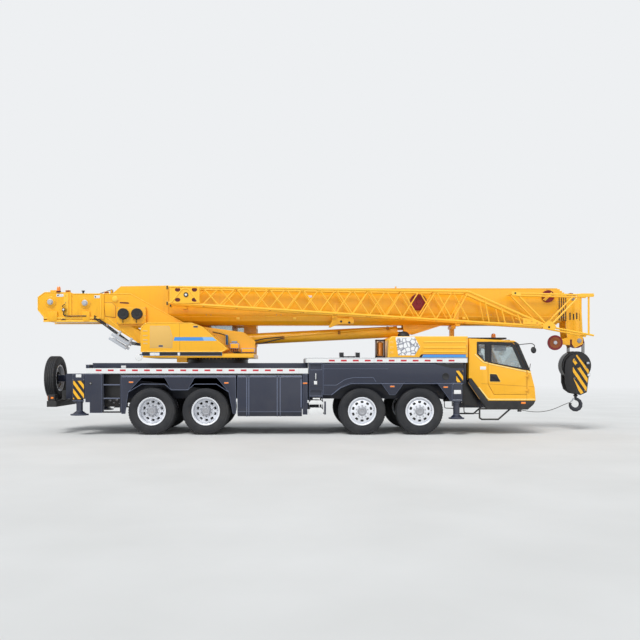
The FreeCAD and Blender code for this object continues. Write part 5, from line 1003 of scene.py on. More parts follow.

# %% [markdown]
# The long front panel is pressed sheet: a raised crease follows the wheel arches to stiffen it, and a
# rolled lip runs along the arches. Crease, lip, a line under the deck and the ribs on the rear side
# panel are tubes in the lighter edge colour, a painted highlight. The deck box over the rear outrigger,
# its lid and the small amber side lamps belong to the same pressed bodywork.

# %% Side panel creases, lips and side lamps
ARCH_LIP = ((0.324, 1.012), (0.560, 1.196), (0.815, 1.296), (3.640, 1.296))
CREASE = ((0.125, 1.256), (0.448, 1.256), (0.660, 1.397), (0.872, 1.447), (1.375, 1.450), (1.446, 1.340))
SIDE_LAMPS = ((-4.716, 1.331), (-2.320, 1.313), (1.852, 1.224), (3.195, 1.207))
pressed = Kit()
for side, word in SIDES:
    face = side * BODY_HALF
    # painted highlight: crease, lip, deck line and ribs in the lighter edge colour
    pressed.tube([(x, face, z) for x, z in CREASE], 0.007, "carrier_edge", 8)
    pressed.tube([(x, face, z) for x, z in ARCH_LIP], 0.010, "carrier_edge", 8)
    pressed.tube([(0.125, face, 1.668), (1.760, face, 1.668)], 0.004, "carrier_edge", 6)
    for start, end in ((-4.789, -4.454), (-3.880, -3.704), (-3.296, -3.120), (-2.567, -2.265)):
        rising = {-4.789: (1.084, 1.283), -3.880: (1.283, 1.137), -3.296: (1.137, 1.283), -2.567: (1.283, 1.084)}
        z0, z1 = rising[start]
        pressed.tube([(start, face, z0), (end, face, z1)], 0.008, "carrier_edge", 8)
    for start, end, z in ((-4.454, -3.880, 1.283), (-3.120, -2.567, 1.283), (-3.704, -3.296, 1.137)):
        pressed.tube([(start, face, z), (end, face, z)], 0.008, "carrier_edge", 8)
    pressed.plate(((2.930, 1.792), (3.336, 1.684), (3.645, 1.684), (3.645, 1.792)), "XZ",
                  *outside(side, 0.003), "black_paint", edge=0)
    pressed.turned([(0.088, 0), (0.088, 0.006), (0.078, 0.008), (0.072, 0.004), (0.0, 0.004)],
                   (3.198, face, 1.477), (0, side, 0), "black_paint", 40)
    for x, z in SIDE_LAMPS + ((-0.340, 1.305),):
        pressed.block((x - 0.066, min(face, face + side * 0.008), z - 0.029),
                      (x + 0.066, max(face, face + side * 0.008), z + 0.029), "black", 0.003)
        pressed.block((x - 0.058, min(face, face + side * 0.020), z - 0.022),
                      (x + 0.058, max(face, face + side * 0.020), z + 0.022), "amber", 0.006)
    box_low, box_high = sorted((side * 1.000, side * 1.374))
    pressed.block((-5.858, box_low, 1.680), (-5.780, box_high, 1.770), "carrier", 0.006)
    pressed.block((-5.868, box_low, 1.766), (-5.770, box_high, 1.778), "white", 0.003)
    pressed.plate(rectangle(-5.062, -4.938, 1.688, 1.752), "XZ", side * 0.975, side * 0.981, "white", edge=0.001)
pressed.finish("pressed_panel_trim", "carrier", "carrier_paint")
print("side lamps on each side:", len(SIDE_LAMPS) + 1)

# %% [markdown]
# Between the rear panel and the wheels is an open bay with a climbing ladder, and behind it the valves
# of the outriggers. The tanks hang in two steel straps each, and the tool column behind the front
# wheels has a grab handle and white steps.

# %% Climbing bays, tank straps and steps
bay = Kit()
for side, word in SIDES:
    low, high = sorted((side * 1.318, side * 1.366))
    bay.plate(rectangle(-5.453, -4.960, 0.700, 1.543), "XZ", side * 1.080, side * 1.088, "black_paint", edge=0)
    for x in (-5.446, -5.003):
        bay.block((x, low, 0.560), (x + 0.030, high, 1.546), "carrier", 0.004)
    # painted highlight: rungs in the lighter edge colour
    for z in (0.907, 1.248):
        bay.block((-5.420, low, z), (-5.000, high, z + 0.035), "carrier_edge", 0.004)
    bay.block((-5.445, *sorted((side * 1.230, side * 1.370))[:1], 0.560),
              (-4.975, sorted((side * 1.230, side * 1.370))[1], 0.592), "black_paint", 0.004)
    for x, z, radius in ((-5.300, 0.86, 0.026), (-5.200, 0.80, 0.020), (-5.120, 0.88, 0.030), (-5.050, 0.78, 0.018)):
        bay.turned([(radius, 0), (radius, 0.05), (radius * 0.6, 0.055), (radius * 0.6, 0.09),
                    (radius * 0.9, 0.095), (radius * 0.9, 0.115)], (x, side * 1.085, z), (0, side, 0), "steel", 20,
                   edge=0.002)
        bay.tube([(x, side * 1.19, z), (x, side * 1.215, z), (x + 0.02, side * 1.20, z - 0.13)], 0.008, "hose", 8)
    bay.plate(rectangle(-5.780, -5.700, 1.262, 1.338), "XZ", *outside(side, 0.002), "black", edge=0.001)
    bay.turned([(0.020, 0), (0.020, 0.008), (0.012, 0.010)], (-5.740, side * 1.376, 1.300), (0, side, 0), "steel", 20)
bay.finish("climbing_bays", "carrier", "carrier_paint")

straps = Kit()
STRAP_OUT = ((1.379, 1.500), (1.379, 0.525), (1.320, 0.462), (1.050, 0.462))
STRAP_IN = ((1.050, 0.467), (1.317, 0.467), (1.374, 0.527), (1.374, 1.500))
for side, word in SIDES:
    # painted highlight: straps and the strip by the tool column in the lighter edge colour
    for x in (-1.820, -1.766, -1.053, -0.978):
        outline = [(side * y, z) for y, z in STRAP_OUT + STRAP_IN]
        straps.plate(outline, "YZ", x, x + 0.022, "carrier_edge", edge=0.001)
        straps.bolts([(x + 0.011, side * 1.379, z) for z in (0.60, 1.44)], (0, side, 0), 0.009, "steel")
    straps.tube([(-1.25, side * 1.10, 1.500), (-1.25, side * 1.10, 1.520)], 0.055, "black", 24)
    straps.plate(rectangle(-0.455, -0.424, 0.70, 1.40), "XZ", *outside(side, 0.003), "carrier_edge", edge=0.001)
straps.finish("tank_straps", "carrier", "carrier_paint")

steps = Kit()
for side, word in SIDES:
    face = side * BODY_HALF
    for x0, x1, z0, z1 in ((-0.243, 0.111, 0.770, 0.873), (-0.243, 0.111, 0.513, 0.691)):
        steps.plate(rectangle(x0, x1, z0, z1), "XZ", *outside(side, 0.003), "white", edge=0.002)
        steps.plate(((x0, z1), (x0, z1 - 0.05), (x0 + 0.05, z1)), "XZ", *outside(side, 0.005), "black", edge=0)
        steps.plate(((x1, z1), (x1 - 0.05, z1), (x1, z1 - 0.05)), "XZ", *outside(side, 0.005), "black", edge=0)
        for k in range(9):
            x = x0 + 0.03 + k * 0.0365
            low, high = sorted((side * 1.170, side * 1.350))
            steps.block((x, low, z1 - 0.002), (x + 0.012, high, z1 + 0.004), "galvanised", 0.001)
    steps.plate(rectangle(-0.146, 0.033, 0.900, 0.935), "XZ", *outside(side, 0.002), "white", edge=0.001)
    for z in (1.150, 1.228):
        steps.plate(rectangle(-0.200, 0.070, z - 0.004, z + 0.004), "XZ", *outside(side, 0.001), "black", edge=0)
    steps.tube([(-0.073, face, 1.410), (-0.073, face + side * 0.045, 1.410), (-0.073, face + side * 0.045, 1.545),
                (-0.073, face, 1.545)], 0.011, "white", 12, bend=0.03)
    steps.block((-0.117, min(face, face + side * 0.014), 1.274), (-0.038, max(face, face + side * 0.014), 1.362),
                "white", 0.004)
    steps.turned([(0.018, 0), (0.018, 0.006), (0.010, 0.008)], (-0.144, side * 1.301, 1.701), (0, side, 0), "white", 20)
    steps.block((0.139, *sorted((side * 1.290, side * 1.370))[:1], 0.514),
                (0.190, sorted((side * 1.290, side * 1.370))[1], 0.850), "carrier", 0.004)
    steps.block((-0.110, *sorted((side * 1.180, side * 1.280))[:1], 0.530),
                (0.145, sorted((side * 1.180, side * 1.280))[1], 0.560), "black_paint", 0.002)
steps.finish("white_steps", "carrier", "carrier_paint")
print("ladder bays, tank straps and steps on both sides")

# %% [markdown]
# The cab's side glass sits in one black band that runs over pillar and door alike. The band is a sheet
# with window openings, split at the door's edge, because the door swings and takes its own part along.
# A raised ledge runs under it in a pale yellow that paints its highlight, thin dark-yellow lines paint the
# shade of creases and of the door gap, and the door has a handle recess with a rolled border in the
# lighter edge colour, a painted highlight.

# %% Cab sides
CAB_HALF = 1.275
QUARTER_PANE = ((4.046, 2.306), (4.216, 2.298), (4.216, 1.870), (4.200, 1.866), (4.046, 2.052))
DOOR_PANE = ((4.372, 2.284), (4.873, 2.260), (4.921, 2.215), (5.158, 1.680), (4.372, 1.828))
FIXED_BAND = ((4.006, 2.346), (4.2915, 2.341), (4.2915, 1.838), (4.216, 1.850), (4.180, 1.872), (4.006, 2.040))
DOOR_BAND = ((4.294, 2.345), (4.914, 2.321), (4.979, 2.262), (5.248, 1.645), (5.222, 1.634), (4.294, 1.826))
PILLAR_BAND = ((4.925, 2.346), (5.010, 2.340), (5.066, 2.300), (5.364, 1.612), (5.254, 1.640), (4.984, 2.266))
HANDLE_RECESS = ((4.330, 1.548), (4.512, 1.536), (4.622, 1.332), (4.330, 1.336))


def cab_side(side, proud, sunk=0.002):
    return side * (CAB_HALF - sunk), side * (CAB_HALF + proud)


def at_side(points, y):
    return [(x, y, z) for x, z in points]


for side, word in SIDES:
    face = side * CAB_HALF
    band = Kit()
    holed(band, FIXED_BAND, [QUARTER_PANE], "XZ", *cab_side(side, 0.004), "black")
    band.plate(PILLAR_BAND, "XZ", *cab_side(side, 0.004), "black", edge=0.001)
    band.plate(((4.010, 2.352), (4.990, 2.352), (5.040, 2.318), (4.990, 2.340), (4.010, 2.344)), "XZ",
               *cab_side(side, 0.006), "black", edge=0)
    band.tube(at_side(QUARTER_PANE + QUARTER_PANE[:1], face), 0.007, "black", 8, bend=0.02)
    band.finish(f"cab_window_band_{word}", "carrier", "black_plastic")
    ledge = Kit()
    # painted highlight: pale yellow ledges; painted shade: thin dark-yellow crease and door-gap lines
    ledge.tube(at_side(((3.960, 2.040), (4.010, 1.985), (4.175, 1.835), (4.286, 1.808)), face), 0.016, "yellow_ledge_highlight",
               10, bend=0.08)
    ledge.tube(at_side(((5.292, 1.592), (5.368, 1.578)), face), 0.016, "yellow_ledge_highlight", 10)
    ledge.plate(((4.120, 1.289), (4.292, 1.280), (4.292, 1.288), (4.120, 1.297)), "XZ", *cab_side(side, 0.0012),
                "yellow_dark", edge=0)
    ledge.tube(at_side(((4.060, 1.205), (4.300, 0.893), (5.480, 0.893)), face), 0.016, "yellow_ledge_highlight", 10, bend=0.05)
    ledge.plate(((5.320, 1.217), (5.455, 1.208), (5.455, 1.216), (5.320, 1.225)), "XZ", *cab_side(side, 0.0012),
                "yellow_dark", edge=0)
    ledge.plate(rectangle(5.270, 5.276, 0.900, 1.590), "XZ", *cab_side(side, 0.0012), "yellow_dark", edge=0)
    ledge.plate(rectangle(4.090, 4.240, 1.648, 1.728), "XZ", *cab_side(side, 0.003), "white", edge=0.001)
    ledge.finish(f"cab_ledge_{word}", "carrier", "crane_yellow")
    trim = Kit()
    holed(trim, DOOR_BAND, [DOOR_PANE], "XZ", *cab_side(side, 0.004), "black")
    trim.tube(at_side(DOOR_PANE + DOOR_PANE[:1], face), 0.008, "black", 8, bend=0.03)
    # painted highlight: pale yellow ledge and lighter border round the handle recess; painted shade: a dark-yellow
    # crease line
    trim.tube(at_side(((4.306, 1.800), (5.256, 1.600)), face), 0.016, "yellow_ledge_highlight", 10)
    trim.plate(((4.300, 1.280), (5.262, 1.222), (5.262, 1.230), (4.300, 1.288)), "XZ", *cab_side(side, 0.0012),
               "yellow_dark", edge=0)
    trim.plate(HANDLE_RECESS, "XZ", *cab_side(side, 0.002), "black", edge=0.001)
    trim.tube(at_side(HANDLE_RECESS + HANDLE_RECESS[:1], face), 0.009, "yellow_edge", 10, bend=0.03)
    trim.tube([(4.370, face, 1.500), (4.370, face + side * 0.020, 1.490), (4.540, face + side * 0.020, 1.400),
               (4.550, face, 1.385)], 0.008, "black", 10, bend=0.02)
    trim.finish(f"cab_door_trim_{word}", f"cab_door_{word}", "crane_yellow")
print("cab sides dressed, black band thickness 4 mm")

# %% [markdown]
# The front of a truck cab is mostly black: grille slats, wipers, a plate for the number, which stays
# blank, and the bumper with its lamps. The roof carries a flat black unit and an amber beacon.

# %% Cab front, roof and lamps
front = Kit()
for k in range(6):
    z = 1.300 + 0.048 * k
    x = 5.471 - (z - 1.200) * 0.2554
    front.block((x - 0.004, -0.62, z), (x + 0.010, 0.62, z + 0.026), "black", 0.004)
front.block((5.436, -0.66, 1.262), (5.461, 0.66, 1.284), "galvanised", 0.004)
front.block((5.488, -0.26, 0.700), (5.499, 0.26, 0.830), "white", 0.003)
for y in (-0.95, 0.0, 0.95):
    front.tube([(5.372, y, 1.612), (5.352, y - 0.30, 1.668), (5.298, y - 0.52, 1.792)], 0.008, "black", 8)
    front.block((5.365, y - 0.03, 1.590), (5.395, y + 0.03, 1.625), "black", 0.006)
front.block((3.784, -0.90, 2.434), (4.880, 0.90, 2.478), "black", 0.018)
front.block((4.880, -0.80, 2.396), (5.000, 0.80, 2.424), "black", 0.012)
front.tube([(3.800, -1.10, 2.440), (3.800, 1.10, 2.440)], 0.006, "black", 8)
for side, word in SIDES:
    low, high = sorted((side * 0.660, side * 1.180))
    front.block((5.455, low, 0.872), (5.492, high, 0.905), "black", 0.006)
    front.tube([(3.790, side * 1.262, 1.330), (3.800, side * 1.280, 1.300), (4.075, side * 1.280, 0.900)], 0.009,
               "brass_strip", 8)
    low, high = sorted((side * 1.262, side * 1.288))
    front.block((5.118, low, 0.778), (5.244, high, 0.836), "amber", 0.006)
    low, high = sorted((side * 1.150, side * 1.235))
    front.block((3.690, low, 1.300), (3.745, high, 1.930), "carrier", 0.006)
    low, high = sorted((side * 1.085, side * 1.100))
    front.plate(((3.662, 1.500), (3.795, 1.420), (4.060, 0.990), (4.060, 0.700), (3.900, 0.740), (3.662, 0.740)), "XZ",
                low, high, "black_paint", edge=0.004)
    front.tube([(3.707, side * 1.150, 0.800), (3.715, side * 1.150, 0.546), (4.094, side * 1.200, 0.530)], 0.012,
               "black", 10, bend=0.05)
front.finish("cab_front_and_roof", "carrier", "black_plastic")

mirrors = Kit()
for side, word in SIDES:
    mirrors.tube([(5.000, side * 1.262, 2.262), (5.120, side * 1.330, 2.286), (5.380, side * 1.345, 2.308),
                  (5.448, side * 1.345, 2.262), (5.436, side * 1.345, 2.190)], 0.010, "black", 12, bend=0.06)
    mirrors.turned([(0.0, -0.030), (0.062, -0.026), (0.080, -0.010), (0.084, 0.006), (0.078, 0.016), (0.0, 0.018)],
                   (5.424, side * 1.335, 2.140), (-0.42, -side * 0.90, -0.12), "black", 40)
    mirrors.turned([(0.0, 0.0185), (0.070, 0.0185), (0.066, 0.0200), (0.0, 0.0220)],
                   (5.424, side * 1.335, 2.140), (-0.42, -side * 0.90, -0.12), "chrome", 40)
    mirrors.block((4.985, *sorted((side * 1.255, side * 1.290))[:1], 2.235),
                  (5.040, sorted((side * 1.255, side * 1.290))[1], 2.290), "black", 0.008)
mirrors.finish("cab_mirrors", "carrier", "black_plastic")

lamps = Kit()
beacon_at = (4.790, 0, 2.407)
lamps.turned([(0.070, 0), (0.070, 0.050), (0.062, 0.060)], beacon_at, (0, 0, 1), "black", 32)
lamps.turned([(0.056, 0.060), (0.060, 0.068), (0.060, 0.165), (0.052, 0.196), (0.034, 0.216), (0.0, 0.222)],
             beacon_at, (0, 0, 1), "amber", 32)
for side, word in SIDES:
    low, high = sorted((side * 0.930, side * 1.200))
    lamps.block((5.400, low, 1.010), (5.466, high, 1.170), "black", 0.012)
    lamps.block((5.462, low + 0.010, 1.020), (5.478, high - 0.010, 1.160), "clear_lens", 0.008)
    for share in (0.27, 0.73):
        y = low + (high - low) * share
        lamps.turned([(0.052, 0), (0.046, 0.010), (0.0, 0.013)], (5.467, y, 1.090), (1, 0, 0), "galvanised", 28)
    low, high = sorted((side * 0.950, side * 1.190))
    lamps.block((-6.874, low, 0.850), (-6.700, high, 1.010), "black", 0.010)
    for k, finish in enumerate(("amber", "red_lens", "clear_lens")):
        start = low + 0.010 + k * 0.076
        lamps.block((-6.890, start, 0.866), (-6.870, start + 0.068, 0.994), finish, 0.006)
    lamps.block((-6.800, *sorted((side * 1.186, side * 1.196))[:1], 0.905),
                (-6.730, sorted((side * 1.186, side * 1.196))[1], 0.955), "amber", 0.003)
lamps.finish("lamps_and_beacon", body_of_node["lamps"], "lamp_lens", replaces=("lamps",))
print("lamps, wipers, roof unit and blank number plate in place")

# %% [markdown]
# Inside the cab the seats show through the glass. A seat cushion is foam under cloth: it is crowned,
# and its sides pull in between the corners. So each is a rounded block, slightly too small, that the
# cloth solver blows up under pressure for twenty frames. How far a point may move is capped, and the
# result is applied. Seams come after, as piping along the edge. One cushion and one back are made
# and used three times, in the two cab seats and the crane operator's.

# %% Padded seats
SEAT_SIZE = (0.500, 0.480, 0.110)
BACK_SIZE = (0.110, 0.460, 0.530)
CUSHION_VOXEL = 0.012
SWELL_CAP = 0.024


def cushion_mesh(name, size, taper):
    """A closed rounded block that pressure swells, with its move capped."""
    work = bmesh.new()
    half = [length / 2 - SWELL_CAP * 0.6 for length in size]
    bmesh.ops.create_cube(work, size=2.0)
    for corner in work.verts:
        narrow = 1.0 - taper * (corner.co.z + 1) / 2
        corner.co = Vector((corner.co.x * half[0], corner.co.y * half[1] * narrow, corner.co.z * half[2]))
    bmesh.ops.bevel(work, geom=list(work.edges), offset=0.022, segments=3, profile=0.5, affect="EDGES")
    data = bpy.data.meshes.new(name)
    work.to_mesh(data)
    work.free()
    pad = bpy.data.objects.new(name + "_work", data)
    bpy.context.scene.collection.objects.link(pad)
    remesh = pad.modifiers.new("even cells", "REMESH")
    remesh.mode = "VOXEL"
    remesh.voxel_size = CUSHION_VOXEL
    even = bpy.data.meshes.new_from_object(pad.evaluated_get(bpy.context.evaluated_depsgraph_get()))
    pad.modifiers.clear()
    pad.data = even
    rest = [vertex.co.copy() for vertex in even.vertices]
    cloth = pad.modifiers.new("swell", "CLOTH")
    cloth.settings.use_pressure = True
    cloth.settings.uniform_pressure_force = 4.0
    cloth.settings.effector_weights.gravity = 0.0
    for frame_number in range(1, 21):
        bpy.context.scene.frame_set(frame_number)
    swollen = bpy.data.meshes.new_from_object(pad.evaluated_get(bpy.context.evaluated_depsgraph_get()))
    for vertex, start in zip(swollen.vertices, rest):
        move = vertex.co - start
        if move.length > SWELL_CAP:
            vertex.co = start + move.normalized() * SWELL_CAP
    bpy.context.scene.frame_set(1)
    pad.modifiers.clear()
    pad.data = swollen
    finer = pad.modifiers.new("finer", "SUBSURF")
    finer.levels = 1
    shape = bpy.data.meshes.new_from_object(pad.evaluated_get(bpy.context.evaluated_depsgraph_get()))
    shape.name = name
    shape.materials.append(FINISHES["seat"])
    bpy.data.objects.remove(pad)
    return shape


def piping(kit, place, size):
    """A sewn cord round the middle of a cushion's edge."""
    thin = size.index(min(size))
    wide = [k for k in range(3) if k != thin]
    a, b = size[wide[0]] / 2 - 0.004, size[wide[1]] / 2 - 0.004
    loop = []
    for u, v in ((-a, -b), (a, -b), (a, b), (-a, b), (-a, -b)):
        point = [0.0, 0.0, 0.0]
        point[wide[0]], point[wide[1]] = u, v
        loop.append(place @ Vector(point))
    kit.tube(loop, 0.0045, "trim", 8, bend=0.09)


seat_shape = cushion_mesh("seat_cushion", SEAT_SIZE, 0.0)
back_shape = cushion_mesh("seat_back", BACK_SIZE, 0.12)
frames = Kit()
seat_spots = [("driver", "carrier", 4.590, 0.570, 1.480), ("passenger", "carrier", 4.590, -0.570, 1.480)]
operator_seat = ("operator", "turntable", -2.750, 0.875, 2.545)
operator_frame = Kit()
for word, body, x, y, z in seat_spots + [operator_seat]:
    low = Matrix.Translation((x, y, z))
    high = Matrix.Translation((x - 0.295, y, z + 0.335)) @ Matrix.Rotation(math.radians(-9), 4, "Y")
    cushion = settle(seat_shape, f"{word}_seat_cushion", body, 60, (), low)
    rest = settle(back_shape, f"{word}_seat_back", body, 60, (), high)
    kit = operator_frame if word == "operator" else frames
    piping(kit, low, SEAT_SIZE)
    piping(kit, high, BACK_SIZE)
    kit.block((x - 0.20, y - 0.19, z - 0.095), (x + 0.20, y + 0.19, z - 0.050), "trim", 0.012)
    kit.turned([(0.11, 0), (0.09, 0.02), (0.10, 0.05), (0.09, 0.09), (0.10, 0.13), (0.09, 0.17), (0.11, 0.24)],
               (x, y, z - 0.335), (0, 0, 1), "trim", 28)
    for post in (-0.05, 0.05):
        top = high @ Vector((0, post, 0.30))
        kit.rod(high @ Vector((0, post, 0.24)), top, 0.007, "chrome", 10)
    kit.block(tuple(high @ Vector((-0.045, -0.12, 0.285))), tuple(high @ Vector((0.045, 0.12, 0.400))), "trim", 0.03)
print("cushions:", len(seat_shape.polygons), "faces and", len(back_shape.polygons), "faces")

# %% Dashboard, steering wheel and sun visor
frames.plate(((5.110, 1.530), (5.150, 1.556), (5.290, 1.558), (5.380, 1.230), (5.380, 1.155), (5.250, 1.150)), "XZ",
             -1.150, 1.150, "trim", 0.012)
frames.plate(((5.085, 1.545), (5.125, 1.590), (5.260, 1.600), (5.270, 1.556), (5.130, 1.540)), "XZ", 0.300, 0.840,
             "trim", 0.010)
WHEEL_HUB = Vector((5.060, 0.570, 1.560))
wheel_tilt = Vector((-0.728, 0, 0.686))
frames.turned([(0.215 + 0.0155 * math.cos(math.tau * k / 10), 0.0155 * math.sin(math.tau * k / 10))
               for k in range(10)], WHEEL_HUB + wheel_tilt * 0.10, wheel_tilt, "trim", 48, closed=True)
frames.turned([(0.052, 0.06), (0.052, 0.085), (0.030, 0.098), (0.0, 0.1)], WHEEL_HUB, wheel_tilt, "black", 28)
for spoke in range(3):
    turn = axis_frame(wheel_tilt) @ Matrix.Rotation(math.tau * spoke / 3 + 0.5, 4, "Z")
    frames.rod(WHEEL_HUB + turn @ Vector((0.03, 0, 0.085)), WHEEL_HUB + turn @ Vector((0.208, 0, 0.10)), 0.011,
               "black", 8)
frames.rod(WHEEL_HUB + wheel_tilt * 0.08, WHEEL_HUB - wheel_tilt * 0.11, 0.025, "black", 16)
for side, word in SIDES:
    frames.block((4.466, *sorted((side * 1.185, side * 1.200))[:1], 2.125),
                 (4.770, sorted((side * 1.185, side * 1.200))[1], 2.290), "visor", 0.006)
    frames.rod((4.620, side * 1.192, 2.285), (4.620, side * 1.192, 2.345), 0.006, "black", 8)
frames.block((4.290, -1.18, 0.905), (5.240, 1.18, 0.935), "trim", 0.01)
frames.finish("cab_inside", "carrier", "cab_trim", replaces=("cab_interior",))
operator_frame.finish("operator_seat_frame", "turntable", "cab_trim")
print("steering wheel", round(WHEEL_HUB.z, 2), "m above the road")

# %% [markdown]
# The hood's sides are pressed in long shallow ribs, tubes in a lighter yellow that paints their
# highlight; the seam and the louvre marks take the lighter edge colour as painted highlight too.
# Their lower rear has a white decal of rounded cells: a Voronoi texture's distance to the nearest
# cell edge draws the grey lines. The blue stripe has no words. Behind the hood a ribbed silencer
# stands in a black guard.

# %% Hood dress
HOOD_DECAL = ((1.935, 2.452), (1.975, 2.474), (2.400, 2.478), (2.415, 2.470), (2.551, 2.222), (2.415, 2.006),
              (2.005, 2.006))
hood = Kit()
for side, word in SIDES:
    hood.plate(HOOD_DECAL, "XZ", *outside(side, 0.002), "cell_decal", edge=0)
    hood.plate(((2.600, 1.956), (3.707, 1.956), (3.707, 2.022), (2.640, 2.022)), "XZ", *outside(side, 0.003),
               "stripe_blue", edge=0)
    hood.plate(((2.527, 1.952), (2.594, 1.952), (2.634, 2.028), (2.575, 2.028)), "XZ", *outside(side, 0.003),
               "black", edge=0)
    hood.plate(rectangle(2.600, 3.707, 2.022, 2.034), "XZ", *outside(side, 0.002), "deep_blue", edge=0)
    hood.plate(rectangle(1.800, 3.745, 1.950, 1.957), "XZ", *outside(side, 0.002), "deep_blue", edge=0)
    for z in (2.343, 2.206, 2.100):
        # painted highlight: ribs in the lighter yellow
        hood.tube([(2.640, side * BODY_HALF, z), (3.700, side * BODY_HALF, z)], 0.018, "yellow_light", 8)
    seam = ((2.440, 2.476), (2.578, 2.222), (2.500, 1.960))
    # painted highlight: seam and louvre marks in the lighter edge colour
    hood.tube(at_side(seam, side * BODY_HALF), 0.004, "yellow_edge", 6, bend=0.02)
    for z in (2.343, 2.206, 2.078):
        for k in range(3):
            hood.plate(rectangle(1.800 + k * 0.030, 1.818 + k * 0.030, z - 0.026, z + 0.026), "XZ",
                       *outside(side, 0.004), "yellow_edge", edge=0.001)
    hood.bolts([(3.725, side * BODY_HALF, z) for z in (2.05, 2.25, 2.43)], (0, side, 0), 0.010, "steel")
for k in range(9):
    hood.block((2.62 + k * 0.10, -0.50, 2.478), (2.665 + k * 0.10, 0.50, 2.504), "black", 0.003)
hood.turned([(0.160, 0), (0.160, 0.030), (0.152, 0.070), (0.128, 0.115), (0.082, 0.150), (0.0, 0.166)],
            (2.245, -0.700, 2.486), (0, 0, 1), "black", 36)
for x in (0.525, 0.930):
    hood.block((x, -1.34, 1.949), (x + 0.115, -1.22, 2.083), "black", 0.006)
hood.block((0.620, -1.33, 1.950), (0.950, -1.23, 1.992), "black", 0.006)
hood.finish("hood_dress", "carrier", "crane_yellow")

silencer = Kit()
CAN_RIBS = 12
can = [(0.0, 0.040)] + [(0.082 if k % 2 else 0.074, 0.045 + k * 0.0148) for k in range(CAN_RIBS * 2)] + [(0.0, 0.410)]
silencer.turned(can, (1.575, -1.160, 1.950), (0, 0, 1), "heat_brown", 36)
for x0, x1 in ((1.455, 1.485), (1.665, 1.695)):
    silencer.block((x0, -1.242, 1.952), (x1, -1.078, 2.410), "black_paint", 0.004)
for z in (1.952, 2.365):
    silencer.block((1.455, -1.242, z), (1.695, -1.078, z + 0.045), "black_paint", 0.004)
silencer.tube([(1.575, -1.160, 2.36), (1.575, -1.160, 2.405)], 0.030, "steel", 20)
silencer.finish("silencer_and_guard", "carrier", "black_plastic", replaces=("silencer",))
print("hood decals, ribs and silencer done")

# %% [markdown]
# The turntable's tail is two deep side plates with the winches between them. Raised strips and
# bosses stiffen the plates, and each winch shows as a bright pin in a ring. Edge lines, the lower
# strips and one boss are in a lighter yellow as painted highlight, and a dark-yellow band between
# the strips and an outline round a small panel are painted shade. Above it stand a beacon and small
# fittings, and hoses run down the lower edge.

# %% Tail plates
WEB_FACE = 0.436
tail = Kit()
for side, word in SIDES:
    face = side * WEB_FACE
    for x, z in ((-7.060, 3.437), (-6.145, 3.412)):
        tail.turned([(0.142, 0.0), (0.142, 0.016), (0.128, 0.022), (0.108, 0.022), (0.108, 0.0)], (x, face, z),
                    (0, side, 0), "yellow", 48)
        tail.turned([(0.078, 0.030), (0.078, 0.046), (0.066, 0.050), (0.064, 0.078), (0.056, 0.086), (0.0, 0.088)],
                    (x, face, z), (0, side, 0), "galvanised", 36)
    for x, z, width in ((-6.807, 3.614, 0.186), (-5.828, 3.577, 0.150)):
        tail.plate(rectangle(x - width / 2, x + width / 2, z - 0.038, z + 0.038), "XZ", face, face + side * 0.004,
                   "white", edge=0.001)
        tail.turned([(0.018, 0.004), (0.018, 0.007), (0.0, 0.007)], (x - width * 0.3, face, z), (0, side, 0),
                    "black", 16)
    for x0, x1, z0, z1 in ((-6.714, -6.575, 3.010, 3.664), (-5.752, -5.706, 2.990, 3.655)):
        tail.plate(rectangle(x0, x1, z0, z1), "XZ", face, face + side * 0.016, "jib_yellow", edge=0.006)
    # painted highlight: edge lines in the lighter yellow
    for path in (((-7.392, 3.230), (-7.392, 3.565), (-7.215, 3.692), (-6.740, 3.692)),
                 ((-6.540, 3.655), (-5.780, 3.655)), ((-5.630, 3.655), (-4.940, 3.655), (-3.600, 2.912)),
                 ((-7.392, 3.225), (-7.150, 2.985)), ((-5.560, 3.020), (-4.700, 2.325))):
        tail.tube([(x, face, z) for x, z in path], 0.012, "yellow_light", 8, bend=0.02)
    # painted highlight: two lower strips in the lighter yellow, with a dark-yellow band of painted shade between them
    for low in (2.908, 2.988):
        tail.block((-7.240, min(face, face + side * 0.038), low), (-5.750, max(face, face + side * 0.038), low + 0.044),
                   "yellow_light", 0.008)
    tail.block((-7.240, min(face, face + side * 0.018), 2.952), (-5.750, max(face, face + side * 0.018), 2.988),
               "yellow_dark", 0.002)
    for x, width in ((-7.000, 0.130), (-6.110, 0.100)):
        tail.plate(((x - width, 3.190), (x + width, 3.190), (x + width, 2.980), (x + width * 0.6, 2.915),
                    (x - width * 0.6, 2.915), (x - width, 2.980)), "XZ", face, face + side * 0.048, "yellow", edge=0.010)
    tail.plate(((-6.775, 2.962), (-6.740, 3.000), (-6.672, 3.000), (-6.637, 2.962)), "XZ", face, face + side * 0.044,
               "black", edge=0.004)
    # painted shade: a dark-yellow outline round the small panel
    tail.plate(((-5.660, 3.430), (-5.420, 3.430), (-5.330, 3.330), (-5.330, 3.010), (-5.620, 3.050)), "XZ", face,
               face + side * 0.003, "yellow_dark", edge=0.001)
    tail.plate(((-5.645, 3.415), (-5.427, 3.415), (-5.345, 3.325), (-5.345, 3.035), (-5.605, 3.065)), "XZ", face,
               face + side * 0.006, "yellow", edge=0.002)
    tail.plate(((-5.230, 3.405), (-4.995, 3.390), (-4.975, 3.415), (-5.020, 3.432), (-5.220, 3.436)), "XZ", face,
               face + side * 0.003, "sheave_dark", edge=0)
    # painted highlight: a boss in the lighter yellow
    tail.turned([(0.075, 0.0), (0.075, 0.020), (0.066, 0.026), (0.0, 0.026)], (-5.350, side * 0.448, 3.520),
                (0, side, 0), "yellow_light", 36)
    tail.bolts([(-6.660, face + side * 0.016, z) for z in (3.08, 3.24, 3.42, 3.60)], (0, side, 0), 0.012, "steel")
tail.block((-6.735, -0.520, 3.180), (-6.640, -0.436, 3.275), "black", 0.008)
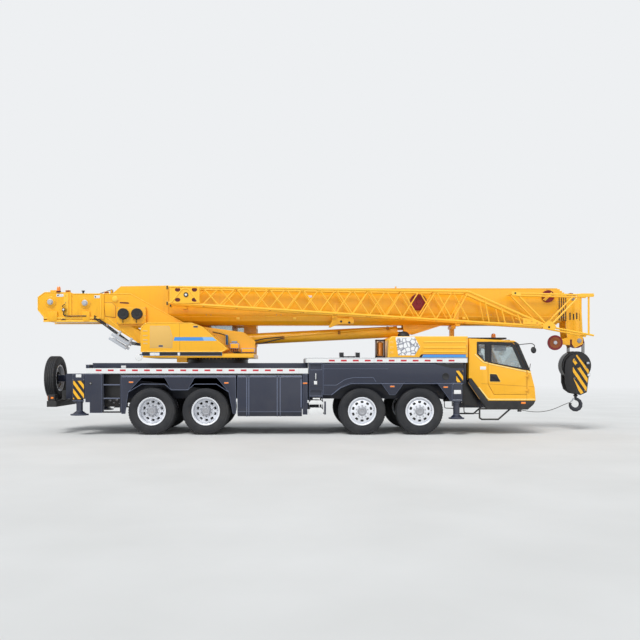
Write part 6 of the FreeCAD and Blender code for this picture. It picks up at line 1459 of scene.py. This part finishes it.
tail.turned([(0.026, 0), (0.026, 0.02), (0.018, 0.03)], (-6.688, -0.520, 3.228), (0, -1, 0), "white", 20)
tail.tube([(-6.688, -0.500, 3.190), (-6.700, -0.500, 3.080), (-6.600, -0.490, 3.060), (-6.100, -0.490, 3.065)], 0.014,
          "hose", 10)
tail.tube([(-6.690, -0.500, 3.270), (-6.740, -0.490, 3.330), (-6.660, -0.480, 3.380)], 0.010, "hose", 8)
tail.turned([(0.062, 0), (0.062, 0.030), (0.050, 0.038)], (-6.849, -0.418, 3.692), (0, 0, 1), "sheave_dark", 28)
tail.turned([(0.050, 0.036), (0.050, 0.110), (0.040, 0.145), (0.022, 0.160), (0.0, 0.164)],
            (-6.849, -0.418, 3.692), (0, 0, 1), "amber", 28)
for x, z, length in ((-7.070, 3.700, 0.150), (-6.940, 3.700, 0.060), (-6.670, 3.700, 0.130), (-5.640, 3.664, 0.120)):
    tail.block((x, -0.434, z), (x + length, -0.380, z + 0.055), "red_sheave" if x > -6.9 else "yellow", 0.010)
tail.turned([(0.030, 0), (0.024, 0.02), (0.024, 0.045), (0.044, 0.055), (0.044, 0.072), (0.0, 0.078)],
            (-6.199, -0.418, 3.668), (0, 0, 1), "black", 24)
for shift in (0.0, 0.034, 0.068):
    tail.tube([(-5.900, -0.454 - shift * 0.4, 3.075 - shift), (-5.640, -0.462, 2.900 - shift),
               (-4.960, -0.470, 2.390 - shift), (-4.520, -0.520, 2.300 - shift * 0.5)], 0.013, "hose", 10)
for k in range(3):
    x = -5.55 + 0.30 * k
    z = 2.845 - 0.225 * k
    tail.block((x - 0.022, -0.500, z - 0.055), (x + 0.022, -0.434, z + 0.020), "steel", 0.004)
tail.finish("tail_plate_dress", "turntable", "crane_yellow")
print("tail dressed on both plates")

# %% [markdown]
# Rope on a drum is a stack of turns, each lying in the groove beside the last. A turned profile of small
# half circles gives that for the price of one ring. The lead line to the boom's foot is taut.

# %% Winches and hose reels
ROPE_PITCH = 0.022
DRUM_HALF = 0.30
for name, x, z in (("aux", -7.055, 3.437), ("main", -6.142, 3.411)):
    drum = Kit()
    turns = [(0.0, -DRUM_HALF)]
    for k in range(round(2 * DRUM_HALF / ROPE_PITCH)):
        start = -DRUM_HALF + k * ROPE_PITCH
        turns += [(0.203, start), (0.211, start + ROPE_PITCH * 0.25), (0.2135, start + ROPE_PITCH * 0.5),
                  (0.211, start + ROPE_PITCH * 0.75)]
    turns += [(0.203, DRUM_HALF), (0.0, DRUM_HALF)]
    drum.turned(turns, (x, 0, z), (0, 1, 0), "rope", 48)
    drum.finish(f"{name}_winch_rope", body_of_node["winches"], "wire_rope")
lead = Kit()
lead.rod((-6.100, -0.060, 3.620), (-5.560, -0.060, 3.800), 0.010, "rope", 12)
lead.rod((-5.560, -0.060, 3.800), (-5.535, -0.060, 3.808), 0.010, "rope", 12)
lead.turned([(0.030, -0.018), (0.024, -0.006), (0.024, 0.006), (0.030, 0.018)], (-5.535, -0.060, 3.783), (0, 1, 0),
            "sheave_dark", 28)
lead.block((-5.560, -0.100, 3.690), (-5.500, -0.078, 3.800), "yellow", 0.004)
lead.block((-5.560, -0.042, 3.690), (-5.500, -0.020, 3.800), "yellow", 0.004)
lead.finish("hoist_rope_lead", "turntable", "wire_rope")

reels = Kit()
reels.block((-5.284, -0.526, 2.852), (-4.518, -0.436, 3.296), "yellow", 0.012)
for x in (-5.105, -4.747):
    spool = [(0.0, 0), (0.138, 0), (0.150, 0.012), (0.150, 0.026), (0.128, 0.030), (0.128, 0.052), (0.150, 0.056),
             (0.150, 0.070), (0.140, 0.079), (0.052, 0.074), (0.046, 0.080), (0.0, 0.080)]
    reels.turned(spool, (x, -0.526, 3.115), (0, -1, 0), "black", 12)
    for k in range(6):
        angle = math.tau * k / 6
        spot = Vector((x + 0.095 * math.cos(angle), -0.598, 3.115 + 0.095 * math.sin(angle)))
        reels.turned([(0.024, 0), (0.020, 0.004), (0.0, 0.004)], spot, (0, -1, 0), "trim", 16)
    reels.tube([(x - 0.02, -0.555, 2.975), (x - 0.02, -0.540, 2.900), (x - 0.005, -0.490, 2.846)], 0.009, "hose", 8)
reels.bolts([(x, -0.526, z) for x in (-5.262, -4.540) for z in (2.875, 3.074, 3.274)], (0, -1, 0), 0.010, "steel")
reels.finish("hose_reels_and_box", body_of_node["hose_reels"], "black_plastic", replaces=("hose_reels",))
print("turns on each drum:", round(2 * DRUM_HALF / ROPE_PITCH))

# %% [markdown]
# The cowl over the pumps has a stripe without words, a pale vent panel, a service seam drawn as a thin
# line of painted shade, and handles. A lighter yellow tube round its face and four small lighter bars are
# painted highlights. Below it runs a black skirt, and at the slewing ring a row of bolt heads in dark
# yellow as painted shade.

# %% Cowl and slewing ring
COWL_FACE = -1.275


def on_cowl(proud):
    return COWL_FACE + 0.001, COWL_FACE - proud


cowl = Kit()
cowl.plate(((-3.668, 2.378), (-2.900, 2.378), (-2.940, 2.470), (-3.640, 2.470)), "XZ", *on_cowl(0.002), "stripe_blue",
           edge=0)
cowl.plate(((-2.905, 2.378), (-2.552, 2.378), (-2.657, 2.470), (-2.945, 2.470)), "XZ", *on_cowl(0.0018), "stripe_pale",
           edge=0)
cowl.plate(((-4.263, 2.197), (-3.702, 2.197), (-3.690, 2.480), (-3.780, 2.753), (-4.263, 2.753)), "XZ", *on_cowl(0.003),
           "vent_panel", edge=0.002)
# painted shade: the service seam as a thin dark-yellow line
cowl.plate(rectangle(-3.519, -3.513, 2.100, 2.834), "XZ", *on_cowl(0.001), "yellow_dark", edge=0)
for x, z, width in ((-3.109, 2.734, 0.110), (-3.990, 2.245, 0.110)):
    cowl.plate(rectangle(x - width / 2, x + width / 2, z - 0.019, z + 0.019), "XZ", *on_cowl(0.010), "black", edge=0.004)
# painted highlight: four small bars in the lighter yellow
for z in (2.63, 2.51, 2.40, 2.31):
    cowl.plate(rectangle(-4.440, -4.330, z - 0.012, z + 0.012), "XZ", *on_cowl(0.006), "yellow_light", edge=0.004)
# painted highlight: a lighter yellow tube round the cowl's face
cowl.tube([(-4.488, COWL_FACE, 2.110), (-4.488, COWL_FACE, 2.722), (-4.364, COWL_FACE, 2.826), (-3.210, COWL_FACE, 2.826),
           (-2.956, COWL_FACE, 2.730), (-2.318, COWL_FACE, 2.170), (-2.440, COWL_FACE, 2.104), (-4.488, COWL_FACE, 2.104)],
          0.011, "yellow_light", 8, bend=0.12)
cowl.block((-4.470, -1.262, 2.003), (-2.440, -1.200, 2.090), "black", 0.006)
cowl.block((-4.270, -1.268, 1.998), (-4.020, -1.190, 2.086), "white", 0.006)
cowl.block((-3.565, -1.268, 2.000), (-3.505, -1.190, 2.086), "white", 0.004)
cowl.tube([(-4.450, -1.230, 2.040), (-4.540, -1.200, 2.030), (-4.560, -1.180, 1.980)], 0.012, "black", 8)
cowl.turned([(0.030, -0.05), (0.085, -0.01), (0.088, 0.0), (0.078, 0.010), (0.0, 0.014)], (-4.560, -1.200, 1.950),
            (0, -1, 0), "white", 32)
# painted shade: bolt heads in dark yellow
for k in range(54):
    angle = math.tau * k / 54
    out = Vector((math.cos(angle), math.sin(angle), 0))
    cowl.turned([(0.015, 0), (0.015, 0.014), (0.011, 0.018)], SLEW * 1.0 + out * 0.811 + Vector((0, 0, -0.022)), out,
                "yellow_dark", 6)
for x0, x1, z0, z1, key in ((-2.290, -2.060, 2.200, 2.340, "yellow"), (-2.250, -2.110, 2.340, 2.392, "steel"),
                            (-1.990, -1.640, 2.100, 2.210, "yellow"), (-2.405, -2.355, 2.300, 2.560, "black")):
    cowl.block((x0, -0.640, z0), (x1, -0.436, z1), key, 0.010)
for k in range(4):
    x = -2.260 + 0.055 * k
    cowl.tube([(x, -0.600, 2.200), (x, -0.640, 2.120), (x + 0.16, -0.620, 2.060), (x + 0.42, -0.500, 2.060)], 0.011,
              "hose", 8)
cowl.tube([(-2.380, -0.540, 2.540), (-2.560, -0.500, 2.600), (-2.760, -0.490, 2.640)], 0.014, "hose", 8)
cowl.finish("cowl_dress", "turntable", "crane_yellow")
print("bolt heads round the ring: 54")

# %% [markdown]
# Hydraulic hoses follow the lift cylinder in loose bows, beside a pipe in lighter yellow as painted
# highlight and clamps in dark yellow as painted shade. The boom's flat sides get a painted highlight
# along the top plate and along a lower ledge, a hose drum, pads in the lighter yellow, and black strips
# in the gaps between the nested sections as painted shade.

# %% Lift cylinder and boom
cylinder = Kit()
cylinder.tube([(-1.980, -0.178, 2.420), (-1.720, -0.190, 2.400), (-1.440, -0.180, 2.478), (-0.900, -0.170, 2.530)], 0.014,
              "hose", 10, bend=0.12)
cylinder.tube([(-1.900, -0.175, 2.380), (-1.560, -0.185, 2.330), (-1.250, -0.180, 2.410), (-0.900, -0.172, 2.490)], 0.014,
              "hose", 10, bend=0.12)
# painted highlight: a pipe in the lighter yellow
cylinder.tube([(-0.900, -0.168, 2.530), (2.050, -0.152, 2.790)], 0.012, "yellow_light", 10)
for x, z in ((-0.900, 2.515), (0.600, 2.655), (1.900, 2.775)):
    # painted shade: clamps in dark yellow
    cylinder.block((x - 0.03, -0.185, z - 0.05), (x + 0.03, -0.140, z + 0.035), "yellow_dark", 0.006)
cylinder.finish("lift_cylinder_hoses", "lift_barrel", "black_plastic")

BOOM_HALF = 0.380
boom = Kit()
for side, word in SIDES:
    face = side * BOOM_HALF
    # painted highlight: lighter yellow lines along the top plate and the lower ledge
    boom.tube([(-3.900, face, 3.800), (6.370, face, 3.800)], 0.009, "yellow_light", 8)
    boom.tube([(-3.900, face, 3.050), (6.370, face, 3.050)], 0.007, "yellow_light", 8)
    for x in (-2.1, -0.6, 0.9, 2.35, 3.9, 5.3):
        boom.plate(rectangle(x - 0.045, x + 0.045, 2.98, 3.04), "XZ", face, face + side * 0.010, "yellow_light",
                   edge=0.003)
boom.plate(rectangle(-0.245, -0.135, 3.560, 3.620), "XZ", -BOOM_HALF, -BOOM_HALF - 0.003, "white", edge=0.001)
boom.turned([(0.220, 0), (0.220, 0.050), (0.205, 0.056), (0.130, 0.056), (0.120, 0.045), (0.060, 0.045), (0.05, 0.06),
             (0.0, 0.06)], (2.680, -BOOM_HALF, 3.435), (0, -1, 0), "red_sheave", 48)
boom.turned([(0.1615, 0), (0.1615, 0.070), (0.150, 0.074), (0.136, 0.066), (0.050, 0.066), (0.044, 0.080), (0.0, 0.082)],
            (6.116, -BOOM_HALF, 3.590), (0, -1, 0), "red_sheave", 48)
boom.plate(((5.960, 3.500), (6.190, 3.700), (6.235, 3.660), (6.040, 3.465)), "XZ", -0.452, -0.462, "yellow_light",
           edge=0.003)
for x, z in ((0.629, 2.918), (0.842, 2.890)):
    boom.turned([(0.030, 0), (0.030, 0.004), (0.0, 0.004)], (x, -0.510, z), (0, -1, 0), "black", 20)
for x, z in ((-3.425, 3.812), (2.10, 3.812)):
    boom.turned([(0.030, 0), (0.020, 0.012), (0.016, 0.030), (0.030, 0.042), (0.0, 0.058)], (x, -0.300, z), (0, 0, 1),
                "yellow", 20)
for x in (-2.88, -1.02, 0.84, 2.70, 4.56):
    boom.bolts([(x + step, -BOOM_HALF, 3.10) for step in (-0.06, 0.06)], (0, -1, 0), 0.012, "steel")
boom.finish("boom_trim", "boom_base", "crane_yellow")
for number, x, half in ((2, 6.452, 0.362), (3, 6.527, 0.320), (4, 6.602, 0.278), (5, 6.672, 0.246)):
    gap = Kit()
    for side, word in SIDES:
        # painted shade: a black strip in the gap where the next section slides in
        gap.plate(rectangle(x - 0.030, x - 0.003, 2.950, 3.570), "XZ", side * (half - 0.001), side * (half + 0.002),
                  "black", edge=0)
        gap.bolts([(x - 0.052, side * half, z) for z in (3.05, 3.25, 3.45)], (0, side, 0), 0.010, "steel")
    if number == 5:
        for side, word in SIDES:
            face = side * 0.2455
            for sx, low, high in ((6.770, 2.980, 3.170), (6.862, 2.980, 3.140), (6.950, 3.000, 3.170), (7.040, 2.960, 3.150)):
                gap.plate(rectangle(sx - 0.017, sx + 0.017, low, high), "XZ", face, face + side * 0.003, "black", edge=0)
            gap.plate(rectangle(6.765, 6.820, 2.330, 2.455), "XZ", face, face + side * 0.003, "sheave_dark", edge=0)
            # painted highlight: a lighter yellow edge line round the head
            gap.tube([(6.668, face, 3.590), (7.052, face, 3.590), (7.102, face, 2.560), (7.102, face, 2.338),
                      (6.905, face, 2.242)], 0.010, "yellow_light", 8, bend=0.02)
            for x0, z0 in ((7.015, 2.420), (6.836, 3.560)):
                gap.turned([(0.062, 0), (0.062, 0.012), (0.045, 0.018), (0.0, 0.018)], (x0, face, z0), (0, side, 0),
                           "steel", 32)
        gap.turned([(0.150, 0), (0.150, 0.004), (0.060, 0.006), (0.060, 0.004), (0.0, 0.004)], (6.350, -0.315, 2.366),
                   (0, -1, 0), "rust_brown", 44)
        gap.turned([(0.052, 0.004), (0.048, 0.016), (0.020, 0.022), (0.0, 0.022)], (6.350, -0.315, 2.366), (0, -1, 0),
                   "galvanised", 28)
    gap.finish(f"boom_section_{number}_trim", f"boom_section_{number}", "crane_yellow")
print("boom sections trimmed")

# %% [markdown]
# The lattice jib is all round tube. Where it pins to the boom it has flat gussets with holes, and its chord
# ends have black caps. Lighter yellow tubes, rods and one gusset paint highlights, and dark-yellow blocks
# under the lower chord paint its shade.

# %% Jib fittings
JIB_NEAR = -1.052
jib = Kit()
CORNER_HOLES = ((-3.597, 3.694), (-3.167, 3.694), (-3.597, 3.436), (-3.167, 3.436))
holed(jib, rectangle(-3.793, -3.045, 3.352, 3.742),
      [[(x + 0.070 * math.cos(math.tau * k / 24), z + 0.052 * math.sin(math.tau * k / 24)) for k in range(24)]
       for x, z in CORNER_HOLES], "XZ", JIB_NEAR, JIB_NEAR - 0.010, "jib_yellow", 0)
jib.plate(rectangle(-3.780, -3.060, 3.365, 3.730), "XZ", JIB_NEAR + 0.014, JIB_NEAR + 0.002, "sheave_dark", edge=0)
jib.turned([(0.060, 0), (0.060, 0.014), (0.034, 0.016), (0.030, 0.006), (0.0, 0.006)], (-3.383, JIB_NEAR - 0.010, 3.566),
           (0, -1, 0), "black", 32)
jib.turned([(0.030, 0.010), (0.030, 0.018), (0.0, 0.018)], (-3.383, JIB_NEAR - 0.010, 3.566), (0, -1, 0), "white", 24)
# painted highlight: braces and edge rods in the lighter yellow
jib.tube([(-3.760, JIB_NEAR - 0.012, 3.370), (-3.470, JIB_NEAR - 0.012, 3.725), (-3.330, JIB_NEAR - 0.012, 3.725),
          (-3.060, JIB_NEAR - 0.012, 3.370)], 0.017, "yellow_light", 10, bend=0.04)
for x in (-3.785, -3.050):
    jib.rod((x, JIB_NEAR - 0.006, 3.345), (x, JIB_NEAR - 0.006, 3.750), 0.016, "yellow_light", 12)
for z in (3.771, 3.363):
    for y in (-1.020, -0.520):
        jib.block((-3.896, y - 0.038, z - 0.070), (-3.836, y + 0.038, z + 0.036), "black", 0.010)
GUSSET = ((5.250, 2.815), (5.720, 2.790), (5.720, 2.855), (5.330, 2.965), (5.250, 2.975))
holed(jib, GUSSET, [ring_of(x, z, 0.022) for x, z in ((5.330, 2.895), (5.470, 2.865), (5.610, 2.835))], "XZ", JIB_NEAR,
      JIB_NEAR - 0.008, "jib_yellow", 0)
TIP_GUSSET = ((5.760, 2.690), (6.060, 2.680), (6.100, 2.760), (5.980, 2.880), (5.880, 2.900), (5.760, 2.800))
holed(jib, TIP_GUSSET, [ring_of(5.913, 2.735, 0.030)], "XZ", JIB_NEAR, JIB_NEAR - 0.012, "jib_yellow", 0)
ROOT_GUSSET = ((4.960, 3.560), (5.180, 3.530), (5.200, 3.620), (5.060, 3.655), (4.960, 3.650))
holed(jib, ROOT_GUSSET, [ring_of(5.050, 3.606, 0.026)], "XZ", JIB_NEAR, JIB_NEAR - 0.010, "yellow_light", 0)
HEAD_GUSSET = ((6.640, 3.500), (7.060, 3.510), (7.060, 3.600), (6.780, 3.600), (6.640, 3.590))
jib.plate(HEAD_GUSSET, "XZ", JIB_NEAR, JIB_NEAR - 0.008, "jib_yellow", edge=0.002)
for x, z in ((5.913, 2.735), (5.050, 3.606)):
    jib.turned([(0.028, 0), (0.028, 0.004), (0.0, 0.004)], (x, JIB_NEAR, z), (0, -1, 0), "black", 20)
# painted shade: dark-yellow blocks under the lower chord
for x in (-2.94, -2.09, -1.23, -0.38, 0.47, 1.33, 2.19, 3.04):
    z = 3.363 - 0.0624 * (x + 3.84)
    jib.block((x - 0.030, -1.045, z - 0.048), (x + 0.030, -0.995, z - 0.026), "yellow_dark", 0.004)
jib.finish("jib_plates", "boom_base", "crane_yellow")
braces = Kit()
BAY_HALF = 0.4278
for k in range(2, 18):
    ends = []
    for step in (k, k + 1):
        x = -3.820 + BAY_HALF * step
        ends.append((x, -1.020, 3.771 - 0.016 * (x + 3.84) if step % 2 else 3.363 - 0.0624 * (x + 3.84)))
    braces.rod(ends[0], ends[1], 0.016, "jib_yellow", 12)
braces.finish("jib_cross_braces", "boom_base", "crane_yellow")
print("jib plates and caps done")

# %% [markdown]
# The hook block's cheeks carry wide warning stripes. The hook is forged: thick at the bottom where it
# carries the load, thin at the point, with a sprung latch across the throat. It hangs with its throat to
# the rear, where the tie rope's loop holds it.

# %% Hook block and hook
CHEEK = ((6.985, 2.083), (7.330, 1.640), (7.260, 1.040), (7.080, 0.960), (6.870, 1.450), (6.870, 1.930))
GUARD = ((6.990, 2.080), (6.820, 2.030), (6.700, 1.900), (6.665, 1.700), (6.675, 1.300), (6.730, 1.120), (6.860, 1.020),
         (7.080, 0.965), (6.990, 1.500))
block = Kit()
for side, word in SIDES:
    low, high = side * 0.149, side * 0.1535
    block.plate(CHEEK, "XZ", low, side * 0.1515, "black_paint", edge=0)
    inner = [(7.05 + (x - 7.05) * 0.93, 1.52 + (z - 1.52) * 0.95) for x, z in CHEEK]
    slanted_stripes(block, inner, -1.48, 0.276, 12.05, (side * 0.151, high), "hazard_yellow")
    block.bolts([(x, side * 0.152, z) for x, z in ((6.93, 1.90), (7.24, 1.70), (7.19, 1.08), (6.93, 1.42))], (0, side, 0),
                0.016, "steel")
    block.turned([(0.034, 0), (0.034, 0.006), (0.024, 0.010), (0.0, 0.010)], (7.015, side * 0.1535, 1.757),
                 (0, side, 0), "steel", 28)
    block.plate(GUARD, "XZ", side * 0.125, side * 0.147, "black_paint", edge=0.005)
block.block((6.860, -0.075, 2.000), (6.990, 0.075, 2.140), "galvanised", 0.014)
block.rod((6.925, -0.090, 2.070), (6.925, 0.090, 2.070), 0.022, "steel", 20)
block.block((7.250, -0.140, 1.790), (7.330, -0.156, 1.860), "galvanised", 0.006)
block.block((7.270, -0.120, 1.470), (7.352, -0.156, 1.540), "white", 0.006)
guard_path = [(6.985 + 0.395 * math.cos(math.radians(a)), 1.757 + 0.395 * math.sin(math.radians(a)))
              for a in range(100, 262, 9)]
for start, end in zip(guard_path, guard_path[1:]):
    block.solid([[(start[0], -0.130, start[1]), (start[0], 0.130, start[1]), (start[0] * 0.998 + 0.014, 0.130, start[1]),
                  (start[0] * 0.998 + 0.014, -0.130, start[1])],
                 [(end[0], -0.130, end[1]), (end[0], 0.130, end[1]), (end[0] * 0.998 + 0.014, 0.130, end[1]),
                  (end[0] * 0.998 + 0.014, -0.130, end[1])]], "black_paint")
block.finish("hook_block_dress", "hook_block", "crane_yellow")

HOOK_CENTRE = (7.015, 0.703)
forging = Kit()
HOOK_LINE = ((90, 0.150, 0.040), (70, 0.150, 0.042), (40, 0.146, 0.046), (10, 0.140, 0.051), (-20, 0.137, 0.054),
             (-50, 0.136, 0.056), (-80, 0.136, 0.056), (-110, 0.137, 0.055), (-140, 0.140, 0.050), (-165, 0.146, 0.042),
             (-182, 0.151, 0.033), (-194, 0.157, 0.022), (-201, 0.162, 0.012))
rings = []
for angle, reach, thick in HOOK_LINE:
    turn = math.radians(angle)
    out = Vector((math.cos(turn), 0, math.sin(turn)))
    centre = Vector((HOOK_CENTRE[0], 0, HOOK_CENTRE[1])) + out * reach
    rings.append([centre + out * thick * math.cos(math.tau * k / 20)
                  + Vector((0, 1, 0)) * thick * 0.92 * math.sin(math.tau * k / 20) for k in range(20)])
forging.solid(rings, "forged_grey")
forging.turned([(0.034, 0.0), (0.036, 0.05), (0.036, 0.10), (0.048, 0.115), (0.048, 0.13), (0.036, 0.14), (0.036, 0.24)],
               (7.015, 0, 0.833), (0, 0, 1), "forged_grey", 28)
forging.turned([(0.062, 0), (0.062, 0.030), (0.054, 0.040), (0.036, 0.040)], (7.015, 0, 0.930), (0, 0, 1), "forged_grey", 6)
forging.plate(((6.990, 0.880), (6.975, 0.850), (6.868, 0.742), (6.852, 0.752), (6.955, 0.880)), "XZ", -0.018, 0.018,
              "galvanised", 0.003)
forging.finish("forged_hook", body_of_node["hook"], "black_plastic", smooth=60, replaces=("hook",))
loops = Kit()
loops.turned([(0.044 + 0.008 * math.cos(math.tau * k / 8), 0.008 * math.sin(math.tau * k / 8)) for k in range(8)],
             (6.866, 0, 0.738), (0.25, 0, 1), "rope", 28, closed=True)
loops.finish("tie_rope_hook_loop", body_of_node["hook"], "wire_rope")
loops = Kit()
loops.turned([(0.030 + 0.008 * math.cos(math.tau * k / 8), 0.008 * math.sin(math.tau * k / 8)) for k in range(8)],
             (5.372, -0.450, 0.580), (0, 0.4, 1), "rope", 28, closed=True)
loops.finish("tie_rope_lug_loop", "carrier", "wire_rope")
print("hook point", len(HOOK_LINE), "sections")

# %% [markdown]
# The stage is a pale concrete yard that fades into a pale sky, with one wide soft light from
# above the camera's left shoulder, as under thin cloud. The floor only catches the shadow.

# %% Stage and light
def floor_material():
    material = bpy.data.materials.new("yard concrete")
    material.use_nodes = True
    tree = material.node_tree
    shader = tree.nodes["Principled BSDF"]
    place = put(tree, "ShaderNodeTexCoord").outputs["Object"]
    cloud = put(tree, "ShaderNodeTexNoise", {"Vector": place, "Scale": 0.5, "Detail": 8.0}).outputs["Fac"]
    ramp = put(tree, "ShaderNodeMix", {0: cloud, 6: linear(206, 206, 203), 7: linear(226, 226, 224)},
               data_type="RGBA").outputs[2]
    tree.links.new(ramp, shader.inputs["Base Color"])
    shader.inputs["Roughness"].default_value = 0.85
    away = put(tree, "ShaderNodeVectorMath", {0: place}, operation="LENGTH").outputs["Value"]
    fade = put(tree, "ShaderNodeMapRange", {"Value": away, "From Min": FADE_START, "From Max": FADE_END})
    glow = put(tree, "ShaderNodeEmission", {"Color": linear(*SKY), "Strength": 1.0})
    mixed = put(tree, "ShaderNodeMixShader", {0: fade.outputs[0], 1: shader.outputs[0], 2: glow.outputs[0]})
    tree.links.new(mixed.outputs[0], tree.nodes["Material Output"].inputs["Surface"])
    return material


SKY = (238, 240, 242)
FADE_START, FADE_END = 14.0, 60.0
FLOOR_HALF = 120.0
floor_mesh = bpy.data.meshes.new("floor")
floor_mesh.from_pydata([(-FLOOR_HALF, -FLOOR_HALF, 0), (FLOOR_HALF, -FLOOR_HALF, 0),
                        (FLOOR_HALF, FLOOR_HALF, 0), (-FLOOR_HALF, FLOOR_HALF, 0)], [], [(0, 1, 2, 3)])
floor_mesh.materials.append(floor_material())
floor = bpy.data.objects.new("floor", floor_mesh)
bpy.context.scene.collection.objects.link(floor)


def studio_world():
    """A pale sky that the camera, gloss and glass see, over an even dim fill."""
    world = bpy.data.worlds.new("pale sky")
    world.use_nodes = True
    tree = world.node_tree
    fill = tree.nodes["Background"]
    fill.inputs["Color"].default_value = linear(226, 232, 240)
    fill.inputs["Strength"].default_value = 0.62
    seen = put(tree, "ShaderNodeBackground", {"Color": linear(*SKY), "Strength": 1.0})
    path = put(tree, "ShaderNodeLightPath").outputs
    some = put(tree, "ShaderNodeMath", {0: path["Is Camera Ray"], 1: path["Is Glossy Ray"]}, operation="MAXIMUM")
    more = put(tree, "ShaderNodeMath", {0: some.outputs[0], 1: path["Is Transmission Ray"]}, operation="MAXIMUM")
    mixed = put(tree, "ShaderNodeMixShader", {0: more.outputs[0], 1: fill.outputs[0], 2: seen.outputs[0]})
    tree.links.new(mixed.outputs[0], tree.nodes["World Output"].inputs["Surface"])
    bpy.context.scene.world = world


def sun(name, direction, strength, width):
    data = bpy.data.lights.new(name, "SUN")
    data.energy = strength
    data.angle = math.radians(width)
    lamp = bpy.data.objects.new(name, data)
    lamp.rotation_euler = Vector(direction).to_track_quat("-Z", "Y").to_euler()
    bpy.context.scene.collection.objects.link(lamp)


studio_world()
sun("key", (0.35, 0.62, -1.0), 2.1, 25)
sun("fill", (-0.5, 0.9, -0.25), 0.5, 60)
print("stage set")
